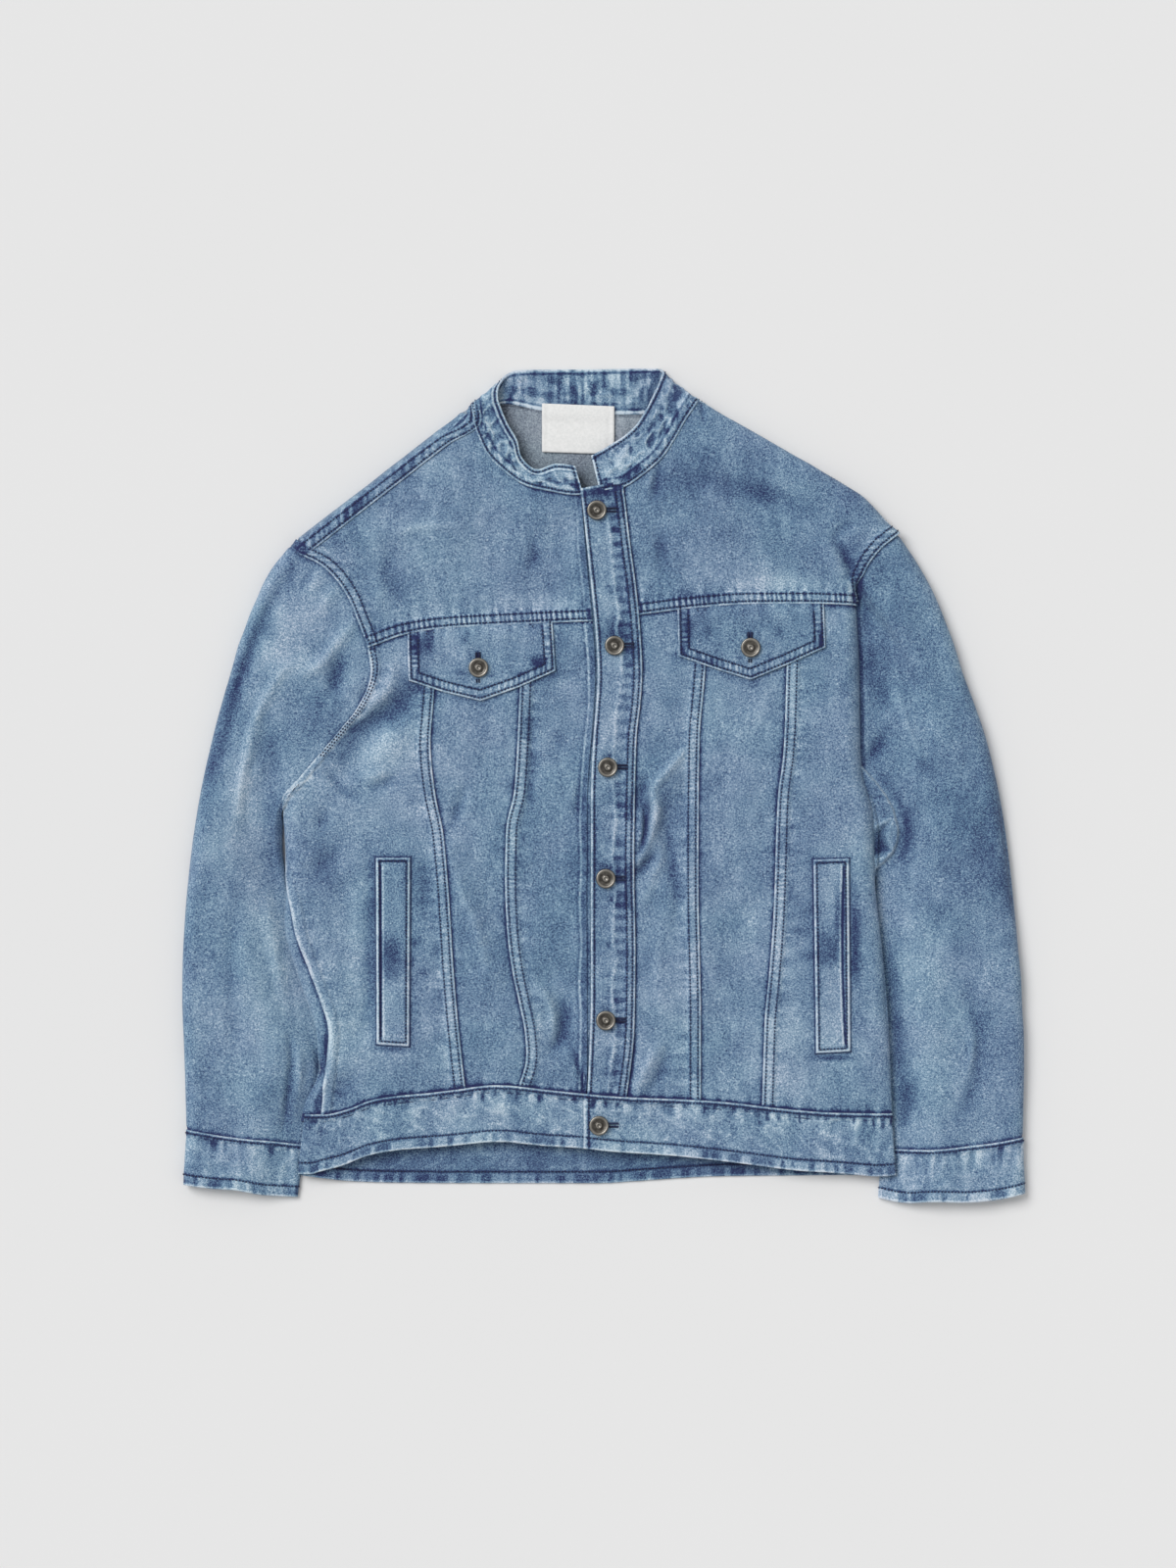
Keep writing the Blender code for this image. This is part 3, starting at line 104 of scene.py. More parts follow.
def ease(value):
    """0 up to 0, 1 from 1 on, and smooth between."""
    value = np.clip(value, 0, 1)
    return value * value * (3 - 2 * value)


def blend(start, end, share):
    """From the start at a share of 0 to the end at 1."""
    return start * (1 - share) + end * share


# The outline of the flattened body, seen from above, and the heights of its two sides.
LEFT_OUTLINE = (
    # y, x
    (60, -279), (-23.4, -277.1), (-83.7, -274.6), (-117.7, -276.0), (-168.7, -263.5),
    (-212.9, -249.0), (-245.2, -246.5), (-279.2, -260.1), (-336.2, -267.8),
)
RIGHT_OUTLINE = (
    # y, x
    (205.3, 275.0), (192.5, 249.0), (179.8, 229.0), (169.6, 220.5), (160.2, 218.6), (99.9, 221.0),
    (35.3, 221.8), (12.3, 223.5), (-25.1, 232.9), (-83.7, 234.6), (-139.8, 240.5),
    (-198.5, 245.7), (-286.9, 249.9), (-337.0, 253.3),
)
NECK_LEFT, TIP_LEFT = (-109.6, 333.6), (-269.4, 210.4)
NECK_RIGHT, TIP_RIGHT = (79.9, 334.5), (253.3, 220.6)
RIGHT_SHOULDER_BOW = ((-20, 0), (0, 0), (60, -4), (128, -7.5), (162, -9), (207, 0), (230, 0))
BODY_HEIGHT = (
    # y, height of the front
    (345, 13), (300, 15), (220, 18), (120, 20), (0, 21), (-180, 20), (-262, 16), (-300, 13.5),
    (-345, 12),
)
SIDE_LIFT = (
    # y, height of the back at the left edge, at the right edge
    (345, 0, 0), (-20, 0, 0), (-60, 3, 3), (-110, 8, 8), (-250, 8, 8), (-345, 8, 8.5),
)
LIFT_REACH = 62  # how far in from the edge the back comes down to the surface
EDGE_HEIGHT = (
    # y, height of the turned edge at the left, at the right
    (345, 9, 9), (100, 9.5, 9.5), (-20, 9.5, 9.5), (-100, 13.2, 13.2), (-260, 12.6, 12.6),
    (-345, 10.6, 10.9),
)
FOLDS = (
    # from x, y, over x, y, to x, y, width, rise
    (-184, 66, -196, 44, -226, 8, 12, -3.0), (-134, -53, -112, -96, -96, -167, 14, 2.4),
    (-46, -167, -33, -195, -38, -223, 14, -2.4), (58, 9, 39, -34, 29, -64, 13, 2.6),
    (74, 4, 52, -40, 42, -80, 12, -2.2), (45, -225, 36, -245, 27, -265, 12, 2.0),
    (-197, 217, -162, 223, -125, 224, 15, 1.6), (120, -110, 112, -170, 104, -225, 22, -1.8),
    (-225, -90, -215, -150, -206, -215, 16, -2.2), (-40, 215, -52, 190, -50, 165, 20, -1.8),
)

left_x, right_x = Line(LEFT_OUTLINE), Line(RIGHT_OUTLINE)
body_height, side_lift, edge_height = Line(BODY_HEIGHT), Line(SIDE_LIFT), Line(EDGE_HEIGHT)


def fold_rise(x, y):
    """How far the soft folds lift or sink the front at a place."""
    rise = np.zeros(np.shape(x))
    for x0, y0, x1, y1, x2, y2, width, height in FOLDS:
        nearest = np.full(np.shape(x), 1e9)
        for t in np.linspace(0.04, 0.96, 9):
            a, b, c = (1 - t) ** 2, 2 * t * (1 - t), t * t
            apart = np.hypot(x - a * x0 - b * x1 - c * x2, y - a * y0 - b * y1 - c * y2)
            nearest = np.minimum(nearest, apart)
        rise += height * np.exp(-((nearest / width) ** 2))
    return rise


def front_height(x, y):
    """Height of the front where no edge turns it."""
    return body_height(y) + fold_rise(x, y)


def back_height(x, y):
    lift = side_lift(y)
    left = lift[..., 0] * (1 - ease((x - left_x(y)) / LIFT_REACH))
    right = lift[..., 1] * (1 - ease((right_x(y) - x) / LIFT_REACH))
    return np.maximum(left, right)


class Edge:
    """A turned edge of the flattened body: (along, inward) from a start, with a bow in it."""

    def __init__(self, start, end, inward_side, bow, reach, top_radius, under_radius, height):
        self.start = np.array(start, float)
        self.along = np.array(end, float) - self.start
        self.along /= np.linalg.norm(self.along)
        self.inward = np.array([self.along[1], -self.along[0]]) * inward_side
        self.bow = bow
        self.reach = reach
        self.top_radius, self.under_radius = top_radius, under_radius
        self.height = height
        self.top_arc = math.pi / 4 * (top_radius + 9.5)
        self.under_arc = math.pi / 4 * (under_radius + 7.0)

    def from_inset(self, inset):
        """Run of cloth from the edge to a place on the top this far in, seen from above."""
        turned = np.arcsin(np.clip(1 - inset / self.top_radius, 0, 1)) / (math.pi / 2)
        on_turn = self.top_arc * (1 - turned)
        flat = self.top_arc + inset - self.top_radius
        return np.where(inset < self.top_radius, on_turn, flat)

    def opened(self, along, run, side):
        """Where a place, this run of cloth in from the edge on the top, is drawn."""
        along, run = np.broadcast_arrays(np.asarray(along, float), run)
        inset = run + self.top_radius - self.top_arc
        if side == BACK:
            inset = self.under_radius - self.under_arc - run
        return self.place(along, inset)

    def place(self, along, inset):
        inward = self.bow(along) + inset
        return self.start + along[..., None] * self.along + inward[..., None] * self.inward


left_edge = Edge((0, 0), (0, 1), 1, left_x, (-400, 60), 14, 7, lambda a: edge_height(a)[..., 0])
right_edge = Edge(
    (0, 0), (0, 1), -1, lambda a: -right_x(a), (-400, 206), 13, 7, lambda a: edge_height(a)[..., 1]
)
left_shoulder = Edge(
    NECK_LEFT, TIP_LEFT, -1, lambda a: 0 * a, (-40, 230), 12, 7, lambda a: 8 + 0 * a
)
right_shoulder = Edge(
    NECK_RIGHT, TIP_RIGHT, 1, Line(RIGHT_SHOULDER_BOW), (-40, 232), 12, 7, lambda a: 8 + 0 * a
)
EDGES = (left_edge, right_edge, left_shoulder, right_shoulder)


def laid(drawn, side):
    """Places on the outside of the garment, for places drawn on its opened-out front or back."""
    drawn = np.asarray(drawn, float)
    x, y = drawn[..., 0], drawn[..., 1]
    height = front_height(x, y) if side == FRONT else back_height(x, y)
    found = np.stack([x, y, height], -1)
    for edge in EDGES:
        away = drawn - edge.start
        along, inward = away @ edge.along, away @ edge.inward
        inset = inward - edge.bow(along)
        run = inset - edge.top_radius + edge.top_arc
        if side == BACK:
            run = edge.under_radius - edge.under_arc - inset
        limit = edge.top_radius if side == FRONT else edge.under_radius
        near = (inset < limit) & (along > edge.reach[0]) & (along < edge.reach[1])
        if not near.any():
            continue
        middle = edge.height(along)
        top_run = run + edge.top_radius - edge.top_arc
        under_run = -run - edge.under_arc + edge.under_radius
        top_place = edge.place(along, np.maximum(edge.top_radius, top_run))
        under_place = edge.place(along, np.maximum(edge.under_radius, under_run))
        above = front_height(top_place[..., 0], top_place[..., 1]) - middle
        below = middle - back_height(under_place[..., 0], under_place[..., 1])
        over = np.clip(1 - run / edge.top_arc, 0, 1) * math.pi / 2
        beneath = np.clip(-run / edge.under_arc, 0, 1) * math.pi / 2
        top_turn = edge.top_radius * (1 - np.sin(over))
        under_turn = edge.under_radius * (1 - np.cos(beneath))
        top_in = np.where(run > edge.top_arc, top_run, top_turn)
        under_in = np.where(-run > edge.under_arc, under_run, under_turn)
        flat = edge.place(along, np.where(run > 0, top_in, under_in))
        level = np.where(run > 0, middle + above * np.cos(over), middle - below * np.sin(beneath))
        turned_place = np.concatenate([flat, level[..., None]], -1)
        found = np.where(near[..., None], turned_place, found)
    return found


def outward(drawn, side, reach=0.8):
    """Unit directions out of the cloth at places drawn on the front or the back."""
    drawn = np.asarray(drawn, float)
    ahead = laid(drawn + (reach, 0), side) - laid(drawn - (reach, 0), side)
    up = laid(drawn + (0, reach), side) - laid(drawn - (0, reach), side)
    found = np.cross(ahead, up)
    found /= np.linalg.norm(found, axis=-1, keepdims=True)
    return found if side == FRONT else -found


def shares(cells, start=0.0, end=0.0):
    """Shares from 0 to 1, closer together at either end by up to all of the way."""
    even = np.linspace(0, 1, cells + 1)
    at_start = 1 - np.cos(even * math.pi / 2)
    at_end = np.sin(even * math.pi / 2)
    at_both = (1 - np.cos(even * math.pi)) / 2
    both = min(start, end)
    return (
        (1 - start - end + both) * even
        + (start - both) * at_start
        + (end - both) * at_end
        + both * at_both
    )


def patch(bottom, top, left, right, across=None, along=None):
    """A grid of rows by columns between four lines of points that meet at the corners."""
    v = (np.linspace(0, 1, len(left)) if along is None else along)[:, None, None]
    u = (np.linspace(0, 1, len(bottom)) if across is None else across)[None, :, None]
    corners = bottom[0] * (1 - u) * (1 - v) + bottom[-1] * u * (1 - v)
    corners = corners + top[0] * (1 - u) * v + top[-1] * u * v
    return blend(bottom[None], top[None], v) + blend(left[:, None], right[:, None], u) - corners


def join(parts):
    """Lines of points, end to end, as one."""
    return np.concatenate([parts[0]] + [part[1:] for part in parts[1:]])


def across_between(start, end, share, line):
    """Points from start to end, which follow a line read by X and meet both ends."""
    straight = start + share[:, None] * (end - start)
    y = line(straight[:, 0])
    miss = (start[1] - y[0]) * (1 - share) + (end[1] - y[-1]) * share
    return np.stack([straight[:, 0], y + miss], 1)


# Where the back is sewn: up the left side, armhole and shoulder, and the same at the right.
PANEL_ROWS = 16
ARMHOLE_ROWS = 6  # of them, those beside the armhole
LEFT_UNDERARM_Y, RIGHT_UNDERARM_Y = -23.4, 12.3
SIDE_SEAM_INSET = (
    # y, how far in from the left edge the side seam runs on the top
    (-23.4, 0), (-59, 0.5), (-78, 2), (-108, 10), (-143, 15.5), (-196, 17.5), (-237, 11.5),
    (-262, 14), (-282, 20), (-290, 21),
)
RIGHT_SEAM_RUN = (
    # y, run of cloth from the right edge on the top; below nought it is on the under side
    (160.2, 0), (12.3, 0), (-40, -4), (-290, -4),
)
BACK_WAIST_SEAM = (
    # x, y as drawn on the opened-out back
    (-330, -288.0), (-264, -288.6), (-205, -298), (195, -298), (240, -288.6), (300, -287.5),
)
BACK_NECK = (
    # x, y
    (-87.5, 332.8), (-53.5, 327.7), (-13.6, 324.3), (30.6, 324.3), (58.0, 330.0),
)
LEFT_UNDER_ARMHOLE = (
    (-270, -14.4), (-262, 0), (-244, 28), (-222, 56), (-207, 90), (-206, 130), (-216, 165),
    (-236, 190),
)
RIGHT_UNDER_ARMHOLE = ((216.5, 21.3), (214, 42), (213, 70), (213, 110), (214, 150), (219, 180), (232, 204))
TURN_CELLS, UNDER_CELLS = 2, 7
TURN_RISE = (0, 2.2, 9)  # of the armhole seam as it goes round the turned edge
STRIP_INSET = 11.5  # of the left shoulder seam, in front of the fold
RIGHT_SHOULDER_RUN = -4.0  # of the right shoulder seam, just round the fold
LEFT_SHOULDER_CELLS, RIGHT_SHOULDER_CELLS = 5, 7
LEFT_TIP_ALONG, LEFT_NECK_ALONG = 199.5, 10.0
RIGHT_TIP_ALONG = 207.0

left_side_seam_y = np.linspace(-288.0, LEFT_UNDERARM_Y, PANEL_ROWS - ARMHOLE_ROWS + 1)
left_side_run = left_edge.from_inset(Line(SIDE_SEAM_INSET)(left_side_seam_y))
left_along = np.linspace(LEFT_TIP_ALONG, LEFT_NECK_ALONG, LEFT_SHOULDER_CELLS + 1)
strip_run = left_shoulder.from_inset(np.full(LEFT_SHOULDER_CELLS + 1, STRIP_INSET))
turn_run = np.linspace(0, -left_edge.under_arc, TURN_CELLS + 1)
left_turn = left_edge.opened(LEFT_UNDERARM_Y + np.array(TURN_RISE), turn_run, BACK)
left_under_armhole = route(LEFT_UNDER_ARMHOLE)(np.linspace(0, 1, UNDER_CELLS + 1))
left_under_armhole[0] = left_turn[-1]
tip_run = np.array([-left_shoulder.under_arc, 0, left_shoulder.top_arc * 0.55, strip_run[0]])
left_tip = left_shoulder.opened(np.array([201.5, 201.5, 200.5, LEFT_TIP_ALONG]), tip_run, BACK)
left_under_armhole[-1] = left_tip[0]
back_left_seam = left_edge.opened(left_side_seam_y, left_side_run, BACK)
back_left = join([back_left_seam, left_turn, left_under_armhole, left_tip])

right_seam_y = np.linspace(-287.5, RIGHT_UNDERARM_Y, PANEL_ROWS - ARMHOLE_ROWS + 1)
right_along = np.linspace(0, RIGHT_TIP_ALONG, RIGHT_SHOULDER_CELLS + 1)
right_run = np.full(RIGHT_SHOULDER_CELLS + 1, RIGHT_SHOULDER_RUN)
back_right_seam = right_edge.opened(right_seam_y, Line(RIGHT_SEAM_RUN)(right_seam_y), BACK)
turn_run = np.linspace(0, -right_edge.under_arc, TURN_CELLS + 1)
right_turn = right_edge.opened(RIGHT_UNDERARM_Y + np.array(TURN_RISE), turn_run, BACK)
right_under_armhole = route(RIGHT_UNDER_ARMHOLE)(np.linspace(0, 1, UNDER_CELLS + 1))
right_under_armhole[0] = right_turn[-1]
tip_run = np.array([-right_shoulder.under_arc, -7.5, -5.5, RIGHT_SHOULDER_RUN])
right_tip = right_shoulder.opened(np.full(4, RIGHT_TIP_ALONG), tip_run, BACK)
right_under_armhole[-1] = right_tip[0]
back_right = join([back_right_seam, right_turn, right_under_armhole, right_tip])

back_strip = left_shoulder.opened(left_along, strip_run[0] + 0 * left_along, BACK)
neck_turn_run = np.array([strip_run[0], 10.0, 3.0, -4.0, -left_shoulder.under_arc])
neck_turn_along = np.array([LEFT_NECK_ALONG, 6.5, 3.5, 2.0, 1.0])
neck_turn = left_shoulder.opened(neck_turn_along, neck_turn_run, BACK)
back_shoulder = right_shoulder.opened(right_along, right_run, BACK)
under_neck_run = np.array([-right_shoulder.under_arc])
right_under_neck = right_shoulder.opened(np.array([0.5]), under_neck_run, BACK)
back_neck = np.concatenate([neck_turn[-1:], np.array(BACK_NECK), right_under_neck, back_shoulder[:1]])
back_top = join([back_strip, neck_turn, back_neck, back_shoulder])
back_shares = shares(len(back_top) - 1, 0.8, 0.8)
back_bottom = across_between(back_left[0], back_right[0], back_shares, Line(BACK_WAIST_SEAM))
back_grid = patch(back_bottom, back_top, back_left, back_right, back_shares)

# Indigo twill, washed with stones: raised threads are faded and hollows are dark.
DENIM_COLOURS = (
    # share, sRGB
    (0.0, (30, 38, 84)),
    (0.16, (50, 68, 108)),
    (0.36, (83, 112, 145)),
    (0.52, (112, 140, 168)),
    (0.72, (149, 172, 194)),
    (1.0, (208, 219, 231)),
)
WRONG_SIDE_COLOURS = (
    (0.0, (58, 64, 78)),
    (0.16, (80, 88, 102)),
    (0.36, (114, 124, 139)),
    (0.52, (143, 153, 166)),
    (0.72, (168, 177, 188)),
    (1.0, (205, 212, 220)),
)
MOTTLES = (
    # spots to a metre, detail, roughness, contrast, drawn out along the garment
    (30, 2, 0.5, 0.20, False),
    (120, 2, 0.5, 0.26, True),
    (600, 2, 0.6, 0.95, False),
    (1150, 1, 0.5, 1.05, False),
)
SLUB_STRETCH = (1.0, 0.35, 1.0)
TWILL_TILT, TWILL_RIBS, TWILL_CONTRAST = 63, 380.0, 0.17
TONE_CONTRAST, MIDDLE_TONE = 0.36, 0.50
CASTS = ((0.36, (0.955, 1.016, 0.997, 1.0)), (0.64, (1.012, 0.996, 1.004, 1.0)))


def linear(colour):
    """An sRGB colour of 0 to 255 as Blender's linear one."""
    share = np.array(colour) / 255
    return (*np.where(share <= 0.04045, share / 12.92, ((share + 0.055) / 1.055) ** 2.4).tolist(), 1.0)


class Finish:
    """A material whose nodes are added and linked as they are named."""

    def __init__(self, name, roughness):
        self.material = bpy.data.materials.new(name)
        self.material.use_nodes = True
        self.tree = self.material.node_tree
        self.shade(Roughness=roughness)

    def put(self, node, inputs):
        for key, value in inputs.items():
            socket = node.inputs[key.replace("_", " ") if isinstance(key, str) else key]
            if isinstance(value, bpy.types.NodeSocket):
                self.tree.links.new(value, socket)
            else:
                socket.default_value = value
        return node

    def shade(self, **inputs):
        self.put(self.tree.nodes["Principled BSDF"], inputs)

    def add(self, kind, settings=None, **inputs):
        node = self.tree.nodes.new("ShaderNode" + kind)
        for key, value in (settings or {}).items():
            setattr(node, key, value)
        return self.put(node, inputs)

    def place(self):
        return self.add("TexCoord").outputs["Object"]

    def tone(self):
        return self.add("Attribute", {"attribute_name": "tone"}).outputs["Fac"]

    def math(self, operation, *values):
        node = self.add("Math", {"operation": operation})
        return self.put(node, dict(enumerate(values))).outputs[0]

    def noise(self, place, scale, detail=2.0, roughness=0.5):
        node = self.add("TexNoise", Vector=place, Scale=scale, Detail=detail, Roughness=roughness)
        return node.outputs["Fac"]

    def ramp(self, value, colours):
        """Linear colours by shares, read by a value."""
        node = self.add("ValToRGB", Fac=value)
        stops = node.color_ramp.elements
        while len(stops) < len(colours):
            stops.new(0.5)
        for stop, (share, colour) in zip(stops, colours):
            stop.position = share
            stop.color = colour
        return node.outputs["Color"]

    def mottled(self, value, *colours):
        """sRGB colours by shares, read by a value."""
        return self.ramp(value, [(share, linear(colour)) for share, colour in colours])


def denim_finish(name, colours, contrast=1.0):
    """Twill coloured by the pieces' tone, which holds their wear and their painted shade and light, and by
    mottling at four sizes.
    """
    made = Finish(name, 0.88)
    place, value = made.place(), made.math("MULTIPLY_ADD", made.tone(), TONE_CONTRAST, MIDDLE_TONE)
    slubs = made.add("Mapping", Vector=place, Scale=SLUB_STRETCH).outputs[0]
    noises = [
        made.noise(slubs if drawn_out else place, spots, detail, rough)
        for spots, detail, rough, _, drawn_out in MOTTLES
    ]
    for noise, (_, _, _, amount, _) in zip(noises, MOTTLES):
        centred = made.math("SUBTRACT", noise, 0.5)
        value = made.math("MULTIPLY_ADD", centred, amount * contrast, value)
    tilt = {"Rotation": (0.0, 0.0, math.radians(TWILL_TILT)), "Scale": (1.0, 1.0, 0.2)}
    ribs = made.add(
        "TexWave", {"wave_type": "BANDS", "bands_direction": "X"},
        Vector=made.add("Mapping", Vector=place, **tilt).outputs[0], Scale=TWILL_RIBS,
        Distortion=2.2, Detail=1.0, Detail_Scale=2.0,
    ).outputs["Fac"]
    value = made.math("MULTIPLY_ADD", made.math("SUBTRACT", ribs, 0.5), TWILL_CONTRAST, value)
    # the wash leaves some cloth greener and some more violet
    hue = made.add("Mix", {"data_type": "RGBA", "blend_type": "MULTIPLY"})
    inputs = {0: 1.0, 6: made.mottled(value, *colours), 7: made.ramp(made.noise(place, 16), CASTS)}
    made.put(hue, inputs)
    grain = made.math("ADD", made.math("MULTIPLY", ribs, 0.5), noises[2])
    relief = made.add("Bump", Height=grain, Strength=0.30, Distance=0.0006).outputs["Normal"]
    made.shade(
        Base_Color=hue.outputs[2], Normal=relief, Roughness=made.math("MULTIPLY_ADD", value, 0.12, 0.80),
        Sheen_Weight=0.12, Sheen_Roughness=0.6, Specular_IOR_Level=0.2,
    )
    return made.material


denim = denim_finish("denim", DENIM_COLOURS)
wrong_side = denim_finish("denim_wrong_side", WRONG_SIDE_COLOURS, 0.7)


def through(points, keys, at):
    """Smooth values at new keys of a line through points."""
    slopes = np.gradient(points, keys, axis=0)
    chords = abs(np.diff(points, axis=0) / np.diff(keys)[:, None])
    steepest = 3 * np.minimum(np.concatenate([chords[:1], chords]), np.concatenate([chords, chords[-1:]]))
    slopes = np.clip(slopes, -steepest, steepest)
    i = np.clip(np.searchsorted(keys, at, "right") - 1, 0, len(keys) - 2)
    step = (keys[i + 1] - keys[i])[:, None]
    t = (at - keys[i])[:, None] / step
    rise = points[i] * (1 + 2 * t) * (1 - t) ** 2 + points[i + 1] * (3 - 2 * t) * t**2
    return rise + (slopes[i] * t * (1 - t) ** 2 - slopes[i + 1] * t**2 * (1 - t)) * step


def respaced(grid, axis, size, start, end, middle, fine=1.0, closed=False, crowd=0.0):
    """The grid with its places along an axis set anew, with the distances from both borders added.

    They are `fine` apart within `start` and `end` millimetres of the borders, and `middle`
    steps lie between, closer to the borders where `crowd` is below 0. The first `size`
    channels are the place.
    """
    lines = np.moveaxis(grid, axis, 1)
    spare = 0
    if closed:
        spare = 3
        lines = np.concatenate([lines[:, -spare:], lines, lines[:, : spare + 1]], 1)
    made = []
    for line in lines:
        keys = np.concatenate([[0], np.cumsum(np.linalg.norm(np.diff(line[:, :size], axis=0), axis=1))])
        keys = keys - keys[spare]
        total = keys[len(keys) - 1 - spare]
        head = np.arange(0, start, fine)
        tail = total - np.arange(0, end, fine)[::-1]
        share = np.linspace(0, 1, middle + 1)
        share = share + crowd * np.sin(2 * math.pi * share) / (2 * math.pi)
        between = start + (total - end - start) * share
        at = np.concatenate([head, between, tail[:-1] if end and closed else tail])
        if not end:
            at = np.concatenate([head, between])
        if closed:
            at = at[:-1]
        found = through(line, keys, at)
        made.append(np.concatenate([found, at[:, None], total - at[:, None]], 1))
    return np.moveaxis(np.array(made), 1, axis)


def extended(grid, left=0.0, right=0.0, bottom=0.0, top=0.0):
    """The grid with another line past each border, this far on."""

    def past(line, inner, amount):
        away = line - inner
        return line + away / np.linalg.norm(away, axis=-1, keepdims=True) * amount

    if bottom:
        grid = np.concatenate([past(grid[:1], grid[1:2], bottom), grid])
    if top:
        grid = np.concatenate([grid, past(grid[-1:], grid[-2:-1], top)])
    if left:
        grid = np.concatenate([past(grid[:, :1], grid[:, 1:2], left), grid], 1)
    if right:
        grid = np.concatenate([grid, past(grid[:, -1:], grid[:, -2:-1], right)], 1)
    return grid


def cut(grid, size, amounts, near, cells, crowd=0.0):
    """A finely spaced grid past its borders by these amounts, with the distances from them."""
    grid = respaced(extended(grid, *amounts), 1, size, near[0], near[1], cells[0], FIRM_STEP, crowd=crowd)
    return respaced(grid, 0, size, near[2], near[3], cells[1], FIRM_STEP)


def swell(u, v, seed):
    """Smooth irregular swells from -1 to 1, one unit across."""
    i, j = np.floor(u), np.floor(v)
    f, g = ease(u - i), ease(v - j)

    def corner(a, b):
        wave = np.sin(a * 127.1 + b * 311.7 + seed * 74.7) * 4375.85
        return (wave - np.floor(wave)) * 2 - 1

    low = corner(i, j) * (1 - f) + corner(i + 1, j) * f
    high = corner(i, j + 1) * (1 - f) + corner(i + 1, j + 1) * f
    return low * (1 - g) + high * g


def streaks(u, v, seed, contrast=2.5):
    """Swells with firm borders, as the pale and dark stripes beside a seam."""
    return np.tanh(contrast * swell(u, v, seed))


def bump(distance, width):
    """1 at a line and nothing well past its width."""
    return np.exp(-((distance / width) ** 2))


def bars_along(s, seed, period=BARS):
    """Puckers across a seam: pale and dark bars from 1 to -1, nearly even along it."""
    drift = 1.6 * swell(s / 13, 0 * s, seed) + 0.6 * swell(s / 5, 0 * s, seed + 1)
    size = 0.62 + 0.38 * swell(s / 17, 0 * s, seed + 2)
    return np.tanh(1.7 * np.sin(2 * math.pi * s / period + 2.2 * drift)) * size


def covering(
    d, s, seed, period=BARS, line=1.05, bars=1.0, pale=0.1, indigo=0.7, reach=1.0, rows=STITCH_ROWS,
    width=SEAM_WIDTH, dark=1.0, rim=1.05, start=-999.0,
):
    """Relief and wear of a felled seam's covering border: edge, puckered strip, fades beyond. Along each
    stitch row, dark paints a dark line: the unworn indigo there, and painted shade in the dent.
    """
    shown = ease((s - start) / 8)
    strip = shown * ease((d - 1.2) / 1.2) * (1 - ease((d - width + 0.3) / 1.2))
    ripple = bars_along(s + 0.12 * d, seed, period)
    long = swell(s / 24, d / 40, seed + 5)
    grooves = shown * sum(bump(d - row, line) for row in rows)
    relief = 1.15 * (1 - ease((d - width + 1.0) / 3.0)) - 0.3 * (1 - ease(d / 1.2))
    relief = relief + (0.26 * bars * ripple) * strip - 0.3 * grooves
    smudge = ease((long - 0.12) / 0.4) * indigo
    tone = strip * (pale + 0.85 * bars * ripple - smudge)
    worn_rim = 1.0 + 0.4 * swell(s / 6, 0 * s, seed + 6)
    # the dark line along each stitch row is unworn indigo and painted shade in the dent
    tone = tone + worn_rim * bump(d - 0.7 * rim, rim) - 1.15 * dark * grooves
    beyond = np.clip(d - width, 0, None)
    fade = np.exp(-beyond / 7) * ease(beyond / 1.0) * (d > width)
    tone = tone + reach * fade * (0.16 + 0.5 * streaks(s / 3.0, d / 60, seed + 9, 2) - 0.4 * smudge)
    return relief, tone


def covered(d, s, seed, hidden, depth=1.0, ridge=0.0, bars=0.3):
    """Relief, wear and painted shade of a piece that passes under another: painted shade in the corner under
    the covering border, then worn streaks. Depth scales both.
    """
    away = np.clip(d - hidden, 0, None)
    # painted shade in the corner under the covering border
    tone = -1.0 * depth * bump(away - 0.6, 1.5)
    tone = tone - bars * depth * np.exp(-away / 5) * (0.4 + 0.9 * streaks(s / 3.2, d / 50, seed, 2))
    ledge = away - 2.3 - 1.2 * swell(s / 34, 0 * s, seed + 1)
    tone = tone + ridge * (1.0 * bump(ledge, 1.0) - 0.5 * bump(ledge - 2.0, 1.2))
    return -0.15 * bump(d - hidden, 3), tone


PLAIN = (None, 0.0, {})  # a border: how it wears, how far past its seam it reaches, options


def over(amount=5.3, **options):
    """A border that covers its neighbour's, past the seam by this much."""
    return (covering, amount, options)


def under(amount=3.0, cover=5.3, **options):
    """A border that passes under its neighbour's, which covers the seam by this much."""
    return (covered, amount, {"hidden": amount + cover, **options})
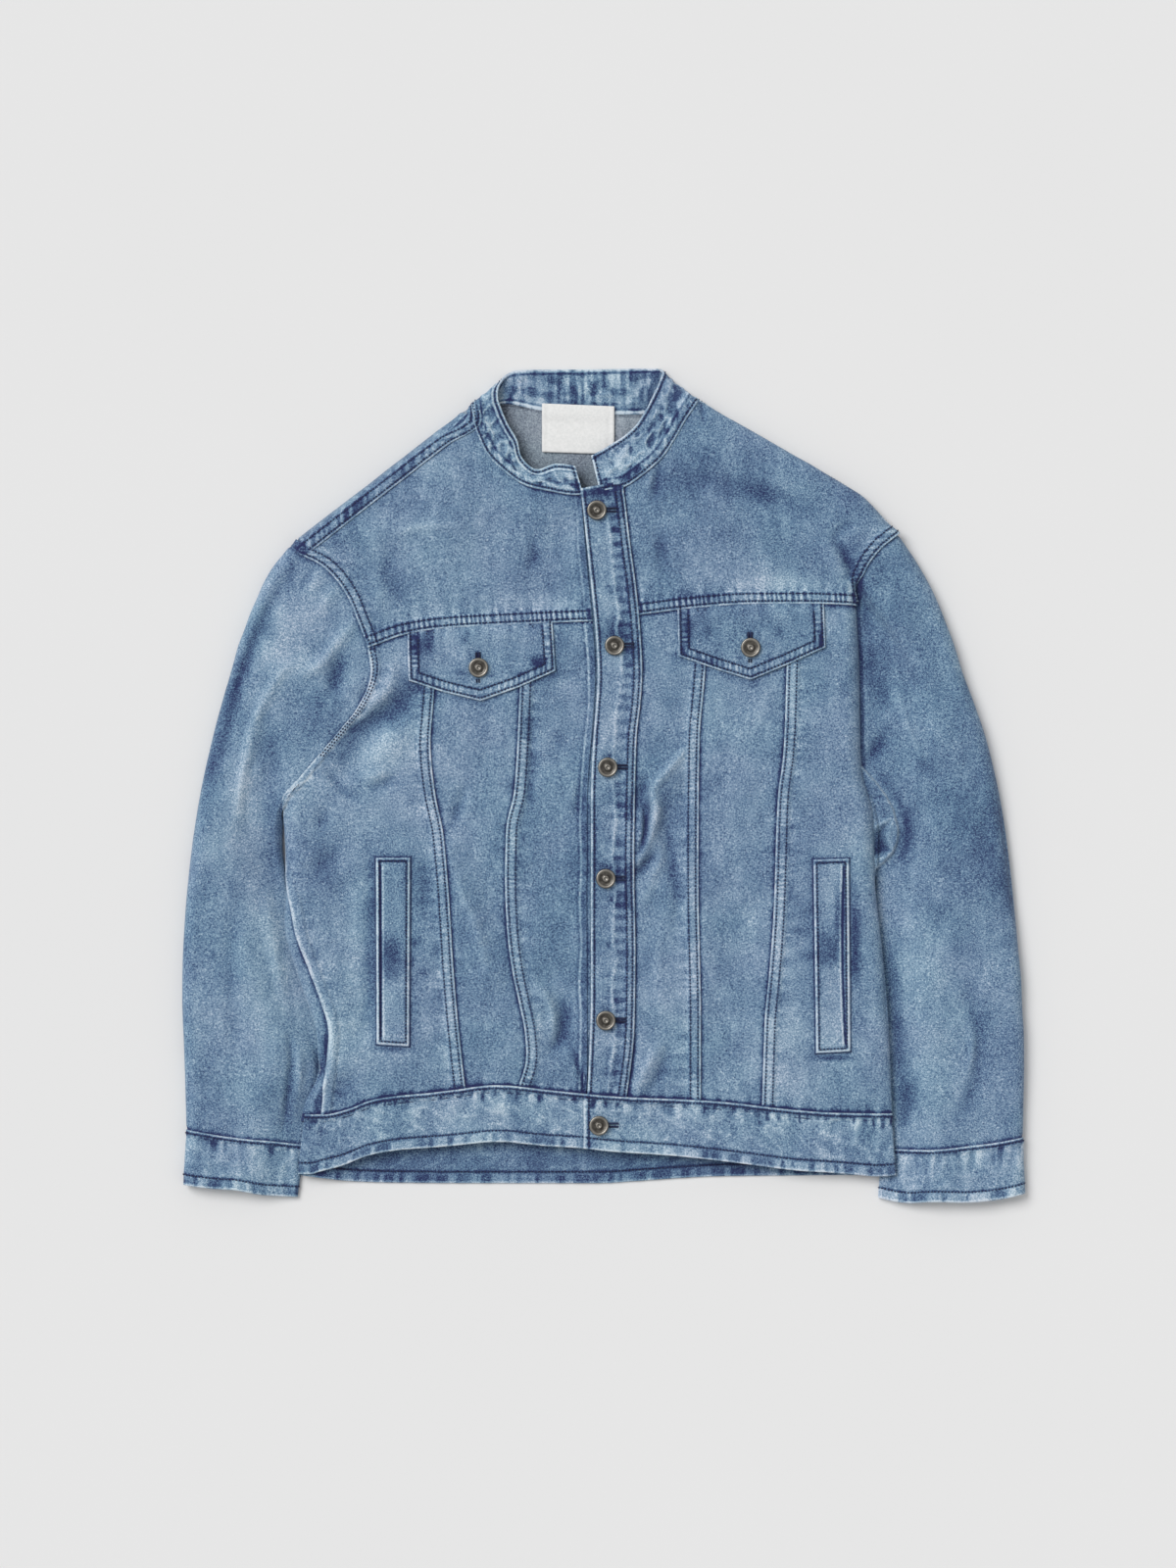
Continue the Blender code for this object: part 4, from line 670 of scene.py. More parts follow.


# Creases and patches on the side that shows, and creases of the under side. A crease's tone is painted shade
# in its hollow and painted light on its ridge, and a few dark creases are painted shadows: of the body on the
# right sleeve, and round the right underarm fold. The patches are faded and darker cloth, and the firm dark
# ones along the welts' right and lower edges are painted shadow.
CREASES = (
    # width, rise, tone on it (painted light above nought, painted shade below), places along it
    (9, -2.6, -0.84, (
        (-262, 196), (-280, 171), (-300, 132), (-316, 92), (-327, 54), (-339, 13), (-344, -22),
    )),
    (8, 1.4, 0.16, ((-279, 190), (-309, 135), (-329, 67), (-345, 18))),
    (5, 2.2, 0.57, ((-214, 143), (-231, 122), (-244, 105), (-260, 96))),
    (6, 2.2, 0.51, ((-262, 104), (-275, 101), (-288, 82), (-300, 59), (-306, 35), (-313, 5), (-319, -35))),
    (6, -2.6, -0.75, ((-226, 112), (-231, 95), (-234, 78))),
    (12, -1.4, -0.41, ((-290, 50), (-287, 0), (-283, -50), (-286, -90))),
    (5, -1.2, -0.45, ((-203, 88), (-207, 80), (-212, 72))),
    (5, 1.0, 0.41, ((-243, 190), (-249, 178), (-256, 165))),
    (4, -0.7, -0.38, ((-249, 188), (-256, 178), (-263, 170))),
    (5, 1.0, 0.35, ((-229, 175), (-238, 160), (-246, 148))),
    (6, 1.6, 0.45, ((-186, 108), (-182, 97), (-189, 80), (-203, 68))),
    (10, -2.6, -0.72, ((-160, 86), (-170, 76), (-183, 64), (-202, 54), (-218, 38), (-224, 26))),
    (12, 1.4, 0.30, ((-172, 50), (-189, 34), (-204, 16))),
    (4, -1.4, -0.38, ((-241, 18), (-232, 6), (-222, -6), (-210, -14))),
    (3, 0.8, 0.28, ((-236, 20), (-226, 6), (-214, -3))),
    (6, -1.4, -0.40, ((-203, -3), (-191, 0), (-178, 6))),
    (5, 1.0, 0.30, ((-206, 6), (-196, 9), (-186, 13))),
    (6, -1.2, -0.43, ((-240, -18), (-243, -28), (-247, -38))),
    (9, -1.3, -0.38, ((-228, -54), (-240, -66), (-256, -82))),
    (6, -1.5, -0.40, ((-203, -45), (-201, -88), (-201, -149), (-203, -212))),
    (5, -0.9, -0.32, ((-156, -60), (-154, -85), (-155, -112))),
    (5, -1.4, -0.38, ((-119, 2), (-123, -14), (-131, -34))),
    (5, 1.4, 0.32, ((-133, -58), (-121, -98), (-112, -116), (-101, -160))),
    (4, -1.9, -0.50, ((-272, -215), (-269, -238), (-272, -266), (-277, -299))),
    (5, 1.4, 0.41, ((-265, -225), (-264, -245), (-267, -270))),
    (6, 1.2, 0.30, ((-292, -90), (-288, -130), (-276, -185))),
    (9, -1.2, -0.30, ((-318, -90), (-322, -160), (-318, -240))),
    (5, -1.8, -0.61, ((-241, -212), (-241, -232), (-243, -256))),
    (3, 1.2, 0.51, ((-235, -198), (-234, -222), (-238, -250), (-250, -272))),
    (3, -0.8, -0.48, ((-255, -214), (-248, -234), (-247, -248), (-253, -268))),
    (9, -1.6, -0.42, ((-219, -248), (-225, -260), (-232, -274))),
    (5, -1.0, -0.40, ((-65, 66), (-62, 40), (-62, 16), (-65, -34))),
    (9, -1.0, -0.26, ((-46, 44), (-38, 38), (-30, 34))),
    (5, -1.2, -0.48, ((-19, 6), (-20, -8), (-22, -28))),
    (6, -2.4, -0.62, ((-37, -182), (-34, -200), (-36, -216), (-45, -230))),
    (5, 1.6, 0.40, ((-62, -164), (-50, -184), (-44, -200), (-44, -220))),
    (3, -1.2, -0.90, ((-27, -228), (-21, -244), (-17.5, -258), (-16, -272))),
    (2.5, -0.8, -0.60, ((27.5, -216), (25, -240), (22.5, -256), (21, -272))),
    (4, 2.4, 0.60, ((74, 36), (57, 15), (43, -3), (45, -22), (40, -40), (30, -63))),
    (3, -3.2, -1.25, ((36, -16), (36, -38), (30, -60))),
    (5, -1.8, -0.45, ((36, 8), (32, -10), (36, -24))),
    (4, -2.0, -0.70, ((44, -60), (36, -69), (28, -77))),
    (5, 1.4, 0.35, ((45, -46), (49, -61), (40, -84), (32, -104))),
    (6, -1.6, -0.45, ((54, -6), (56, -43), (59, -67), (64, -100), (63, -130))),
    (8, 0.8, 0.18, ((50, -110), (46, -150), (50, -200))),
    (5, 1.2, 0.34, ((45, -228), (36, -245), (28, -264))),
    (5, -1.2, -0.30, ((56, -226), (50, -246), (40, -266))),
    (10, -1.4, -0.44, ((52, 263), (85, 265), (114, 259), (144, 250), (182, 237))),
    (5, -1.4, -0.45, ((49, 278), (45, 262), (43, 246))),
    (3, 1.0, 0.35, ((42, 270), (40, 260), (39, 250))),
    (3, -1.0, -0.55, ((83, 333), (85, 324), (86, 314))),
    (5, -2.1, -0.68, ((200, 213), (209, 198), (217, 181), (223, 162))),
    (4, -0.8, -0.26, ((199, 211), (205, 221), (218, 227))),
    (8, 1.4, 0.26, ((190, 216), (198, 196), (206, 176))),
    (5, -1.0, -0.34, ((48, 222), (50, 200), (51, 180))),
    (5, -1.0, -0.34, ((-60, 218), (-60, 200), (-66, 184))),
    (8, -1.0, -0.26, ((-182, 205), (-186, 186), (-178, 165))),
    (3, 0.7, 0.42, ((-184, 217), (-157, 224), (-123, 225))),
    (7, -0.8, -0.26, ((-132, 282), (-110, 275), (-90, 274))),
    (6, -0.7, -0.24, ((-180, 268), (-166, 266), (-152, 262))),
    (8, 1.0, 0.30, ((-196, 182), (-194, 165), (-192, 148))),
    (8, -1.3, -0.39, ((228, 158), (227, 142), (226, 124))),
    (12, -1.4, -0.41, ((229, 116), (237, 90), (243, 62))),
    (6, -2.0, -0.70, ((245, 44), (236, 32), (228, 20))),
    (3, 0.7, 0.28, ((250, 92), (258, 66), (266, 42), (276, 22))),
    (6, -0.7, -0.30, ((272, 26), (281, 15), (293, 5))),
    (6, -0.6, -0.23, ((264, 110), (268, 98), (273, 84))),
    (8, -0.8, -0.30, ((262, -20), (264, -45), (258, -75))),
    # painted shadow of the body on the right sleeve
    (8, -1.3, -0.59, ((246, -130), (250, -170), (255, -226), (258, -292))),
    (6, -1.0, -0.43, ((267, -248), (264, -270), (259, -296))),
    (7, -1.0, -0.31, ((313, -160), (323, -212), (325, -234), (317, -270), (304, -288))),
    (4, 0.9, 0.27, ((315, -196), (319, -225), (313, -258))),
    # painted shadow round the right underarm fold
    (4, -0.5, -0.42, (
        (227, 21), (238, 10), (251, -7), (259, -22), (262, -38), (261, -52), (254, -66), (244, -74),
    )),
    (22, 1.4, 0.16, ((300, 40), (312, -30), (318, -110))),
    (10, -1.2, -0.19, ((340, 20), (350, -60), (352, -130))),
)
PATCHES = (
    # x, y, reach across, reach along, tone
    (-150, 215, 70, 50, 0.14), (120, 235, 80, 55, -0.34), (235, 150, 26, 60, -0.20),
    (290, 120, 40, 70, -0.12), (320, -20, 50, 100, -0.56), (296, -200, 30, 100, 0.22),
    (-300, -60, 50, 110, 0.34), (-345, -120, 16, 160, -0.14), (-270, 140, 34, 50, 0.58),
    (-247, 59, 26, 24, -0.30), (-45, 60, 30, 100, -0.14), (-50, -60, 28, 110, -0.12),
    (-110, 20, 40, 120, 0.05), (-189, 32, 22, 20, 0.30), (-215, -110, 20, 60, 0.30),
    (-225, -230, 40, 50, 0.10), (-310, -220, 46, 80, 0.14), (55, 60, 30, 80, -0.10),
    (50, -160, 30, 90, 0.12), (120, -10, 45, 110, 0.05), (195, -20, 35, 120, 0.06),
    (112, -180, 34, 80, 0.02), (190, -220, 50, 40, 0.12), (-100, -220, 50, 36, 0.08),
    (150, 174, 40, 7, 0.40), (-64, 158, 44, 7, 0.34), (80, 162, 20, 6, -0.70),
    (-178, 138, 14, 6, -0.50), (-161, -135, 6, 4, -0.75), (-166, -153, 6, 4, -0.75),
    (-155, -161, 7, 4, -0.60), (-163, -168, 4, 5, -0.50), (-249, -147, 5, 4, -0.60),
    (-237, -175, 7, 6, -0.42), (-257, -111, 3, 3, -0.40), (177, -107, 9, 3, -0.45),
    # the last three patches are painted shadows beside the welts' right and lower edges
    (170, -126, 8, 4, -0.50), (176, -147, 9, 5, -0.75), (217.5, -135, 4.0, 36, -1.1),
    (197, -235.5, 16, 2.4, -1.2), (-182, -228, 14, 2.2, -0.9),
)
UNDERSIDE = (
    # width, depth, tone in it (painted shade below nought, painted light above), places along it
    (9, 2.6, -0.55, ((-262, 190), (-284, 150), (-304, 96), (-316, 40))),
    (7, -1.4, 0.40, ((-248, 168), (-268, 128), (-286, 80), (-296, 34))),
    (7, 2.2, -0.50, ((-214, 96), (-236, 70), (-262, 44), (-286, 26))),
    (5, 1.8, -0.45, ((-236, 18), (-262, 2), (-290, -8))),
    (8, 2.0, -0.45, ((-300, -60), (-296, -120), (-284, -190))),
    (6, 1.6, -0.40, ((-258, -226), (-262, -262), (-256, -300))),
    (9, 2.4, -0.50, ((222, 176), (240, 138), (252, 92), (262, 40))),
    (6, 1.8, -0.45, ((236, 60), (256, 36), (286, 20), (312, 12))),
    (7, -1.2, 0.36, ((250, 160), (270, 110), (284, 60))),
    (8, 2.0, -0.45, ((300, -40), (306, -110), (300, -180))),
    (6, 1.6, -0.40, ((330, -200), (322, -246), (304, -286))),
    (10, 2.0, -0.42, ((-196, 84), (-160, 66), (-118, 58))),
    (7, 1.8, -0.40, ((-204, 44), (-170, 20), (-140, -14))),
    (9, 2.0, -0.42, ((206, 70), (170, 56), (126, 52))),
    (7, 1.6, -0.38, ((214, 22), (184, 0), (158, -34))),
    (12, 1.6, -0.32, ((-120, 250), (-40, 262), (60, 258), (130, 244))),
    (8, 1.6, -0.35, ((-150, -120), (-146, -190), (-154, -262))),
    (6, 1.5, -0.38, ((-70, -196), (-64, -240), (-68, -284))),
    (7, 1.4, -0.32, ((18, -150), (24, -210), (16, -276))),
    (6, 1.6, -0.38, ((96, -210), (90, -250), (94, -288))),
    (8, 1.6, -0.34, ((160, -110), (168, -180), (160, -256))),
    (14, -1.0, 0.26, ((-60, 120), (-30, 20), (-50, -90))),
    (14, -1.0, 0.24, ((70, 150), (90, 60), (80, -60))),
)
SWELLS = ((0.8, 46, 60, 1), (0.45, 20, 24, 2), (0.14, 8, 9, 3))  # rise, across, along, seed
FADES = ((0.18, 52, 70, 4), (0.15, 22, 28, 2), (0.12, 9, 12, 6))  # tone, across, along, seed
UNDERSIDE_AWAY = 1400  # the under side takes its swells from this far off
CREASE_DEPTH = 1.5
# how strongly painted light shows on crease ridges, and painted shade in crease hollows
CREASE_LIGHT, CREASE_SHADE = 1.1, 1.35


def beside(x, y, run):
    """The distance from a smooth line through places, and the share of its length there."""
    run = np.asarray(run, float)
    keys = np.arange(len(run), dtype=float)
    run = through(run, keys, np.linspace(0, len(run) - 1, 6 * len(run) - 5)) if len(run) > 2 else run
    lengths = np.linalg.norm(np.diff(run, axis=0), axis=1)
    starts = np.concatenate([[0], np.cumsum(lengths)])
    apart, at = np.full(x.shape, 1e9), np.zeros(x.shape)
    for (ax, ay), (bx, by), start, length in zip(run, run[1:], starts, lengths):
        t = np.clip(((x - ax) * (bx - ax) + (y - ay) * (by - ay)) / length**2, 0, 1)
        found = np.hypot(x - ax - t * (bx - ax), y - ay - t * (by - ay))
        at = np.where(found < apart, start + t * length, at)
        apart = np.minimum(found, apart)
    return apart, at / starts[-1]


def add_stains_and_shade(tone, x, y, patches, power=2, hold=1):
    """The tone with soft patches added, of stains and of painted shadow; of higher powers, with firmer
    borders.
    """
    for px, py, across, along, shade in patches:
        spot = np.exp(-(((x - px) / across) ** power + ((y - py) / along) ** power))
        tone = tone + shade * spot * hold
    return tone


def worn_and_shaded(x, y, creases=CREASES, patches=PATCHES, away=0):
    """Relief and tone of plain cloth: soft swells and fades, creases with painted shade and light on them,
    and patches of fading and of painted shadow.
    """
    u = x + away
    relief, tone = (
        sum(amount * swell(u / across, y / along, seed) for amount, across, along, seed in table)
        for table in (SWELLS, FADES)
    )
    for width, rise, shade, run in creases:
        lows, highs = np.min(run, 0) - 3 * width, np.max(run, 0) + 3 * width
        near = (x > lows[0]) & (x < highs[0]) & (y > lows[1]) & (y < highs[1])
        if not near.any():
            continue
        px, py = x[near], y[near]
        apart, share = beside(px, py, run)
        uneven = 1 + 0.3 * swell(px / 15, py / 15, 8)
        fade = np.sin(math.pi * (0.04 + 0.92 * share)) ** 0.7
        contrast = (CREASE_LIGHT if shade > 0 else CREASE_SHADE) * shade
        relief[near] += CREASE_DEPTH * rise * fade * bump(apart, width * uneven)
        tone[near] += contrast * fade * bump(apart, 0.9 * width * uneven)
    return relief, add_stains_and_shade(tone, x, y, patches)


def quads(index):
    corners = (index[:-1, :-1], index[:-1, 1:], index[1:, 1:], index[1:, :-1])
    return np.stack([corner.reshape(-1) for corner in corners], 1)


def strip_faces(line, other, turn):
    made = np.stack([line[:-1], other[:-1], other[1:], line[1:]], 1)
    return made if turn > 0 else made[:, ::-1]


def mesh_object(name, points, faces, material):
    mesh = bpy.data.meshes.new(name)
    mesh.from_pydata((points * MM).tolist(), [], faces.tolist())
    mesh.shade_smooth()
    mesh.materials.append(material)
    piece = bpy.data.objects.new(name, mesh)
    bpy.context.scene.collection.objects.link(piece)
    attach(piece, "root")
    return piece


def give_tone(piece, tones):
    """Keeps the tone of each point, its wear and painted shade, which the finish reads."""
    wear = piece.data.attributes.new("tone", "FLOAT", "POINT")
    wear.data.foreach_set("value", tones.astype(np.float32))


def shell(name, outer, inner, tone, materials, closed=False, lip=0, inner_tone=None):
    """A piece of cloth: its outside, its border's thickness and its inside, or a lip of it."""
    rows, columns = outer.shape[:2]
    index = np.arange(rows * columns).reshape(rows, columns)
    if closed:
        index = np.concatenate([index, index[:, :1]], 1)
    points, tones, faces = [outer.reshape(-1, 3)], [tone.reshape(-1)], [quads(index)]
    inside = 0
    if lip:
        count = rows * columns
        borders = [(0, lip, 1, 0), (-1, -1 - lip, -1, 0)]
        if not closed:
            borders += [(0, lip, -1, 1), (-1, -1 - lip, 1, 1)]
        for border, back, turn, axis in borders:
            line = index.take(border, axis)
            size = outer.shape[1 - axis]
            first, second = count + np.arange(size), count + size + np.arange(size)
            if closed:
                first, second = np.append(first, first[0]), np.append(second, second[0])
            faces += [strip_faces(line, first, turn), strip_faces(first, second, turn)]
            points += [inner.take(border, axis), inner.take(back, axis)]
            # the cut edge and the lip inside are painted 0.3 darker, as shade inside the opening
            tones += [tone.take(border, axis) - 0.3, tone.take(back, axis) - 0.3]
            count += 2 * size
    else:
        beneath = index + rows * columns
        points.append(inner.reshape(-1, 3))
        tones.append((tone if inner_tone is None else inner_tone).reshape(-1))
        faces += [strip_faces(index[0], beneath[0], 1), strip_faces(index[-1], beneath[-1], -1)]
        if not closed:
            faces.append(strip_faces(index[:, 0], beneath[:, 0], -1))
            faces.append(strip_faces(index[:, -1], beneath[:, -1], 1))
        faces.append(quads(beneath)[:, ::-1])
        inside = len(faces[-1])
    piece = mesh_object(name, np.concatenate(points), np.concatenate(faces), materials[0])
    give_tone(piece, np.concatenate(tones))
    if inside and len(materials) > 1:
        piece.data.materials.append(materials[1])
        numbers = np.zeros(len(piece.data.polygons), np.int32)
        numbers[-inside:] = 1
        piece.data.polygons.foreach_set("material_index", numbers)
    return piece


def declare(places, closed=False):
    """Works out the width, length and area of the cloth that a sheet's grid takes, and returns nothing."""
    if closed:
        places = np.concatenate([places, places[:, :1]], 1)
    across, along = np.diff(places, axis=1), np.diff(places, axis=0)
    width = np.linalg.norm(across, axis=-1).sum(1).max()
    length = np.linalg.norm(along, axis=-1).sum(0).max()
    area = np.linalg.norm(np.cross(across[:-1], along[:, :-1]), axis=-1).sum()
    area = min(area, width * length) * MM * MM


sewn = {}  # name: outside places, directions, distances and borders of a piece


def sew(
    name, fine, size, places, normals, borders, seed, wear=None, materials=(denim,), lip=3,
    thickness=CLOTH, closed=False, on=(), behind=None, rests=("back_panel",), clear=0.02,
):
    """Makes a piece from its fine grid: lifts it by its folds and seams and gives it wear and painted shade
    to match.
    """
    seen = ease((normals[..., 2] + 0.1) / 0.5)
    x, y = places[..., 0], places[..., 1]
    rise, tone = worn_and_shaded(x, y)
    under_rise, under_tone = worn_and_shaded(x, y, UNDERSIDE, (), UNDERSIDE_AWAY)
    tone = tone * seen + under_tone * (1 - seen)
    seams = np.zeros_like(rise)
    hold = np.ones_like(rise)
    for k, (kind, _, options) in enumerate(borders):
        if kind is None:
            continue
        d = fine[..., size + k]
        more, shade = kind(d, y if k < 2 else x, seed + 7 * k, **options)
        tone = tone + shade
        if kind is covered:
            hidden = options["hidden"]
            hold = hold * ease((d - hidden + 4) / 5)
            seams = seams + more - 1.25 * (1 - ease((d - hidden + 1) / 4)) * (1 - seen)
        else:
            seams = seams + more * seen
    relief = rise * seen + seams * np.where(seams > 0, hold, 1)
    relief = relief - 0.5 * np.clip(under_rise, 0, None) * (1 - seen)
    if wear is not None:
        more, shade = wear(fine, places)
        relief, tone = relief + more * hold, tone + shade
    outer = places + normals * relief[..., None]
    if on:
        outer = lifted(outer, normals, on)
    outer[..., 2] = np.maximum(outer[..., 2], clear)
    inner = outer - normals * thickness
    inner_tone = None if behind is None else behind(fine, inner, tone)
    piece = shell(name + "_cloth", outer, inner, tone, materials, closed, lip, inner_tone)
    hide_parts(name)
    declare(places, closed=closed)
    sewn[name] = (outer, normals, fine[..., size : size + 4], borders)
    return piece


def body_piece(name, grid, side, borders, cells, seed, crowd=0.0, **finish):
    """A piece of the body between its seams, from the grid on which it is drawn."""
    fine = cut(grid, 2, [amount for _, amount, _ in borders], (13, 13, 13, 13), cells, crowd)
    if side == BACK:
        fine = fine[:, ::-1]
    plan = fine[..., :2]
    return sew(name, fine, 2, laid(plan, side), outward(plan, side), borders, seed, **finish)


# The back's wrong side lies in the shade of the collar's left part.
NECK_SHADE = ((-84, 332), (-88, 316), (-82, 300), (-72, 280), (-60, 268), (-44, 262), (-28, 266))


def inside_back(fine, inner, tone):
    apart, _ = beside(inner[..., 0], inner[..., 1], NECK_SHADE)
    return 0.5 * tone - 1.1 * np.exp(-apart / 15) + 0.3


AT_BACK = under(3, 4)
body_piece(
    "back_panel", back_grid, BACK,
    (AT_BACK, AT_BACK, AT_BACK, over(5.3, bars=1.2, indigo=0.5, period=7.0)), (170, 62), 21, crowd=-0.55,
    materials=(denim, wrong_side), lip=0, behind=inside_back, rests=(), clear=0.3,
)

# ---------------------------------------------------------------- sleeves
# Each sleeve is one piece of denim, set into the armhole. It lies pressed flat, full at its
# outer side and thin where the body lies on it.

YOKE_ROWS = 7
LEFT_ARMHOLE = (
    # x, y from the yoke seam down to the underarm, seen from above
    (-201.4, 125.4), (-197.2, 101.6), (-203.2, 79.5), (-217.6, 56.5), (-233.8, 37.8),
    (-256.0, 10.0), (-269.4, -6.0), (-277.1, -23.4),
)
LEFT_ARMHOLE_TOP = ((-250.8, 200.0), (-233.8, 186.6), (-219.3, 167.9), (-209.1, 144.7), (-201.4, 125.4))
RIGHT_ARMHOLE_TOP = ((253.3, 220.6), (237.2, 207.8), (226.0, 193.5), (219.8, 180.3), (218.8, 160.2))
SLEEVE_CELLS = 16
CUFF_CELLS = 3
TIP_CELLS = 2  # of the left armhole seam, past the shoulder's fold
TUCKED_FROM = 0.4  # share of the sleeve past which its inner side lies under the body
INSIDE_START = 1.5  # above 1, the rows of a sleeve start close together at the underarm
LEFT_SLEEVE_OUTSIDE = (
    # x, y from the shoulder to the cuff
    (-269.4, 210.4), (-278.8, 200.2), (-306, 146.6), (-324.7, 91.4), (-350.2, -12.3),
    (-361.2, -97.3), (-364.9, -173), (-362.9, -241), (-361.2, -300.5),
)
LEFT_SLEEVE_INSIDE = (
    # x, y from the underarm to the cuff, under the body from half way
    (-277.1, -23.4), (-277.8, -56), (-272, -95), (-265, -135), (-254, -170), (-240, -212.9),
    (-237.5, -245.2), (-250, -279), (-260, -314.1),
)
LEFT_CUFF_SEAM = ((-361.2, -300.5), (-335.8, -305.1), (-314.1, -308.1), (-290, -310.5), (-260, -314.1))
LEFT_CUFF_HEM = ((-364.2, -345.5), (-335.8, -348.9), (-319.6, -349.8), (-297.5, -354), (-264.5, -356.6))
RIGHT_SLEEVE_OUTSIDE = (
    (253.3, 220.6), (263.5, 205.3), (289.8, 157.7), (311.9, 94.8), (334.1, 28.5), (348.5, -43.8),
    (353.2, -83.7), (362.9, -202.7), (363.8, -246.1), (362.9, -307.3),
)
RIGHT_SLEEVE_INSIDE = (
    (223.5, 12.3), (231.0, -8), (237.5, -40), (236.5, -70), (232, -105), (231, -140), (236, -198),
    (237, -245), (240, -317.5),
)
RIGHT_CUFF_SEAM = ((362.9, -307.3), (334.9, -312.4), (313.6, -314.9), (291.6, -317.5), (240, -317.5))
RIGHT_CUFF_HEM = (
    (364.9, -353.2), (345.9, -357.4), (307.7, -360.8), (286.4, -360), (259.2, -361.3),
    (238, -357.4),
)
SLEEVE_CREST = Line(((0, 18.5), (0.3, 17.5), (0.7, 16), (1, 13.5)))
SLEEVE_SIDE = {"middle": 8.0, "top_radius": 12.0, "under_radius": 7.0}
TUCKED_SIDE = {"middle": 3.3, "top": 6.3, "top_radius": 4.0, "under_radius": 3.5, "swell": 48.0}


def drawn_on_top(points, side=FRONT):
    """Where places seen from above, on the top near a turned edge, are drawn."""
    points = np.array(points, float)
    found = points.copy()
    for edge in EDGES:
        away = points - edge.start
        along, inward = away @ edge.along, away @ edge.inward
        inset = inward - edge.bow(along)
        near = (inset < edge.top_radius) & (along > edge.reach[0]) & (along < edge.reach[1])
        moved = edge.opened(along, edge.from_inset(np.maximum(inset, 0)), side)
        found = np.where(near[..., None], moved, found)
    return found


def shifted(line, amount):
    """A line of points moved to its left by this much."""
    step = np.gradient(line, axis=0)
    step /= np.linalg.norm(step, axis=1, keepdims=True)
    return line + amount * np.stack([-step[:, 1], step[:, 0]], 1)


def quarter(distance, radius):
    """Rise of a quarter round, 0 at its edge and 1 past its radius."""
    left_over = 1 - np.clip(distance / radius, 0, 1)
    return np.sqrt(1 - left_over**2)


def distance_to(points, line):
    """From each point to the nearest place on a line of points."""
    start, step = line[:-1], np.diff(line, axis=0)
    away = points[..., None, :] - start
    share = np.clip((away * step).sum(-1) / (step**2).sum(-1), 0, 1)
    return np.linalg.norm(away - share[..., None] * step, axis=-1).min(-1)


def flat_tube_level(places, on_top, outside, inside, crest, tucked_in=1.0):
    """Height of a flattened tube: full at its outer side, thin where the body lies on it."""
    out, within = distance_to(places, outside), distance_to(places, inside)
    side, flat = SLEEVE_SIDE, TUCKED_SIDE
    full, round_side = (
        side["middle"] + (crest - side["middle"]) * quarter(away, side["top_radius"])
        for away in (out, within)
    )
    thin = flat["middle"] + (flat["top"] - flat["middle"]) * quarter(within, flat["top_radius"])
    thin = thin + (crest - flat["top"]) * ease((within - flat["top_radius"]) / flat["swell"])
    thin = thin * tucked_in + round_side * (1 - tucked_in)
    under = side["middle"] * (1 - quarter(out, side["under_radius"]))
    under_thin = flat["middle"] * (1 - quarter(within, flat["under_radius"]))
    return np.where(on_top, np.minimum(full, thin), np.maximum(under, under_thin))


def crowded(cells):
    """Shares across a flat tube, close together at both sides."""
    return (1 - np.cos(np.linspace(0, math.pi, cells + 1))) / 2


def evened(grid, rounds=800):
    """The grid with its inner places moved until its cells are smooth and none is folded over."""
    for _ in range(rounds):
        up = (grid[2:, 1:-1] - grid[:-2, 1:-1]) / 2
        along = (grid[1:-1, 2:] - grid[1:-1, :-2]) / 2
        turn = (grid[2:, 2:] - grid[:-2, 2:] - grid[2:, :-2] + grid[:-2, :-2]) / 4
        up_size, along_size = (up**2).sum(-1, keepdims=True), (along**2).sum(-1, keepdims=True)
        lean = (up * along).sum(-1, keepdims=True)
        beside = grid[1:-1, 2:] + grid[1:-1, :-2]
        before = grid[2:, 1:-1] + grid[:-2, 1:-1]
        found = up_size * beside + along_size * before - 2 * lean * turn
        grid[1:-1, 1:-1] = found / (2 * (up_size + along_size))
    return grid


def sleeve_plan(ring, cuff_seam, outside, inside, shares_at_cuff):
    """Rows across one side of a sleeve, seen from above, evened out between its four edges."""
    even = np.linspace(0, 1, 25)
    run = run_along(ring)
    shares_at_ring = run / run[-1]
    first = np.stack([np.interp(even, shares_at_ring, ring[:, k]) for k in (0, 1)], 1)
    grid = evened(patch(first, route(cuff_seam)(even), outside, inside))
    rows = []
    for row, s in zip(grid, np.linspace(0, 1, len(grid))):
        share = shares_at_ring + (shares_at_cuff - shares_at_ring) * ease(s / 0.6)
        rows.append(np.stack([np.interp(share, even, row[:, k]) for k in (0, 1)], 1))
    rows[0] = ring
    return np.array(rows)


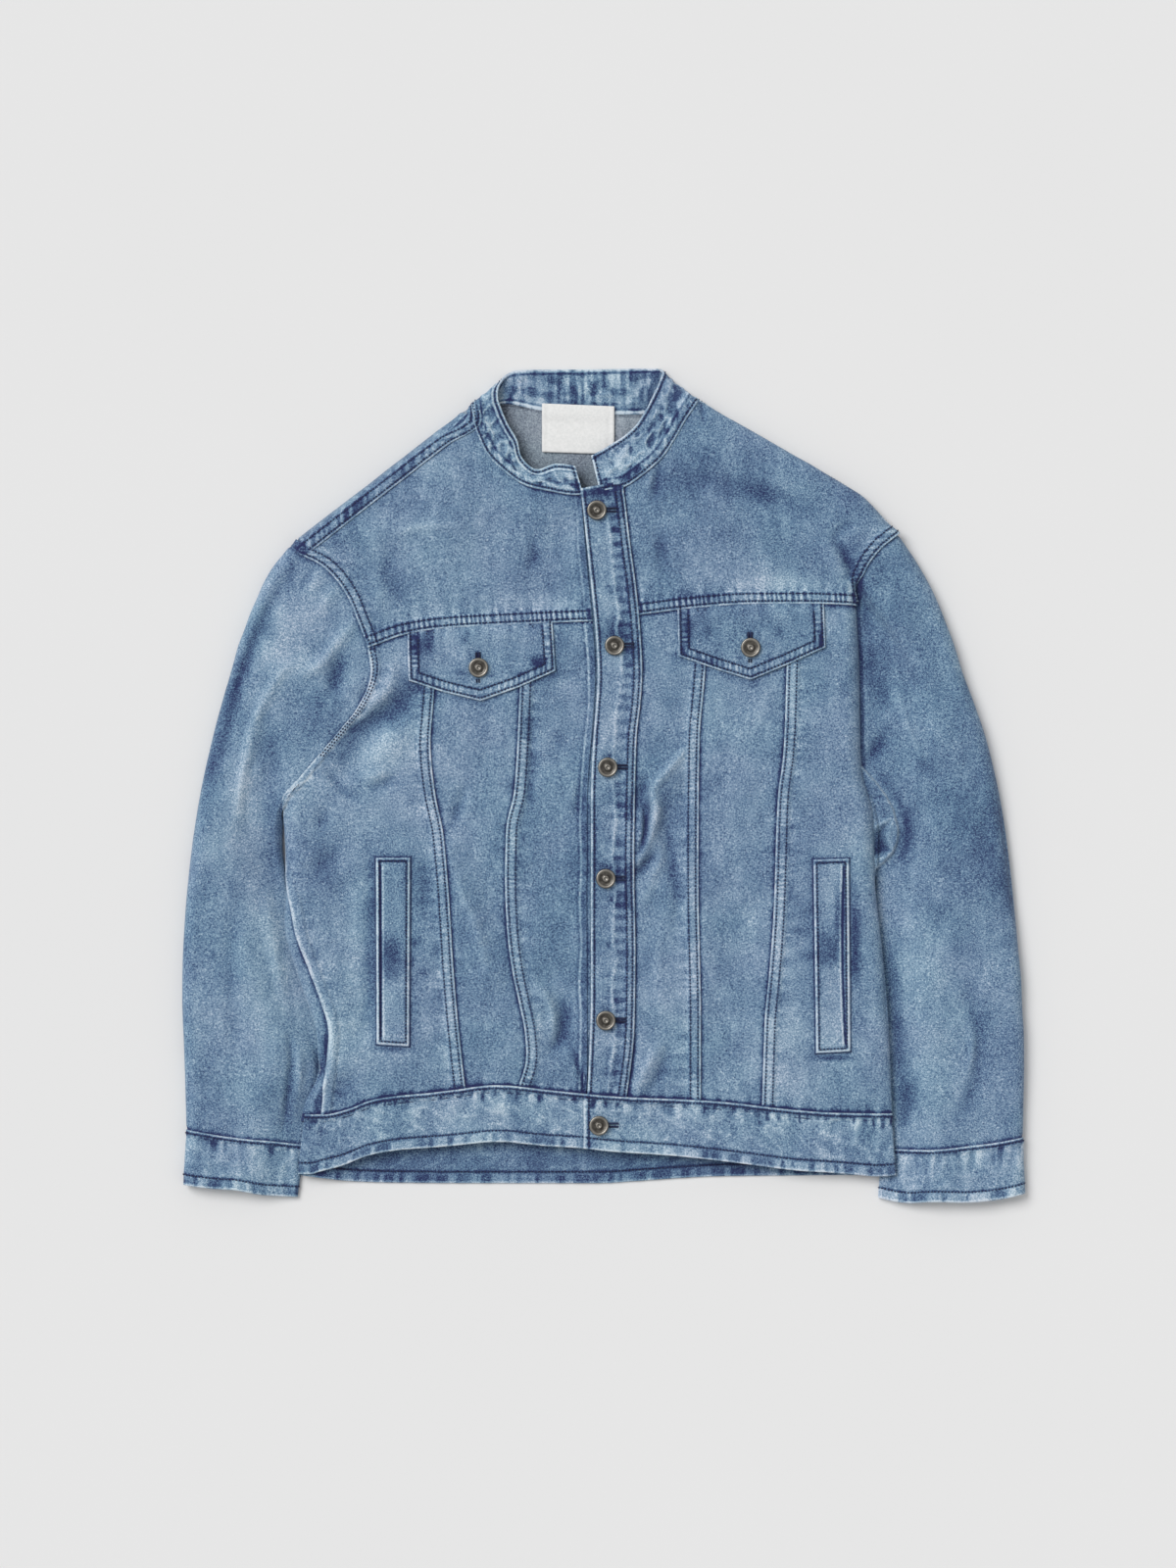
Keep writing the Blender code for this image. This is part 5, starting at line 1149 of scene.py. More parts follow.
def sleeve(ring, top_cells, outside, inside, cuff_seam, cuff_hem):
    """A sleeve and its cuff from the armhole ring, which runs over the top and back beneath."""
    steps = np.linspace(0, 1, SLEEVE_CELLS + 1)
    outside, inside = route(outside)(steps), route(inside)(steps**INSIDE_START)
    on_top = np.arange(len(ring)) <= top_cells
    top = ring[: top_cells + 1, :2]
    beneath = np.concatenate([ring[top_cells:, :2], ring[:1, :2]])[::-1]
    top_end, beneath_end = crowded(top_cells), crowded(len(beneath) - 1)
    top_plan = sleeve_plan(top, cuff_seam, outside, inside, top_end)
    under_plan = sleeve_plan(beneath, cuff_seam, outside, inside, beneath_end)
    plan = np.concatenate([top_plan, under_plan[:, 1:-1][:, ::-1]], 1)
    level = np.array([
        flat_tube_level(row, on_top, outside, inside, SLEEVE_CREST(s), ease(s / TUCKED_FROM))
        for row, s in zip(plan, steps)
    ])
    settle = 1 - ease(steps / 0.3)
    level += (ring[:, 2] - level[0]) * settle[:, None]
    level[1:, 0] = (level[1:, 1] + level[1:, -1]) / 2
    tube = np.concatenate([plan, level[..., None]], 2)
    tube[-1, :, 1] += SEAM_GAP / 2

    end_share = np.concatenate([top_end, beneath_end[1:-1][::-1]])
    cuff_top, cuff_bottom = route(cuff_seam)(end_share), route(cuff_hem)(end_share)
    cuff_sides = [np.array([cuff_seam[end], cuff_hem[end]]) for end in (0, -1)]
    rows = []
    for s in np.linspace(0, 1, CUFF_CELLS + 1):
        flat = blend(cuff_top, cuff_bottom, s)
        level = flat_tube_level(flat, on_top, *cuff_sides, SLEEVE_CREST(1))
        rows.append(np.concatenate([flat, level[:, None]], 1))
    cuff = np.array(rows)
    cuff[0, :, 1] -= SEAM_GAP / 2
    return tube, cuff


def armhole_ring(front_line, back_line, amount):
    """The ring of an armhole: down the front from the shoulder, then up the back."""
    front, back = shifted(front_line, amount)[::-1], shifted(back_line, amount)
    return np.concatenate([laid(front[:-1], FRONT), laid(back, BACK)])[:-1]


SEAM_CELLS = PANEL_ROWS - ARMHOLE_ROWS
left_armhole = drawn_on_top(route(LEFT_ARMHOLE[::-1])(np.linspace(0, 1, ARMHOLE_ROWS + 1)))
left_shoulder_seam = left_shoulder.opened(left_along, strip_run, FRONT)
left_yoke_armhole = drawn_on_top(route(LEFT_ARMHOLE_TOP)(np.linspace(1, 0, YOKE_ROWS + 1)))
left_yoke_armhole[-1] = left_shoulder_seam[0]
ring = armhole_ring(join([left_armhole, left_yoke_armhole]), back_left[SEAM_CELLS:], SEAM_GAP / 2)
left_sleeve, left_cuff = sleeve(
    np.roll(ring, TIP_CELLS, axis=0), ARMHOLE_ROWS + YOKE_ROWS + TIP_CELLS,
    LEFT_SLEEVE_OUTSIDE, LEFT_SLEEVE_INSIDE, LEFT_CUFF_SEAM, LEFT_CUFF_HEM,
)

armhole_y = np.linspace(RIGHT_UNDERARM_Y, 160.2, ARMHOLE_ROWS + 1)
right_flank_y = np.concatenate([right_seam_y, armhole_y[1:]])
right_flank = right_edge.opened(right_flank_y, Line(RIGHT_SEAM_RUN)(right_flank_y), FRONT)
right_shoulder_seam = right_shoulder.opened(right_along, right_run, FRONT)
right_rows = shares(YOKE_ROWS, 0, 0.9)
right_yoke_armhole = drawn_on_top(route(RIGHT_ARMHOLE_TOP)(1 - right_rows))
right_yoke_armhole[-1] = right_shoulder_seam[-1]
right_front_line = join([right_flank[SEAM_CELLS:], right_yoke_armhole])
right_sleeve, right_cuff = sleeve(
    armhole_ring(right_front_line, back_right[SEAM_CELLS:], -SEAM_GAP / 2), ARMHOLE_ROWS + YOKE_ROWS,
    RIGHT_SLEEVE_OUTSIDE, RIGHT_SLEEVE_INSIDE, RIGHT_CUFF_SEAM, RIGHT_CUFF_HEM,
)


def tube_piece(name, coarse, side, ends, cells, seed, near, **finish):
    """A flattened tube: its rows run from the body to the hand, its columns round it."""
    borders = (PLAIN, PLAIN, *ends)
    grid = extended(coarse[:, ::side], 0, 0, borders[2][1], borders[3][1])
    grid = respaced(grid, 1, 3, 0, 0, cells[0], closed=True)
    grid = np.concatenate([grid[..., :3], grid[..., 3:5] * 0 + 99], -1)  # no borders round it
    grid = respaced(grid, 0, 3, near, near, cells[1], FIRM_STEP)
    places = grid[..., :3]
    wrapped = np.concatenate([places[:, -2:], places, places[:, :2]], 1)
    normals = directions(wrapped)[:, 2:-2]
    normals[places[..., 2] < 0.8] = (0, 0, -1)
    sew(name, grid, 3, places, normals, borders, seed, closed=True, rests=(), **finish)


def directions(places):
    """Unit directions out of a grid of places."""
    found = np.cross(np.gradient(places, axis=1), np.gradient(places, axis=0))
    size = np.linalg.norm(found, axis=-1, keepdims=True)
    return found / np.maximum(size, 1e-9)


SLEEVE_ENDS = (under(4.0, 4.0, depth=0.6), under(3.0, 3.0))
tube_piece("left_sleeve", left_sleeve, -1, SLEEVE_ENDS, (210, 140), 11, 14)
tube_piece("right_sleeve", right_sleeve, 1, SLEEVE_ENDS, (210, 140), 12, 14)

# ---------------------------------------------------------------- right underarm
# A fold of the right sleeve's denim stands out from under the body, with a hollow in it. It
# is no piece that was cut and sewn: the sleeve's cloth is pushed up there.

FOLD_EDGE = (
    # x, y
    (222, 18), (229, 11), (237, 2), (245, -9), (251, -20), (255.5, -37), (255, -48), (251, -58),
    (243, -67), (232, -76),
)
FOLD_HOLLOW = (
    (231, -40), (240, -34.5), (248, -30.7), (246, -37), (244.3, -43.6), (246, -50), (248.5, -56.5),
    (243, -60), (236.9, -63), (231, -60),
)
FOLD_PINCH = ((234, -11), (240, -9.5), (246, -12))
FOLD_RISE, HOLLOW_DEPTH, FOLD_THICKNESS = 4.6, 3.6, 0.8
FOLD_REACH = ((210, 262), (-82, 26))  # x and y between which it is laid over the sleeve
FOLD_STEP = 0.8
BESIDE_LEVEL = 8.0  # of the fold's cloth where no sleeve is beneath it


def inside_ring(x, y, corners):
    """Whether places lie inside a ring of corners."""
    inside = np.zeros(x.shape, bool)
    for (ax, ay), (bx, by) in zip(corners, [*corners[1:], corners[0]]):
        crosses = (ay > y) != (by > y)
        inside ^= crosses & (x < (bx - ax) * (y - ay) / (by - ay + 1e-12) + ax)
    return inside


def inward_from(plan, ring, line=None):
    """How far places lie inside a ring of corners: from its border, or from one line of it."""
    border = np.array([*ring, ring[0]] if line is None else line, float)
    sign = np.where(inside_ring(plan[..., 0], plan[..., 1], list(ring)), 1, -1)
    return distance_to(plan, border) * sign


def seen_surface(name):
    """A piece's outside, ready to be met from above."""
    outer = sewn[name][0]
    index = np.arange(outer[..., 0].size).reshape(outer.shape[:2])
    if name.endswith(("sleeve", "cuff")):
        index = np.concatenate([index, index[:, :1]], 1)
    return BVHTree.FromPolygons(outer.reshape(-1, 3).tolist(), quads(index).tolist())


WELL_ABOVE = 80.0


def top_of(surface, x, y):
    """The height at which a surface is met from above, or None beside it."""
    hit = surface.ray_cast((x, y, WELL_ABOVE), (0, 0, -1))[0]
    return None if hit is None else hit[2]


fold_x, fold_y = np.meshgrid(*(np.arange(*reach, FOLD_STEP) for reach in FOLD_REACH))
fold_plan = np.stack([fold_x, fold_y], -1)
fold_ring = [*FOLD_EDGE, (205, -80), (205, 20)]
inward = inward_from(fold_plan, fold_ring, FOLD_EDGE)
hollow = inward_from(fold_plan, FOLD_HOLLOW)
sleeve_top = seen_surface("right_sleeve")
high = np.zeros(fold_x.shape)
for i, j in np.ndindex(fold_x.shape):
    level = top_of(sleeve_top, fold_x[i, j], fold_y[i, j])
    high[i, j] = BESIDE_LEVEL if level is None else level
_, fold_tone = worn_and_shaded(fold_x, fold_y)
step = ease((inward + 1.0) / 3.2)
dip = ease((hollow + 1.2) / 7.0)
high = high - FOLD_THICKNESS + FOLD_RISE * step - HOLLOW_DEPTH * dip + 0.6 * bump(hollow + 2.2, 2.0) * step
pinch, _ = beside(fold_x, fold_y, FOLD_PINCH)
# The fold's tone: the cloth's own tone at six tenths and a little lower; pale worn rims round its edge and
# its hollow; painted shade in the hollow, deepest towards its lower end, and in the pinch, with paler lines
# beside the pinch; and a darker band nine millimetres in from the edge at its upper part.
fold_tone = (
    fold_tone * 0.6 - 0.1 + 0.75 * bump(inward - 0.9, 1.1) + 0.45 * bump(hollow + 1.6, 1.3) * step
    - (0.75 + 0.45 * ease((-42 - fold_y) / 14)) * dip - 0.35 * bump(pinch, 1.6)
)
fold_tone = fold_tone - 0.35 * bump(inward - 9, 5) * (fold_y > -28) + 0.3 * bump(pinch - 2.4, 1.2)
fold_places = np.stack([fold_x, fold_y, np.maximum(high - 0.5 * bump(pinch, 1.8), 0.9)], -1)
fold_beneath = fold_places - (0, 0, FOLD_THICKNESS)
fold = shell("underarm_fold_cloth", fold_places, fold_beneath, fold_tone, [denim], lip=3)
declare(fold_places)
sewn["underarm_fold"] = (fold_places, directions(fold_places), None, ())

# ---------------------------------------------------------------- lower fronts
# Three panels of denim at each side, parted by curved princess seams. They are felled to each
# other, pass under the yokes and the waistband, and lie over the sleeves at the underarms.

WAIST_SEAM = (
    # x, y of the seam between the fronts and the waistband
    (-300, -288.6), (-263.5, -288.6), (-236.3, -286.9), (-193.8, -273.7), (-138.5, -268.2),
    (-91.8, -262.6), (-45.9, -267.3), (-18.7, -270.0), (16.1, -272.9), (96.0, -276.7),
    (164.9, -284.3), (203.2, -286.9), (249.9, -287.5), (300, -287.5),
)
LEFT_YOKE_SEAM = ((-201.4, 125.4), (-170.0, 135.6), (-132.6, 141.1), (-71.4, 144.5), (-12.5, 147.0))
RIGHT_YOKE_SEAM = ((28.1, 152.2), (71.4, 157.7), (125.8, 161.5), (173.4, 161.5), (219.3, 160.2))
PRINCESS_SEAMS = {
    # name: y, x
    "left_outer": (
        (139.8, -148.8), (81.2, -151.3), (35.3, -154.7), (-5.5, -150.9), (-38.7, -144.1), (-75.2, -140.2),
        (-167, -134.3), (-223.1, -129.2), (-268.2, -124.1),
    ),
    "left_inner": (
        (144.9, -64.6), (85.4, -67.1), (35.3, -69.3), (-5.5, -72.2), (-38.7, -79), (-84.6, -79.9),
        (-139.8, -76.9), (-176.4, -70.5), (-213.8, -62.9), (-236.7, -62), (-262.2, -69.7),
    ),
    "right_inner": (
        (158.5, 85), (99.9, 82.5), (35.3, 77.3), (-83.7, 76.5), (-202.7, 78.6), (-275, 78.6),
    ),
    "right_outer": (
        (161.9, 165.8), (106.7, 163.2), (35.3, 160.7), (-13.2, 155.1), (-62.5, 153.4), (-101.6, 152.2),
        (-160.2, 148.3), (-198.5, 144.5), (-280.1, 141.9),
    ),
}
UNDER_PLACKET_EDGE = (
    # y, x of the seam that joins the button stand to the left front
    (253.7, -22.5), (182.3, -16.5), (140.7, -12.5), (99.9, -10.0), (32.7, -14.0), (-3.8, -17.0),
    (-88.8, -17.5), (-240.1, -17.0), (-275.7, -18.5),
)
PLACKET_SEAM = (
    # y, x of the seam between the placket and the right front
    (256, 15.3), (207, 21.2), (151.7, 28.1), (94.8, 31.4), (32.7, 26), (-76.1, 24.4),
    (-137.3, 25.5), (-210.4, 24.6), (-231.6, 22.9), (-273, 17.5),
)
FLAPS = {
    # name: points of the lower edge, points of the upper edge; x, y
    "left_flap": (
        ((-168.3, 90.5), (-137.5, 80.5), (-106.2, 73.0), (-74, 84.5), (-41.6, 99.0)),
        ((-169.5, 135.2), (-137.5, 139.8), (-106.2, 142.2), (-74, 143.8), (-44.5, 145.2)),
    ),
    "right_flap": (
        ((64.6, 111.8), (95.5, 101.0), (126.6, 91.2), (159, 104.5), (191.2, 119.4)),
        ((63.6, 156.5), (95.5, 159.3), (126.6, 160.9), (159, 161.5), (189.9, 160.6)),
    ),
}
WELTS = {
    # name: x, y of the lower left, lower right, upper right and upper left corners
    "left_welt": ((-195.5, -223.1), (-168.3, -224.8), (-167.4, -62.5), (-196.3, -62.5)),
    "right_welt": ((183.6, -230.8), (212.5, -229.1), (211.0, -63.3), (181.0, -64.2)),
}

waist_y = Line(WAIST_SEAM)
left_yoke_y, right_yoke_y = Line(LEFT_YOKE_SEAM), Line(RIGHT_YOKE_SEAM)


def seam_points(table, bottom_x, top_x, yoke_y):
    """Points up a seam of a front, from the waist to the yoke, drawn."""
    y = np.linspace(waist_y(bottom_x), yoke_y(top_x), PANEL_ROWS + 1)
    return drawn_on_top(np.stack([Line(table)(y), y], 1))


left_side_seam = left_edge.opened(left_side_seam_y, left_side_run, FRONT)
left_flank = np.concatenate([left_side_seam, left_armhole[1:]])
left_outer = seam_points(PRINCESS_SEAMS["left_outer"], -124.1, -148.8, left_yoke_y)
left_inner = seam_points(PRINCESS_SEAMS["left_inner"], -69.7, -64.6, left_yoke_y)
left_front_edge = seam_points(UNDER_PLACKET_EDGE, -18.5, -12.5, left_yoke_y)
right_front_edge = seam_points(PLACKET_SEAM, 17.5, 28.1, right_yoke_y)
right_inner = seam_points(PRINCESS_SEAMS["right_inner"], 78.6, 85, right_yoke_y)
right_outer = seam_points(PRINCESS_SEAMS["right_outer"], 141.9, 165.8, right_yoke_y)

front_grids, waist_lines, yoke_lines = {}, {}, {}
for name, left, right, yoke_y, across in (
    ("left_side", left_flank, left_outer, left_yoke_y, shares(5, 0.3)),
    ("left_middle", left_outer, left_inner, left_yoke_y, shares(4)),
    ("left_centre", left_inner, left_front_edge, left_yoke_y, shares(3)),
    ("right_centre", right_front_edge, right_inner, right_yoke_y, shares(3)),
    ("right_middle", right_inner, right_outer, right_yoke_y, shares(4)),
    ("right_side", right_outer, right_flank, right_yoke_y, shares(7, 0, 1)),
):
    waist_lines[name] = across_between(left[0], right[0], across, waist_y)
    yoke_lines[name] = across_between(left[-1], right[-1], across, yoke_y)
    front_grids[name] = patch(waist_lines[name], yoke_lines[name], left, right, across)


def lifted(outer, normals, names, gap=0.9):
    """The places raised where they would sink into pieces that lie beneath them."""
    for name in names:
        surface = seen_surface(name)
        high = outer[..., 2].copy()
        for i, j in zip(*np.nonzero(normals[..., 2] > 0.25)):
            x, y, z = outer[i, j]
            level = top_of(surface, x, y)
            if level is not None:
                high[i, j] = max(z, level + gap)
        outer = np.concatenate([outer[..., :2], high[..., None]], -1)
    return outer


def by_pockets(fine, places):
    """Darker cloth close round the flaps and the welts: painted contact shade there, and the indigo less worn
    away.
    """
    plan, tone = places[..., :2], 0 * places[..., 0]
    borders = [(lower, 5) for lower, _ in FLAPS.values()]
    borders += [([*corners, corners[0]], 4) for corners in WELTS.values()]
    for line, reach in borders:
        tone = tone - 0.5 * np.exp(-((distance_to(plan, np.array(line, float)) / reach) ** 2))
    return 0 * tone, tone


ARMHOLE_STRIP = ((-198, 72), (-202, 65), (-212, 57), (-222, 48), (-231, 38), (-237, 29))
LEFT_ROLL = (
    (-251, 14), (-255, 6), (-268, -3), (-272, -10), (-277, -23), (-278, -33), (-276, -58), (-274, -73),
)


def by_armhole(fine, places):
    """The left side front also has a worn roll where it lies over the sleeve."""
    x, y, armhole = places[..., 0], places[..., 1], fine[..., 2]
    relief, tone = by_pockets(fine, places)
    roll, _ = beside(x, y, LEFT_ROLL)
    strip, share = beside(x, y, ARMHOLE_STRIP)
    ladder = ease((y - 86) / 8) * ease((armhole - 1.8) / 1) * ease((8.6 - armhole) / 1)
    ladder = -ladder * (0.95 - 0.35 * np.sin(2 * math.pi * y / 4.4))
    ends = ease(share / 0.12) * ease((1 - share) / 0.12)
    faded = ladder + ends * (0.4 * bump(strip, 2.6) - 0.4 * bump(strip - 3.4, 0.9))
    return relief + 0.3 * bump(strip, 3), tone + 0.9 * bump(roll, 1.3) + faded


UNDERARM_ROWS = (2.3, 6.6)
# where the fronts pass under the yokes and the waistband, depth sets the painted shade in the corner
AT_YOKE, AT_WAIST = under(), under(3, 4, depth=1.5, bars=0.6)
PRINCESS = over(5.3, pale=0.42, dark=0.75, bars=0.5, indigo=0.35)
LEFT_UNDERARM = over(
    4.0, bars=0.3, indigo=0.1, dark=0.35, rows=UNDERARM_ROWS, width=8.4, pale=0.7, rim=1.6, start=20
)
RIGHT_UNDERARM = over(4.0, bars=0, indigo=0, rows=(), width=4.0, rim=0.01, reach=0)
for name, left, right, cells, seed, wear, on in (
    ("left_middle", under(), under(), 22, 31, by_pockets, ()),
    ("right_middle", under(), under(), 22, 32, by_pockets, ()),
    ("left_side", LEFT_UNDERARM, PRINCESS, 36, 33, by_armhole, ["left_sleeve"]),
    ("right_side", PRINCESS, RIGHT_UNDERARM, 36, 34, by_pockets, ["right_sleeve", "underarm_fold"]),
    ("left_centre", PRINCESS, under(3, 0.5, depth=0.5, ridge=1.0), 24, 35, by_pockets, ()),
    ("right_centre", under(3, 2), PRINCESS, 24, 36, by_pockets, ()),
):
    borders = (left, right, AT_WAIST, AT_YOKE)
    body_piece(name, front_grids[name], FRONT, borders, (cells, 230), seed, wear=wear, on=on)

# ---------------------------------------------------------------- yokes
# A chest yoke at each side, cut from one layer of denim. It is felled over the lower fronts
# and over the sleeve, and its top meets the back at the shoulder seam.

LEFT_NECKLINE = (
    # x, y from the shoulder seam to the front edge
    (-112.2, 322.5), (-106.2, 303.9), (-97.8, 286.9), (-85.4, 274.5), (-71.4, 263.9),
    (-47.6, 257.1), (-22.5, 253.7),
)
RIGHT_NECKLINE = (
    # x, y from the placket to where the neckline starts to turn over the shoulder
    (15.3, 260.0), (30.6, 269.5), (50.1, 286.9), (63.8, 309.0), (71.0, 321.3),
)
NECK_CELLS = 7

left_yoke_bottom = join([yoke_lines[name] for name in ("left_side", "left_middle", "left_centre")])
left_neck_points = drawn_on_top(route(LEFT_NECKLINE)(shares(NECK_CELLS, 0.6, 0)))
left_neck_points[0] = left_shoulder_seam[-1]
left_yoke_top = join([left_shoulder_seam, left_neck_points])
left_yoke_armhole[0] = left_yoke_bottom[0]
centre_y = np.linspace(left_yoke_bottom[-1][1], left_yoke_top[-1][1], YOKE_ROWS + 1)
left_yoke_centre = np.stack([Line(UNDER_PLACKET_EDGE)(centre_y), centre_y], 1)
left_yoke_centre[0] = left_yoke_bottom[-1]
left_yoke_top[-1] = left_yoke_centre[-1]
left_yoke_grid = patch(left_yoke_bottom, left_yoke_top, left_yoke_armhole, left_yoke_centre)

right_yoke_bottom = join([yoke_lines[name] for name in ("right_centre", "right_middle", "right_side")])
right_neck_run = np.array([17.0, 7.0, RIGHT_SHOULDER_RUN])
right_neck_turn = right_shoulder.opened(0 * right_neck_run, right_neck_run, FRONT)
right_neck_front = route(RIGHT_NECKLINE)(np.linspace(0, 1, NECK_CELLS - 2))
right_neck_points = np.concatenate([right_neck_front, right_neck_turn])
right_yoke_top = join([right_neck_points, right_shoulder_seam])
right_yoke_armhole[0] = right_yoke_bottom[-1]
centre_y = right_yoke_bottom[0][1] + (RIGHT_NECKLINE[0][1] - right_yoke_bottom[0][1]) * right_rows
right_yoke_centre = np.stack([Line(PLACKET_SEAM)(centre_y), centre_y], 1)
right_yoke_centre[0] = right_yoke_bottom[0]
right_yoke_centre[-1] = right_yoke_top[0]
right_yoke_grid = patch(
    right_yoke_bottom, right_yoke_top, right_yoke_centre, right_yoke_armhole, None, right_rows
)

AT_NECK = under(3, 3)
YOKE_FELL = over(bars=1.35, reach=1.3, indigo=1.1)
ARMHOLE_FELL = over(4.0, bars=0.6, indigo=0.25, pale=0.3)
left_centre_border = under(3, 0.5, depth=0.5, ridge=0.6)
body_piece(
    "left_yoke", left_yoke_grid, FRONT, (ARMHOLE_FELL, left_centre_border, YOKE_FELL, AT_NECK), (150, 44), 41,
    on=["left_sleeve"],
)
body_piece(
    "right_yoke", right_yoke_grid, FRONT, (under(3, 2), ARMHOLE_FELL, YOKE_FELL, AT_NECK), (150, 50), 42,
    on=["right_sleeve"],
)

# ---------------------------------------------------------------- plackets
# A doubled strip of denim along each front edge. The button stand lies beneath, and on it the
# buttonhole placket, topstitched at both sides and a little raised at its free edge.

PLACKET_FREE_EDGE = (
    # y, x
    (253.7, -19.6), (182.3, -11.9), (140.7, -7.6), (99.9, -5.1), (32.7, -9.3), (-3.8, -11),
    (-179.8, -11), (-240.1, -12.8), (-271.5, -14.4),
)
STAND_DROP = 3.0  # how far the button stand dips under the placket
STAND_DIP = 9.0  # over how much of its width
STAND_WIDTH = 33.0
PLACKET_RAISED = (2.9, 0.9)  # above the front at the free edge, at the seam
FREE_EDGE_ENDS = (-270.1, 253.6)
DOUBLED = 2.0  # thickness of two layers
FRONT_BUTTONS = ((-6, 237.6), (9.3, 120.7), (3.4, 15.7), (1.7, -80.3), (1.7, -202.7), (-4.2, -293.7))
PLACKET_EDGE_ROW, PLACKET_SEAM_ROWS = 3.0, (2.3, 7.4)
RUNG_PERIOD = 10.4

free_edge_x, placket_seam_x = Line(PLACKET_FREE_EDGE), Line(PLACKET_SEAM)


def stand_drop(x, y):
    """How far the button side sinks where the placket covers it."""
    return STAND_DROP * ease((x - free_edge_x(y) + 1.5) / STAND_DIP)


def placket_raise(x, y):
    """How far the buttonhole side stands above the front, from its free edge to its seam."""
    share = np.clip((x - free_edge_x(y)) / (placket_seam_x(y) - free_edge_x(y)), 0, 1)
    return blend(*PLACKET_RAISED, share)


def strip(left, right, columns, offset):
    """Places of a strip between two lines of points, above or below the front."""
    grid = blend(left[:, None], right[:, None], np.linspace(0, 1, columns + 1)[None, :, None])
    x, y = grid[..., 0], grid[..., 1]
    return np.stack([x, y, front_height(x, y) + offset(x, y)], -1)


placket_right = join([right_front_edge, right_yoke_centre]) - (SEAM_GAP / 2, 0)
placket_right[0, 1] += SEAM_GAP
placket_share = (placket_right[:, 1] - placket_right[0, 1]) / np.ptp(placket_right[:, 1])
free_y = FREE_EDGE_ENDS[0] + (FREE_EDGE_ENDS[1] - FREE_EDGE_ENDS[0]) * placket_share
placket_outer = strip(np.stack([free_edge_x(free_y), free_y], 1), placket_right, 3, placket_raise)
stand_left = join([left_front_edge, left_yoke_centre]) + (SEAM_GAP / 2, 0)
stand_left[0, 1] += SEAM_GAP
stand_outer = strip(stand_left, stand_left + (STAND_WIDTH, 0), 4, lambda x, y: -stand_drop(x, y))


def turned(
    d, s, seed, rows=(2.6,), bars=0.8, indigo=0.5, width=7.0, period=BARS, dark=1.0, rim=1.05
):
    """Relief and wear of a doubled piece's folded and topstitched edge. Along each stitch row, dark paints a
    dark line: the unworn indigo there, and painted shade in the dent.
    """
    ripple = bars_along(s + 0.06 * d, seed, period)
    near = ease((d - 1) / 1.2) * np.exp(-((d / width) ** 2))
    grooves = sum(bump(d - row, 0.95) for row in rows)
    smudge = ease((swell(s / 22, d / 30, seed + 3) - 0.15) / 0.4) * indigo
    relief = 0.22 * bars * ripple * near - 0.28 * grooves - 0.25 * (1 - ease(d / 1.1))
    worn_rim = 1.05 + 0.4 * swell(s / 6, 0 * s, seed + 6)
    # the dark line along each stitch row is unworn indigo and painted shade in the dent
    tone = worn_rim * bump(d - 0.57 * rim, rim) - 1.15 * dark * grooves
    return relief, tone + near * (0.7 * bars * ripple - smudge)


def edge(**options):
    """A border that is folded in and stitched down."""
    return (turned, 0.0, options)


def formed_piece(name, coarse, borders, cells, seed, near=(13, 13, 13, 13), **finish):
    """A piece whose form is already round: a strip, a band or a collar."""
    grid = cut(coarse, 3, [amount for _, amount, _ in borders], near, cells)
    places = grid[..., :3]
    return sew(name, grid, 3, places, directions(places), borders, seed, **finish)


def squiggle(u, v, seed, width=0.16):
    """Thin wandering lines, as the worn ridges of crinkled cloth."""
    return bump(swell(u, v, seed), width)


def placket_wear(fine, places):
    """A pale spine with indigo smudges beside it, and dark cloth round each buttonhole."""
    x, y = places[..., 0], places[..., 1]
    free, seam = fine[..., 3], fine[..., 4]
    middle = 0.52 * (free + seam) + 2.2 * swell(y / 15, 0 * y, 91)
    spine = bump(free - middle, 1.7) * (0.75 + 0.4 * swell(y / 9, 0 * y, 92))
    smudge = ease((swell(y / 6.5, free / 14, 93) - 0.12) / 0.35) * bump(free - middle, 7)
    inside = ease((free - 2.5) / 2) * ease((seam - 2.5) / 2)
    ladder = np.sin(2 * math.pi * y / RUNG_PERIOD + 2.2 * swell(y / 34, 0 * y, 95))
    ladder = ladder + 0.4 * swell(y / 6, free / 20, 96)
    rungs = ease(ladder / 0.5) * (0.6 + 0.55 * swell(y / 21, 0 * y, 97))
    rungs = rungs * ease((free - middle + 1) / 3) * ease((seam - 7) / 2)
    crinkle = 0.16 * squiggle(y / 7, free / 5, 94)
    tone = -0.9 * rungs + (0.75 * spine - 0.75 * smudge * (1 - spine) + crinkle) * inside
    tone = tone + 1.8 * bump(fine[..., 6] - 0.8, 1.2) * (x < 3)
    for px, py in FRONT_BUTTONS:
        tone = add_stains_and_shade(tone, x, y, ((px + 11, py, 4.5, 3.6, -0.75), (px, py + 9, 8, 6, -0.45)))
    return 0.5 * spine * inside - 0.25 * smudge * inside, tone

formed_piece(
    "under_placket", stand_outer, (edge(bars=0.3), PLAIN, AT_WAIST, AT_NECK), (10, 260), 51,
    near=(12, 3, 13, 13),
)
free_border = edge(rows=(PLACKET_EDGE_ROW,), bars=0.4, indigo=0.3)
seam_border = over(2.0, bars=0.5, rows=PLACKET_SEAM_ROWS, width=8.4, reach=0)
formed_piece(
    "placket", placket_outer, (free_border, seam_border, AT_WAIST, AT_NECK), (14, 300), 52,
    near=(12, 12, 13, 13), thickness=DOUBLED - 0.4, wear=placket_wear,
)

# ---------------------------------------------------------------- waistband
# A doubled strip of denim round the hem, sewn over the fronts and the back. It runs from its
# buttonhole end along the right front, round the back and along the left front to the end
# beneath.

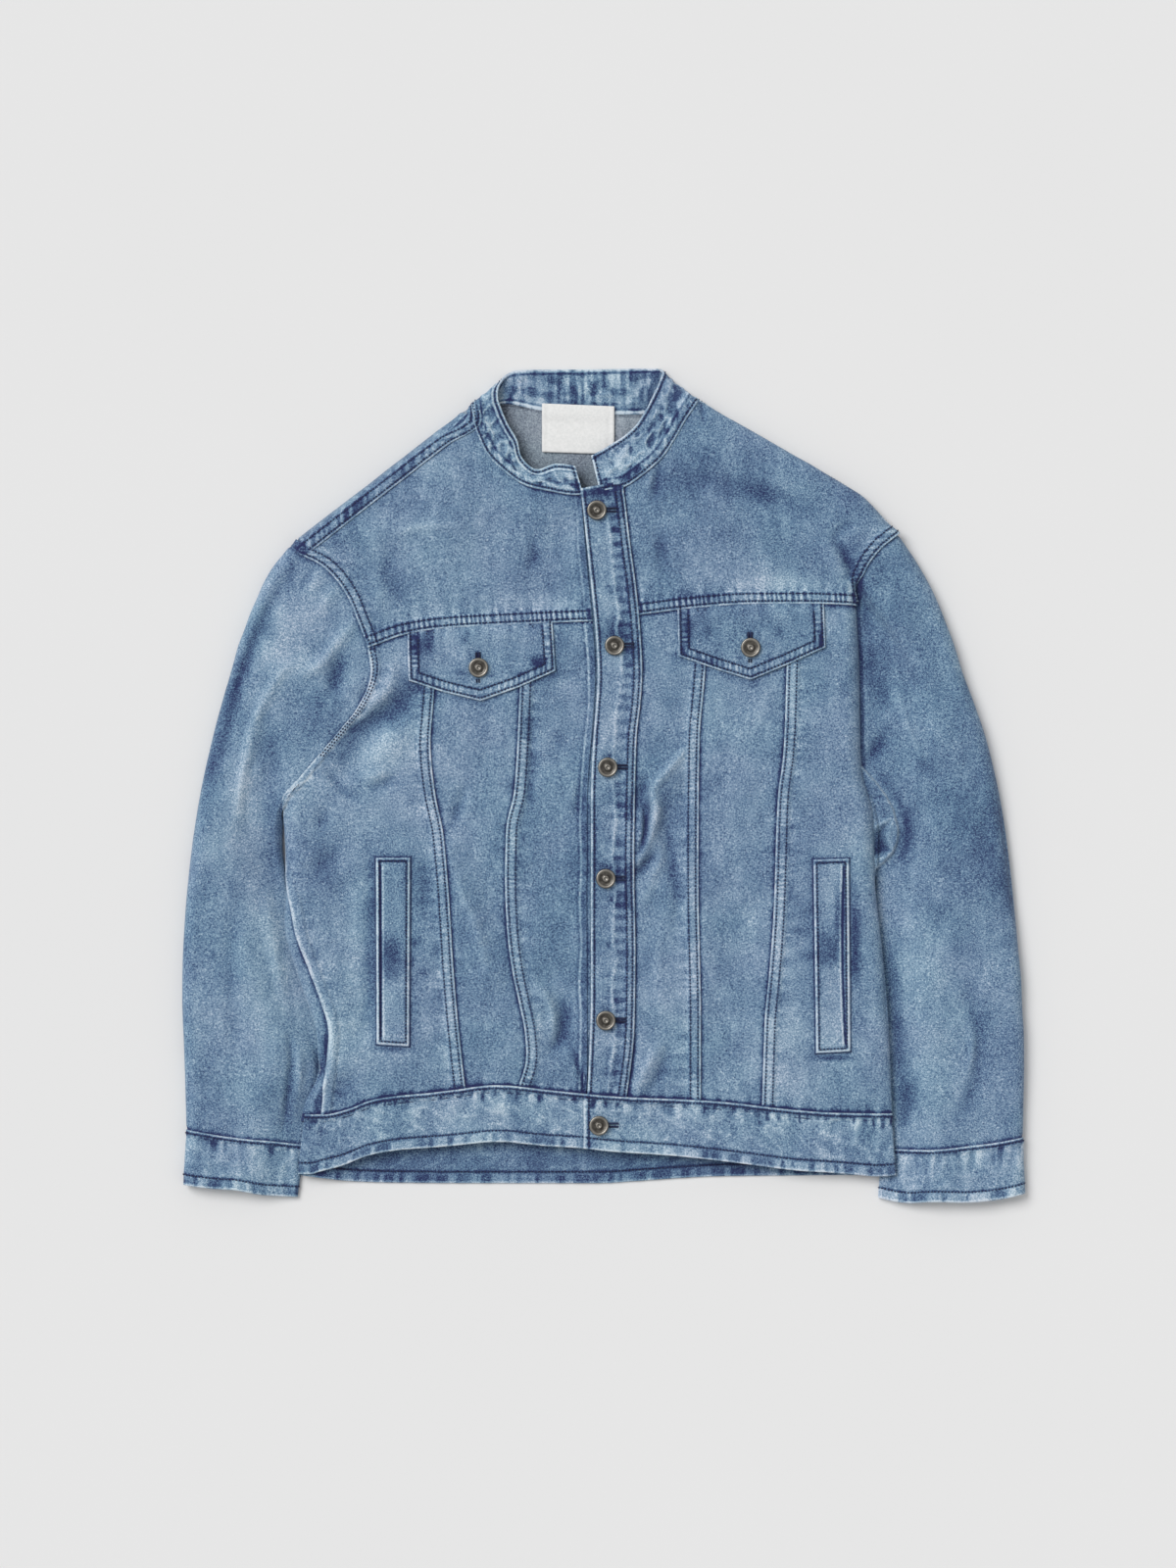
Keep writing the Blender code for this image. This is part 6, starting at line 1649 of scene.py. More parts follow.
FRONT_HEM = (
    # x, y
    (-267.8, -336.2), (-249, -334.5), (-230.3, -330.2), (-211.7, -322.5), (-184.4, -316.0),
    (-138.5, -312.4), (-90.1, -308.1), (-55.2, -311.5), (-15.3, -314.0), (8.5, -316.6),
    (67.1, -320.9), (125.8, -327.7), (164.9, -332.8), (203.2, -335.3), (242.2, -338.3),
    (253.3, -337.0),
)
BACK_HEM = (
    # x, y
    (-267.8, -336.2), (-239.7, -340.5), (-205.0, -343.8), (-101.1, -344.7), (-1.7, -344.7),
    (47.6, -341.4), (106.2, -338.5), (165, -338.0), (253.3, -337.0),
)
BAND_ROWS = 3
LEFT_END, RIGHT_END = 17.0, -17.4  # x of the two front ends, at the top
HEM_LEVEL = -337.0
BAND_THICKNESS = DOUBLED - 0.3
BAND_HEM_ROW, BAND_END_ROW, BAND_TOP_ROW = 10.0, 4.6, 2.3
BAND_BARS = 9.3


def at_waist(x):
    """Points on the seam between the fronts and the waistband."""
    x = np.asarray(x, float)
    return np.stack([x, waist_y(x)], -1)


def covering_end(x, y):
    """How far the upper end of the band stands above the front."""
    return placket_raise(x, np.maximum(y, -271)) * (1 - ease((x - 24) / 26))


def band_part(top, hem):
    """Drawn rows of the band below a line of points, from its hem up."""
    x, y = top[:, 0], top[:, 1]
    near_left, near_right = 1 - ease((x - left_x(y)) / 90), 1 - ease((right_x(y) - x) / 90)
    spread = near_left * (left_x(HEM_LEVEL) - left_x(y))
    spread += near_right * (right_x(HEM_LEVEL) - right_x(y))
    bottom = np.stack([x + spread, hem(x + spread)], 1)
    v = np.linspace(0, 1, BAND_ROWS + 1)[:, None, None]
    return blend(bottom[None], shifted(top, -SEAM_GAP / 2)[None], v)


front_hem_y, back_hem_y = Line(FRONT_HEM), Line(BACK_HEM)
left_waist = join([waist_lines[name] for name in ("left_side", "left_middle", "left_centre")])
right_waist = join([waist_lines[name] for name in ("right_centre", "right_middle", "right_side")])
upper_line = np.concatenate([at_waist([RIGHT_END, -14.6, 2.0]), right_waist])
lower_line = np.concatenate([left_waist, at_waist([-10.0, 0.0, LEFT_END])])
upper_part = laid(band_part(upper_line, front_hem_y), FRONT)
back_part = laid(band_part(back_bottom, back_hem_y)[:, ::-1][:, 1:-1], BACK)
lower_part = laid(band_part(lower_line, front_hem_y), FRONT)
upper_part[..., 2] += covering_end(upper_part[..., 0], upper_part[..., 1])
lower_part[..., 2] -= stand_drop(lower_part[..., 0], lower_part[..., 1])
band_outer = np.concatenate([upper_part, back_part, lower_part], 1)


def along_strip(fine):
    """How far along a strip each of its columns stands."""
    return np.broadcast_to(fine[..., 3].mean(0), fine.shape[:2])


def band_wear(fine, places):
    """Puckers that hang from the top seam and stand on the hem, and crinkles between."""
    x, s, hem, top = places[..., 0], along_strip(fine), fine[..., 5], fine[..., 6]
    hang = streaks(s / 5 + 0.04 * top, top / 40, 95)
    reach = 9.0 + 6.0 * swell(s / 8, 0 * s, 103)
    bars = np.sin(2 * math.pi * s / BAND_BARS + 3.2 * swell(s / 30, 0 * s, 104))
    dark = ease((bars + 0.5 * swell(s / 4, top / 30, 96) - 0.3) / 0.4) * ease((reach - top) / 4)
    hem_bars = streaks(s / 4.2, hem / 40, 97) * (1 - ease((hem - 6) / 3))
    crinkle = squiggle((s + 0.8 * hem) / 9, hem / 10, 98, 0.15) * ease((hem - 9) / 3)
    below = ease((top - 3) / 2)
    tone = 0.06 - 0.14 * ease((x - 30) / 30) + below * (0.5 * hang * np.exp(-top / 22) - 1.25 * dark)
    relief = 0.4 * hang * np.exp(-top / 14) * below + 0.3 * hem_bars + 0.4 * crinkle
    return relief, tone + 0.6 * hem_bars + 0.6 * crinkle


def inside_band(fine, inner, tone):
    """The band's inner face, a little darker where it lies in the front's shade."""
    return 0.8 * tone - 0.55


BAND_END, BAND_HEM = edge(rows=(BAND_END_ROW,), rim=2.0), edge(rows=(BAND_HEM_ROW,), bars=0.2)
BAND_TOP = {
    "bars": 0.3, "indigo": 0.1, "pale": 0.0, "rows": (BAND_TOP_ROW,), "width": 4.8, "dark": 1.5, "line": 1.3
}
formed_piece(
    "waistband", band_outer, (BAND_END, BAND_END, BAND_HEM, over(4.0, **BAND_TOP)), (620, 14), 61,
    near=(10, 10, 12, 12), lip=0, thickness=BAND_THICKNESS, wear=band_wear, behind=inside_band, rests=(),
)

# ---------------------------------------------------------------- cuffs
# A doubled band of denim round each wrist. One row of stitches holds it over the sleeve's
# end, and another runs along its hem.

CUFF_HEM_ROW = 9.4


def cuff_wear(fine, places):
    """Pale streaks and dark puckers below the seam, and bars on the hem."""
    x, hem, top = places[..., 0], fine[..., 6], fine[..., 5]
    hem_bars = streaks(x / 4.2, hem / 40, 99) * (1 - ease((hem - 7) / 3))
    crinkle = squiggle(x / 8, hem / 9, 100, 0.2)
    below = ease((top - 3) / 2)
    hang = ease((swell(x / 7, top / 30, 101) - 0.15) / 0.3) * np.exp(-((top / 14) ** 2)) * below
    pale = streaks(x / 5 + 0.03 * top, top / 40, 102) * np.exp(-top / 26) * below
    tone = 0.06 + 0.12 * ease(x) + 0.55 * hem_bars + 0.35 * crinkle - 0.8 * hang + 0.6 * pale
    return 0.3 * hem_bars + 0.35 * crinkle + 0.3 * pale, tone


CUFF_ENDS = (over(3.0, **BAND_TOP), edge(rows=(CUFF_HEM_ROW,), bars=0.3))
for name, coarse, side, seed in (("left_cuff", left_cuff, -1, 71), ("right_cuff", right_cuff, 1, 72)):
    tube_piece(
        name, coarse, side, CUFF_ENDS, (230, 14), seed, 13, lip=12, thickness=BAND_THICKNESS, wear=cuff_wear
    )

# ---------------------------------------------------------------- collar
# A doubled stand band of denim round the neck, sewn over the yokes and the back. Pressed
# flat, its back lies on the surface with the inner face up, and its ends meet at the placket.

COLLAR_ROWS = 3
COLLAR_ROW = 3.0
COLLAR_RIGHT_END = ((-4.2, 257.0, 17.4), (5.5, 258.7, 17.0))
COLLAR_LEFT_END = ((-18.5, 254.3, 16.9),)
COLLAR_TOP = (
    # x, y, z of the free edge, one for each point of the neck seam
    (-11.0, 285.2, 14.5), (-2.0, 290.0, 14.3), (6.8, 295.4, 14.0), (18.5, 303.0, 13.7),
    (28.0, 312.0, 13.5), (35.0, 322.5, 13.2), (42.0, 336.0, 12.5), (46.5, 345.5, 11.5),
    (49.8, 354.0, 8.5), (51.3, 359.6, 4.2), (48.0, 361.2, 0.2), (38.0, 361.4, 0),
    (22.0, 361.2, 0), (-13.6, 360.6, 0), (-45.0, 360.4, 0), (-66.0, 360.2, 0),
    (-81.0, 358.3, 0.3), (-86.5, 354.5, 4.5), (-90.0, 349.0, 9.0), (-91.6, 342.0, 11.5),
    (-91.4, 335.0, 12.6), (-88.5, 326.0, 13.0), (-83.0, 313.0, 13.3), (-74.8, 298.8, 13.6),
    (-70.8, 284.0, 13.9), (-59.5, 273.8, 14.2), (-41.0, 278.3, 14.4), (-27.5, 276.8, 14.6),
    (-24.6, 276.2, 14.6),
)

collar_behind = shifted(join([neck_turn, back_neck]), SEAM_GAP / 2)[::-1][1:-1]
collar_base = np.concatenate([
    np.array(COLLAR_RIGHT_END),
    laid(shifted(right_neck_points, SEAM_GAP / 2), FRONT),
    laid(collar_behind, BACK),
    laid(shifted(left_neck_points, SEAM_GAP / 2), FRONT),
    np.array(COLLAR_LEFT_END),
])
collar_share = np.linspace(0, 1, COLLAR_ROWS + 1)[:, None, None]
collar_outer = blend(collar_base, np.array(COLLAR_TOP), collar_share)


def collar_wear(fine, places):
    """Crinkled cloth: pale worn ridges over indigo hollows, the left part with a doubled edge."""
    x, s, base, top = places[..., 0], along_strip(fine), fine[..., 5], fine[..., 6]
    ridges = squiggle((s + 0.5 * base) / 8, (base - 0.3 * s) / 9, 102, 0.22)
    hollows = ease((swell(s / 6, base / 6, 103) + 0.02) / 0.35)
    inside = ease((top - 4) / 2) * ease((base - 3) / 2)
    left = ease((-18 - x) / 6)
    tone = (0.7 * ridges - 0.85 * hollows * (1 - ridges) + 0.06 + 0.2 * ease(-x / 20)) * inside
    tone = tone + left * (1.4 * bump(top - 4.8, 0.9) - 0.9 * bump(top - 6.8, 1.0))
    return (1.0 * ridges - 0.7 * hollows) * inside - 0.3 * left * bump(top - 3.2, 1), tone


def inside_collar(fine, inner, tone):
    """The band's inner face: streaks up it, painted shade towards its left end under the collar's left part,
    a stitch below its top and a piped seam at its base.
    """
    x, base, top = inner[..., 0], fine[..., 5], fine[..., 6]
    pale = streaks(x / 2.6, base / 16, 105) * (0.75 + 0.4 * swell(x / 12, base / 9, 107))
    hollows = ease((swell(x / 9, base / 7, 106) + 0.05) / 0.35)
    # the darkening towards the left end is painted shade under the collar's left part
    tone = 0.36 + 0.8 * pale - 0.72 * hollows - 0.6 * ease((-74 - x) / 10)
    tone = tone + 1.2 * bump(top - 0.6, 1.0) - 1.3 * bump(top - 3.6, 1.0)
    return tone - 1.2 * bump(base - 4.4, 1.1) + 1.5 * bump(base - 2.2, 1.0)


collar_borders = (edge(), edge(), over(3.0, bars=0.5), edge(rows=(COLLAR_ROW,), bars=0.5))
formed_piece(
    "collar", collar_outer, collar_borders, (270, 18), 81, near=(10, 10, 12, 12), lip=0,
    thickness=BAND_THICKNESS, wear=collar_wear, behind=inside_collar,
)

# ---------------------------------------------------------------- flaps
# A pointed flap of doubled denim on each chest, topstitched in two rows. Its top goes under
# the yoke's border, and a button holds it above its point.

RESTING_GAP = 0.4  # between it and the front
FLAP_ROWS = (2.3, 9.0)
FLAP_TUCK = 3.6  # how far its top ends below its upper points
FLAP_CELLS = (149, 61)
FLAP_STAINS = {
    # name: x, y, reach across, reach along, tone
    "left_flap": (
        (-162, 121, 5, 11, -1.5), (-150, 122, 7, 8, -0.9), (-57, 106, 7, 5, -1.3), (-72, 96, 7, 3, -0.8),
        (-124, 97, 6, 4, -0.8), (-96, 95, 4, 3, -0.7), (-120, 127, 3, 5, -0.6), (-108.5, 112, 2.4, 3.4, -2.0),
    ),
    "right_flap": (
        (188, 122, 5, 14, -1.4), (68, 112, 4, 10, -1.1), (73, 138, 4, 10, -0.9), (92, 106, 10, 3, -0.8),
        (168, 106, 9, 4, -0.9), (90, 132, 4, 6, -0.6), (150, 134, 5, 6, -0.5), (126, 129.4, 2.4, 3.4, -2.0),
    ),
}


def patched(name, plan, distances, seed, wear, lift, rests):
    """A doubled piece on the front, with its own distances from its borders."""
    normals = outward(plan, FRONT)
    places = laid(plan, FRONT) + normals * lift[..., None]
    fine = np.concatenate([plan, np.stack(distances, -1)], -1)
    sew(name, fine, 2, places, normals, (PLAIN,) * 4, seed, wear, thickness=DOUBLED, rests=rests)


def to_line(points, *line):
    return distance_to(points, np.array(line, float))


for seed, (name, (lower, upper)) in enumerate(FLAPS.items(), 1):
    u, v = (np.linspace(0, 1, cells + 1) for cells in FLAP_CELLS)
    keys = np.linspace(0, 1, len(lower))
    low, high = (
        np.stack([np.interp(u, keys, column) for column in zip(*points)], 1) for points in (lower, upper)
    )
    plan = blend(low, high - (0, FLAP_TUCK), v[:, None, None])
    sides = ((lower[0], upper[0]), (lower[-1], upper[-1]), lower, upper)
    distances = [to_line(plan, *side) for side in sides]
    away = np.min(distances[:3], axis=0)

    def flap_wear(fine, places, away=away, seed=seed, stains=FLAP_STAINS[name]):
        """Puckers between the two rows of stitches, streaks from the top, painted shade along the top under
        the yoke's border, and dark stains.
        """
        x, y, top = places[..., 0], places[..., 1], fine[..., 5]
        relief, tone = turned(away, x + y, 110 + seed, rows=FLAP_ROWS, bars=0, indigo=0)
        between = ease((away - 2.6) / 1.0) * (1 - ease((away - 8.2) / 1.0))
        bars = bars_along(np.where(fine[..., 4] < 12, x, y), 118 + seed)
        hang = streaks(x / 4.5, top / 50, 114 + seed) * np.exp(-top / 14)
        crinkle = squiggle(x / 14, y / 10, 116 + seed, 0.15)
        tone = tone - 0.28 * (seed - 1) + between * (0.12 + 0.75 * bars) - 0.5 * hang * (1 - between)
        # the darkening along the top is painted shade, where the flap goes under the yoke's border
        tone = add_stains_and_shade(tone + 0.2 * crinkle - 0.5 * bump(top, 4), x, y, stains, hold=ease(away / 2))
        return relief + 0.25 * bars * between - 0.3 * hang + 0.2 * crinkle, tone

    lift = RESTING_GAP + DOUBLED - 2.0 * (1 - ease(distances[3] / 14))
    patched(name, plan, distances, 120 + seed, flap_wear, lift, [name.replace("flap", "middle")])

# ---------------------------------------------------------------- welts
# A doubled welt of denim at each hand pocket, stitched down all round. The pocket is shut,
# and the bag behind it doesn't show and isn't made.

SKIRT = 1.5  # width of the pressed seam round a welt
WELT_ROW = 2.6
WELT_CELLS = (39, 179)
WELT_STAINS = (
    ((-184, -149, 10, 22, -0.95),),
    ((193, -141, 11, 14, -0.75), (203, -110, 4, 20, -0.6)),
)
for seed, (name, corners) in enumerate(WELTS.items(), 1):
    low_left, low_right, high_right, high_left = (np.array(corner) for corner in corners)
    out_x, out_y = np.array((SKIRT, 0)), np.array((0, SKIRT))
    u, v = (np.linspace(0, 1, cells + 1) for cells in WELT_CELLS)
    low = blend(low_left - out_x - out_y, low_right + out_x - out_y, u[:, None])
    high = blend(high_left - out_x + out_y, high_right + out_x + out_y, u[:, None])
    plan = blend(low, high, v[:, None, None])
    sides = ((low_left, high_left), (low_right, high_right), (low_left, low_right), (high_left, high_right))
    distances = [to_line(plan, *side) for side in sides]
    inside = inside_ring(plan[..., 0], plan[..., 1], list(corners))
    away = np.min(distances, axis=0) * np.where(inside, 1, -1)

    def welt_wear(fine, places, away=away, seed=seed):
        """The slit, painted dark as the shade in its opening, with its pale lip, the row of stitches and a
        few stains.
        """
        x, y, low, high = places[..., 0], places[..., 1], fine[..., 4], fine[..., 5]
        edge_wear = {"rows": (WELT_ROW,), "bars": 0.2, "indigo": 0.2, "width": 5, "dark": 0.9}
        relief, tone = turned(np.abs(away), y, 130 + seed, **edge_wear)
        opening, from_end = fine[..., 1 + seed], ease((np.minimum(low, high) - 2.5) / 5)
        bend = 3.6 + 2.2 * np.sin(math.pi * np.clip(low / 170, 0, 1)) * (seed - 1)
        slit = bump(opening - bend, 0.95) * from_end
        lip = 1.1 * bump(opening - bend - 2.0, 0.8) * from_end
        rim = 0.6 * bump(opening - 1.0, 0.9) * from_end
        # the slit is painted dark: the shade inside the pocket's opening
        tone = np.where(away < 0, 0, tone) + 0.05 - 2.1 * slit + lip + rim
        tone = tone - 1.6 * (1 - ease((away + 0.9) / 0.9))
        tone = add_stains_and_shade(tone, x, y, WELT_STAINS[seed - 1], 4, ease(away / 2))
        tone = tone - 0.9 * bump(high - 2, 1.6) * ease((away + 1) / 2)
        return relief - 1.0 * slit + 0.2 * squiggle(x / 9, y / 16, 134, 0.2), tone

    lift = 0.5 + (RESTING_GAP + DOUBLED - 0.5) * ease((away + 1.0) / 1.4)
    patched(name, plan, distances, 140 + seed, welt_wear, lift, [name.replace("welt", "side")])

# ---------------------------------------------------------------- label
# A label of plain white woven cloth inside the back neck. It is held down near both ends,
# and it is bare.

LABEL_CORNERS = ((-53.5, 289.0), (9.3, 287.0), (9.3, 328.5), (-53.5, 331.1))
LABEL_THICKNESS = 0.8
LABEL_LEVEL = ((280, 2.0), (317, 2.0), (322.5, 3.2), (340, 3.2))  # y, height of its back
LABEL_ENDS = (0.08, 0.93)  # shares across it where it is held down
LABEL_COLOURS = ((0.3, (228, 229, 228)), (0.7, (240, 240, 239)))

rows, columns = np.linspace(0, 1, 6)[:, None, None], np.linspace(0, 1, 3)[None, :, None]
low_left, low_right, high_right, high_left = (np.array(corner) for corner in LABEL_CORNERS)
label_plan = blend(blend(low_left, low_right, columns), blend(high_left, high_right, columns), rows)
label_level = np.interp(label_plan[..., 1], *zip(*LABEL_LEVEL)) + LABEL_THICKNESS
label_outer = np.concatenate([label_plan, label_level[..., None]], -1)
label_grid = respaced(respaced(label_outer, 1, 3, 0, 0, 40), 0, 3, 0, 0, 30)[..., :3]
waves = 0.5 + 0.3 * swell(label_grid[..., 0] / 22, label_grid[..., 1] / 30, 150)
across = np.linspace(0, 1, label_grid.shape[1])[None, :]
for end in LABEL_ENDS:
    waves = waves - 0.5 * bump(across - end, 0.014)
label_places = label_grid + np.array((0, 0, 1.0)) * waves[..., None]

made = Finish("label_cloth", 0.75)
weave = made.add("TexWave", {"bands_direction": "X"}, Vector=made.place(), Scale=700.0, Distortion=0.5)
relief = made.add("Bump", Height=weave.outputs["Fac"], Strength=0.2, Distance=0.0003)
colour = made.mottled(made.noise(made.place(), 500), *LABEL_COLOURS)
made.shade(Base_Color=colour, Normal=relief.outputs["Normal"])
label_beneath = label_places - (0, 0, LABEL_THICKNESS * 0.6)
label = shell("neck_label_cloth", label_places, label_beneath, 0 * waves, [made.material])
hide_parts("neck_label")
declare(label_grid)

# ---------------------------------------------------------------- buttons
# Eight turned metal buttons in antique nickel, with a raised rim and a hollow face: five on
# the placket, one on the waistband and one on each flap.

FLAP_BUTTONS = {"left_flap_button": (-108, 101.6), "right_flap_button": (126.6, 118.9)}
BUTTON_CURVE = (
    # radius, height, tone
    (0.01, 2.0, 0.1), (0.7, 2.05, 0.3), (1.3, 2.5, 0.1), (1.9, 2.75, 0.4), (2.4, 2.55, 0.2),
    (2.9, 1.95, 0.0), (3.6, 1.8, 0.0), (5.2, 1.85, 0.05), (5.9, 2.1, 0.1), (6.4, 2.75, 0.3),
    (7.1, 3.1, 0.36), (7.9, 2.95, 0.25), (8.4, 2.4, 0.1), (8.5, 1.7, 0), (8.2, 0.9, 0), (7.6, 0.3, 0),
    (6.0, 0.05, 0), (0.01, 0.0, 0),
)
BUTTON_SIDES = 48
BUTTON_GAP = 0.35
METAL_COLOURS = ((0.2, (70, 67, 63)), (0.8, (182, 177, 168)))

made = Finish("button_metal", 0.34)
place = made.place()
patina = made.math("ADD", made.tone(), made.math("MULTIPLY", made.noise(place, 260, 3, 0.6), 0.4))
made.shade(
    Base_Color=made.mottled(patina, *METAL_COLOURS), Metallic=0.9,
    Roughness=made.math("MULTIPLY_ADD", made.noise(place, 900), 0.3, 0.22),
)
button_metal = made.material


def metal_button(node, place, normal):
    """A turned metal button of its own for a CAD one."""
    curve = np.array(BUTTON_CURVE)
    angles = np.linspace(0, 2 * math.pi, BUTTON_SIDES + 1)[:-1]
    ring = np.stack([np.cos(angles), np.sin(angles)], 1)
    heights = np.repeat(curve[:, None, 1:2], BUTTON_SIDES, 1)
    points = np.concatenate([curve[:, None, :1] * ring, heights], -1)
    index = np.arange(len(curve) * BUTTON_SIDES).reshape(len(curve), BUTTON_SIDES)
    faces = quads(np.concatenate([index, index[:, :1]], 1))[:, ::-1]
    turn = Vector((0, 0, 1)).rotation_difference(Vector(normal)).to_matrix()
    points = points.reshape(-1, 3) @ np.array(turn).T + np.asarray(place)
    piece = mesh_object(node + "_metal", points, faces, button_metal)
    give_tone(piece, np.repeat(curve[:, 2], BUTTON_SIDES))
    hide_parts(node)


def on_cloth(name, x, y, reach=3):
    """The place and direction on top of a piece's cloth, seen from above."""
    outer, normals, _, _ = sewn[name]
    near = (outer[..., 0] - x) ** 2 + (outer[..., 1] - y) ** 2 < reach**2
    nearest = np.unravel_index(np.argmax(np.where(near, outer[..., 2], -99)), near.shape)
    return outer[nearest], normals[nearest]


BUTTONED = [
    # node, the piece it fastens, place
    *((f"button_{n}", "waistband" if n == 6 else "placket", at) for n, at in enumerate(FRONT_BUTTONS, 1)),
    *((name, name.replace("_button", ""), at) for name, at in FLAP_BUTTONS.items()),
]
for node, cloth, (x, y) in BUTTONED:
    place, normal = on_cloth(cloth, x, y)
    facing = (0, 0, 1) if cloth in ("placket", "waistband") else normal
    metal_button(node, (x, y, place[2] + BUTTON_GAP), facing)

# ---------------------------------------------------------------- buttonholes
# Each slit is bound with close stitches of navy sewing thread, and runs from under its button:
# across the placket and the waistband, and up the flaps.

THREAD_COLOURS = ((0.45, (22, 28, 62)), (0.75, (52, 66, 104)))
THREAD_RISE = (-0.25, 0.8, 0.8, -0.25)  # shares of its height along a stitch
THREAD_SPREAD = (0.5, 1, 1, 0.5)  # shares of its width
FLOOR_GAP = 0.005
BINDING_STEP = 0.8  # from one stitch of a bound slit to the next

made = Finish("thread", 0.7)
made.shade(Base_Color=made.mottled(made.noise(made.place(), 90, 3, 0.6), *THREAD_COLOURS))
navy_thread = made.material


def thread(name, lines, seed, pitch=2.9, length=1.85, width=1.35, height=0.55):
    """Stitches along lines of places: each rises out of the cloth, runs on and sinks in again."""
    made = []
    rng = np.random.default_rng(seed)
    for line, facing in lines:
        run = run_along(line)
        count = max(1, int(run[-1] / pitch))
        first = (np.arange(count) + 0.1) * run[-1] / count
        at = first[:, None] + np.linspace(0, 1, 4) * length * rng.uniform(0.9, 1.05, (count, 1))
        middle, up, ahead = (
            np.stack([np.interp(at, run, column) for column in values.T], -1)
            for values in (line, facing, np.gradient(line, run, axis=0))
        )
        ahead /= np.linalg.norm(ahead, axis=-1, keepdims=True)
        side = np.cross(up, ahead)
        middle = middle + up * (np.array(THREAD_RISE) * height)[None, :, None]
        wide = np.array(THREAD_SPREAD)[None, :, None] * width / 2
        ring = [middle + side * wide, middle + up * wide, middle - side * wide, middle - up * wide]
        made.append(np.stack(ring, 2))
    rings = np.concatenate(made)
    rings[..., 2] = np.maximum(rings[..., 2], FLOOR_GAP)
    index = np.arange(rings[..., 0].size).reshape(rings.shape[:3])
    nearer, further = index[:, :-1], index[:, 1:]
    corners = [nearer, np.roll(nearer, -1, 2), np.roll(further, -1, 2), further]
    mesh_object(name, rings.reshape(-1, 3), np.stack(corners, -1).reshape(-1, 4), navy_thread)


def bound_slit(name, start, end, half):
    """Short stitches across both sides of a slit in a piece."""
    start, end = np.array(start), np.array(end)
    length = math.hypot(*(end - start))
    along = (end - start) / length
    across = np.array((-along[1], along[0]))
    lines = []
    for step in np.arange(0, length, BINDING_STEP):
        at = start + along * step
        place, normal = on_cloth(name, *at, 2)
        for side in (-1, 1):
            ends = [at + across * side * reach for reach in (0.1, half)]
            line = np.array([(*spot, place[2] + 0.25) for spot in np.linspace(ends[0], ends[1], 3)])
            lines.append((line, np.repeat(normal[None], 3, 0)))
    return lines


binding = []
for node, cloth, (x, y) in BUTTONED:
    if cloth.endswith("flap"):
        binding += bound_slit(cloth, (x - 0.5, y + 7.5), (x - 0.5, y + 13.5), 2.8)
        binding += bound_slit(cloth, (x - 0.5, y - 12.5), (x - 0.5, y - 9.5), 1.6)
    else:
        binding += bound_slit(cloth, (x + 7.0, y + 0.3), (x + 17.0, y + 0.3), 2.4)
thread("buttonhole_stitches", binding, 9, pitch=3.0, length=2.2, width=0.9, height=0.4)

# ---------------------------------------------------------------- stitches
# The same navy thread runs in two rows along most seams and in one along most folded edges.
# Each stitch is a short stretch of it that rises out of the cloth.

LEFT, RIGHT, BOTTOM, TOP = range(4)


def seam_line(name, border, distance, depth=0.0):
    """Stretches of a line at a distance from a piece's border, outside what covers it."""
    outer, normals, distances, kinds = sewn[name]
    if depth:
        outer, normals = outer - depth * normals, -normals
    axis = 1 if border < 2 else 0
    middle = distances.shape[1 - axis] // 2
    across = distances.take(middle, 1 - axis)[:, border]
    at = int(np.argmin(abs(across - distance)))
    line, facing, away = (grid.take(at, axis) for grid in (outer, normals, distances))
    shown = np.ones(len(line), bool)
    for k, (kind, _, options) in enumerate(kinds):
        if kind is covered:
            shown &= away[:, k] > options["hidden"] + 0.3
        elif (k < 2) != (border < 2):
            shown &= away[:, k] > 1.2
    return [(line[shown], facing[shown])] if shown.sum() > 4 else []


def rows_of(*stretches):
    """The lines of stitches for stretches of name, border and distances from it."""
    return [
        line for name, border, distances in stretches for distance in distances
        for line in seam_line(name, border, distance)
    ]


def inset(name, lines):
    """Lines of places on a piece, for lines seen from above."""
    found = []
    for start, end in lines:
        steps = np.linspace(0, 1, int(math.hypot(end[0] - start[0], end[1] - start[1]) / 2) + 2)
        plan = blend(np.array(start), np.array(end), steps[:, None])
        spots = [on_cloth(name, x, y, 2) for x, y in plan]
        line = np.array([(x, y, place[2]) for (x, y), (place, _) in zip(plan, spots)])
        found.append((line, np.array([normal for _, normal in spots])))
    return found


def drawn_in(corners, amount):
    """The sides of a ring of corners, drawn in by an amount on every side."""
    corners = np.asarray(corners, float)
    ahead = np.roll(corners, -1, 0) - corners
    ahead /= np.linalg.norm(ahead, axis=1, keepdims=True)
    inward = np.stack([-ahead[:, 1], ahead[:, 0]], 1)
    area = np.sum(corners[:, 0] * np.roll(corners[:, 1], -1) - np.roll(corners[:, 0], -1) * corners[:, 1])
    inward *= math.copysign(1, area)
    before = np.roll(inward, 1, 0)
    moved = corners + (inward + before) * amount / (1 + np.sum(inward * before, 1, keepdims=True))
    return list(zip(moved, np.roll(moved, -1, 0)))


flap_lines = []
for name, (lower, upper) in FLAPS.items():
    for row in FLAP_ROWS:
        sides = drawn_in([*lower, upper[-1], upper[0]], row)
        del sides[len(lower)]
        flap_lines += inset(name, sides)
thread("flap_stitches", flap_lines, 10)
welt_lines = [line for name, corners in WELTS.items() for line in inset(name, drawn_in(corners, WELT_ROW))]
thread("welt_stitches", welt_lines, 11)

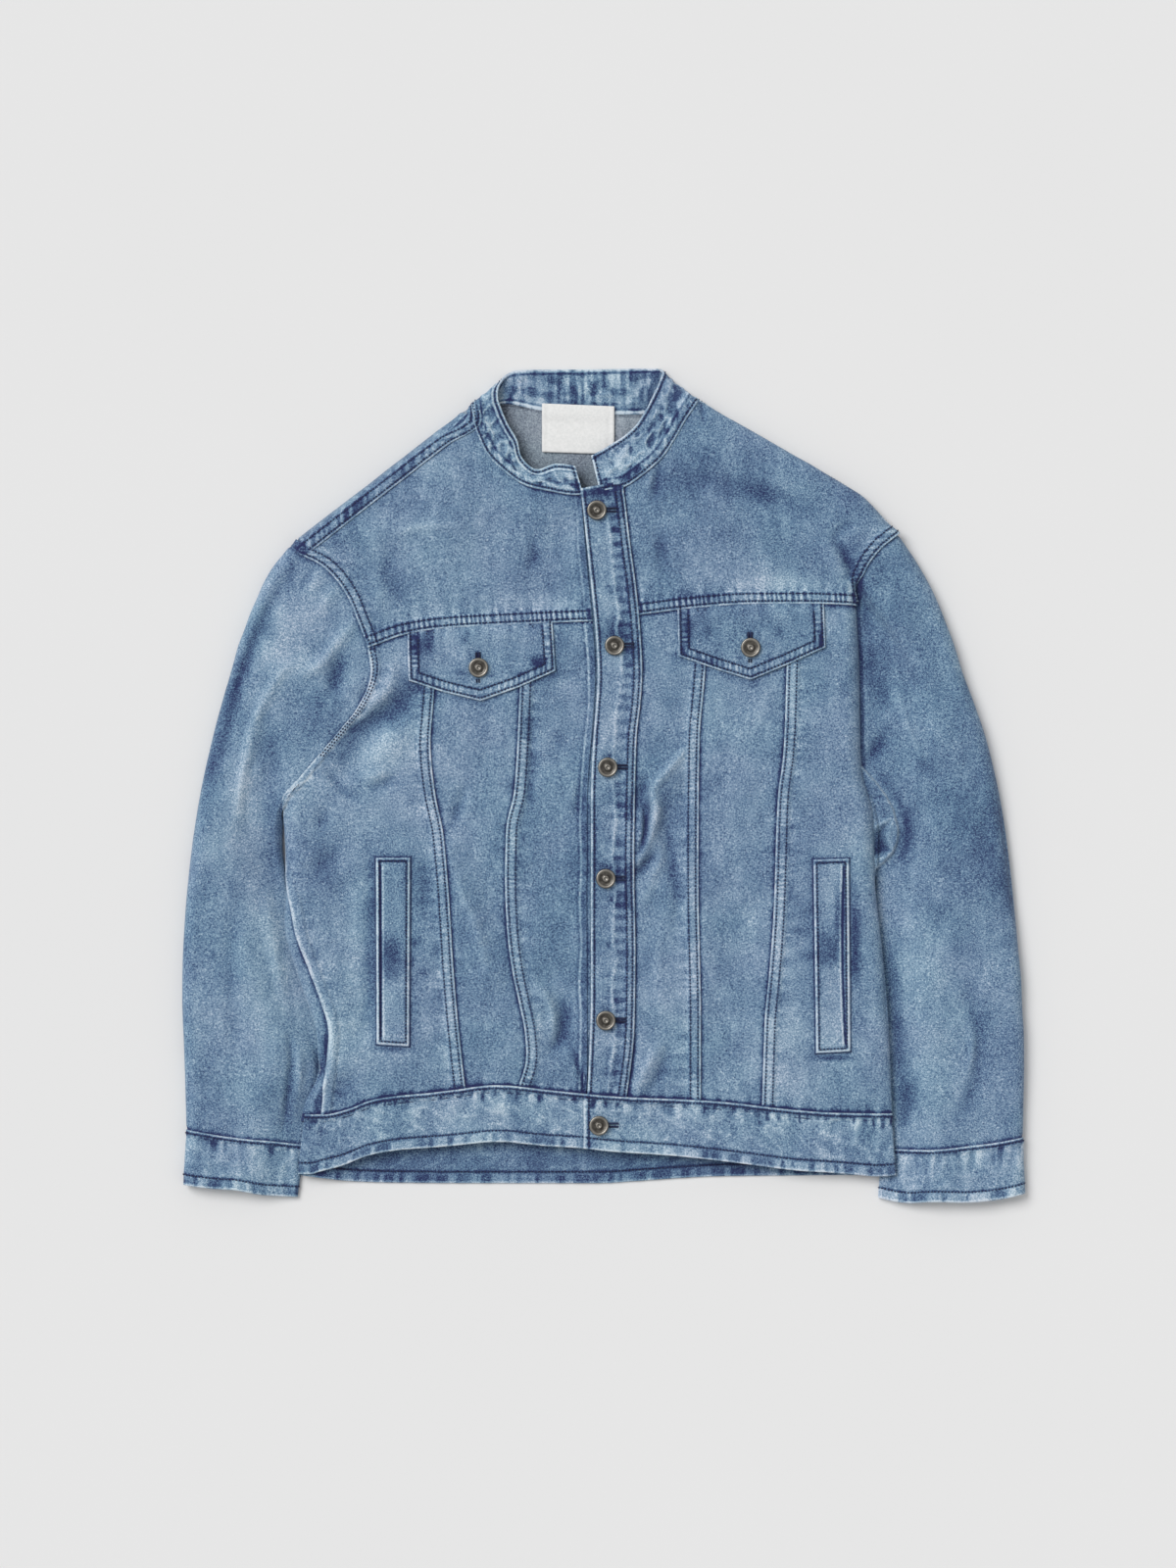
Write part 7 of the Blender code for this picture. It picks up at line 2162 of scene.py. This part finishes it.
SEWN_SEAMS = {
    # name: piece, border and distances from it
    "yoke_stitches": (("left_yoke", BOTTOM, STITCH_ROWS), ("right_yoke", BOTTOM, STITCH_ROWS)),
    "armhole_stitches": (
        ("left_yoke", LEFT, STITCH_ROWS), ("left_side", LEFT, UNDERARM_ROWS),
        ("right_yoke", RIGHT, STITCH_ROWS),
    ),
    "princess_stitches": (
        ("left_side", RIGHT, STITCH_ROWS), ("left_centre", LEFT, STITCH_ROWS),
        ("right_side", LEFT, STITCH_ROWS), ("right_centre", RIGHT, STITCH_ROWS),
    ),
    "shoulder_stitches": (("back_panel", TOP, STITCH_ROWS),),
    "placket_stitches": (("placket", LEFT, (PLACKET_EDGE_ROW,)), ("placket", RIGHT, PLACKET_SEAM_ROWS)),
    "waistband_stitches": (
        ("waistband", TOP, (BAND_TOP_ROW,)), ("waistband", BOTTOM, (BAND_HEM_ROW,)),
        ("waistband", LEFT, (BAND_END_ROW,)), ("waistband", RIGHT, (BAND_END_ROW,)),
    ),
    "cuff_stitches": (
        ("left_cuff", BOTTOM, (BAND_TOP_ROW,)), ("left_cuff", TOP, (CUFF_HEM_ROW,)),
        ("right_cuff", BOTTOM, (BAND_TOP_ROW,)), ("right_cuff", TOP, (CUFF_HEM_ROW,)),
    ),
    "collar_stitches": (
        ("collar", TOP, (COLLAR_ROW,)), ("collar", BOTTOM, (2.3,)), ("collar", LEFT, (COLLAR_ROW,)),
        ("collar", RIGHT, (COLLAR_ROW,)),
    ),
}
ARMHOLE_SEWN_FROM = 24  # y below which no stitches are laid along an armhole
for seed, (name, stretches) in enumerate(SEWN_SEAMS.items(), 1):
    lines = rows_of(*stretches)
    if name == "armhole_stitches":
        kept = [line[:, 1] > ARMHOLE_SEWN_FROM for line, _ in lines]
        lines = [(line[shown], facing[shown]) for (line, facing), shown in zip(lines, kept)]
    elif name == "waistband_stitches":
        lines += seam_line("waistband", BOTTOM, BAND_HEM_ROW, depth=DOUBLED)
    thread(name, lines, seed)

# ---------------------------------------------------------------- floor, light and camera
# A plain pale floor under soft light from a wide window and an even sky, seen straight from
# above.

FLOOR_REACH, FLOOR_DROP = 6, 0.0002
FLOOR_COLOURS = ((0, (231, 231, 231)), (1, (233, 233, 233)))
WINDOW_LIGHT, WINDOW_SPREAD, SKY_LIGHT = 1.9, 34, 0.52
WINDOW_FROM = (-0.50, 0.42, 0.76)
MIDDLE_OF_VIEW = (-0.0136, 0.0013)
CAMERA_HEIGHT, VIEW_HEIGHT = 4.0, 1.36
SENSOR_HEIGHT, SENSOR_WIDTH = 36, 27


def set_up(name, data):
    """Puts an object into the scene."""
    item = bpy.data.objects.new(name, data)
    bpy.context.scene.collection.objects.link(item)
    return item


made = Finish("floor", 0.9)
made.shade(Base_Color=made.mottled(made.noise(made.place(), 3), *FLOOR_COLOURS))
floor_mesh = bpy.data.meshes.new("floor")
corners = [(x * FLOOR_REACH, y * FLOOR_REACH, 0) for x, y in ((-1, -1), (1, -1), (1, 1), (-1, 1))]
floor_mesh.from_pydata(corners, [], [(0, 1, 2, 3)])
floor_mesh.materials.append(made.material)
floor = set_up("floor", floor_mesh)
floor.location.z = -FLOOR_DROP

window = set_up("window", bpy.data.lights.new("window", "SUN"))
window.data.energy = WINDOW_LIGHT
window.data.angle = math.radians(WINDOW_SPREAD)
window.rotation_euler = Vector(WINDOW_FROM).to_track_quat("Z", "Y").to_euler()
world = bpy.data.worlds.new("studio")
world.use_nodes = True
sky = world.node_tree.nodes["Background"]
sky.inputs["Color"].default_value = (1, 1, 1, 1)
sky.inputs["Strength"].default_value = SKY_LIGHT
bpy.context.scene.world = world
bpy.context.scene.view_settings.view_transform = "Standard"

camera = set_up("camera", bpy.data.cameras.new("camera"))
camera.data.sensor_fit = "VERTICAL"
camera.data.sensor_height = SENSOR_HEIGHT
camera.data.sensor_width = SENSOR_WIDTH
camera.data.lens = CAMERA_HEIGHT * SENSOR_HEIGHT / VIEW_HEIGHT
camera.location = (*MIDDLE_OF_VIEW, CAMERA_HEIGHT)
bpy.context.scene.camera = camera
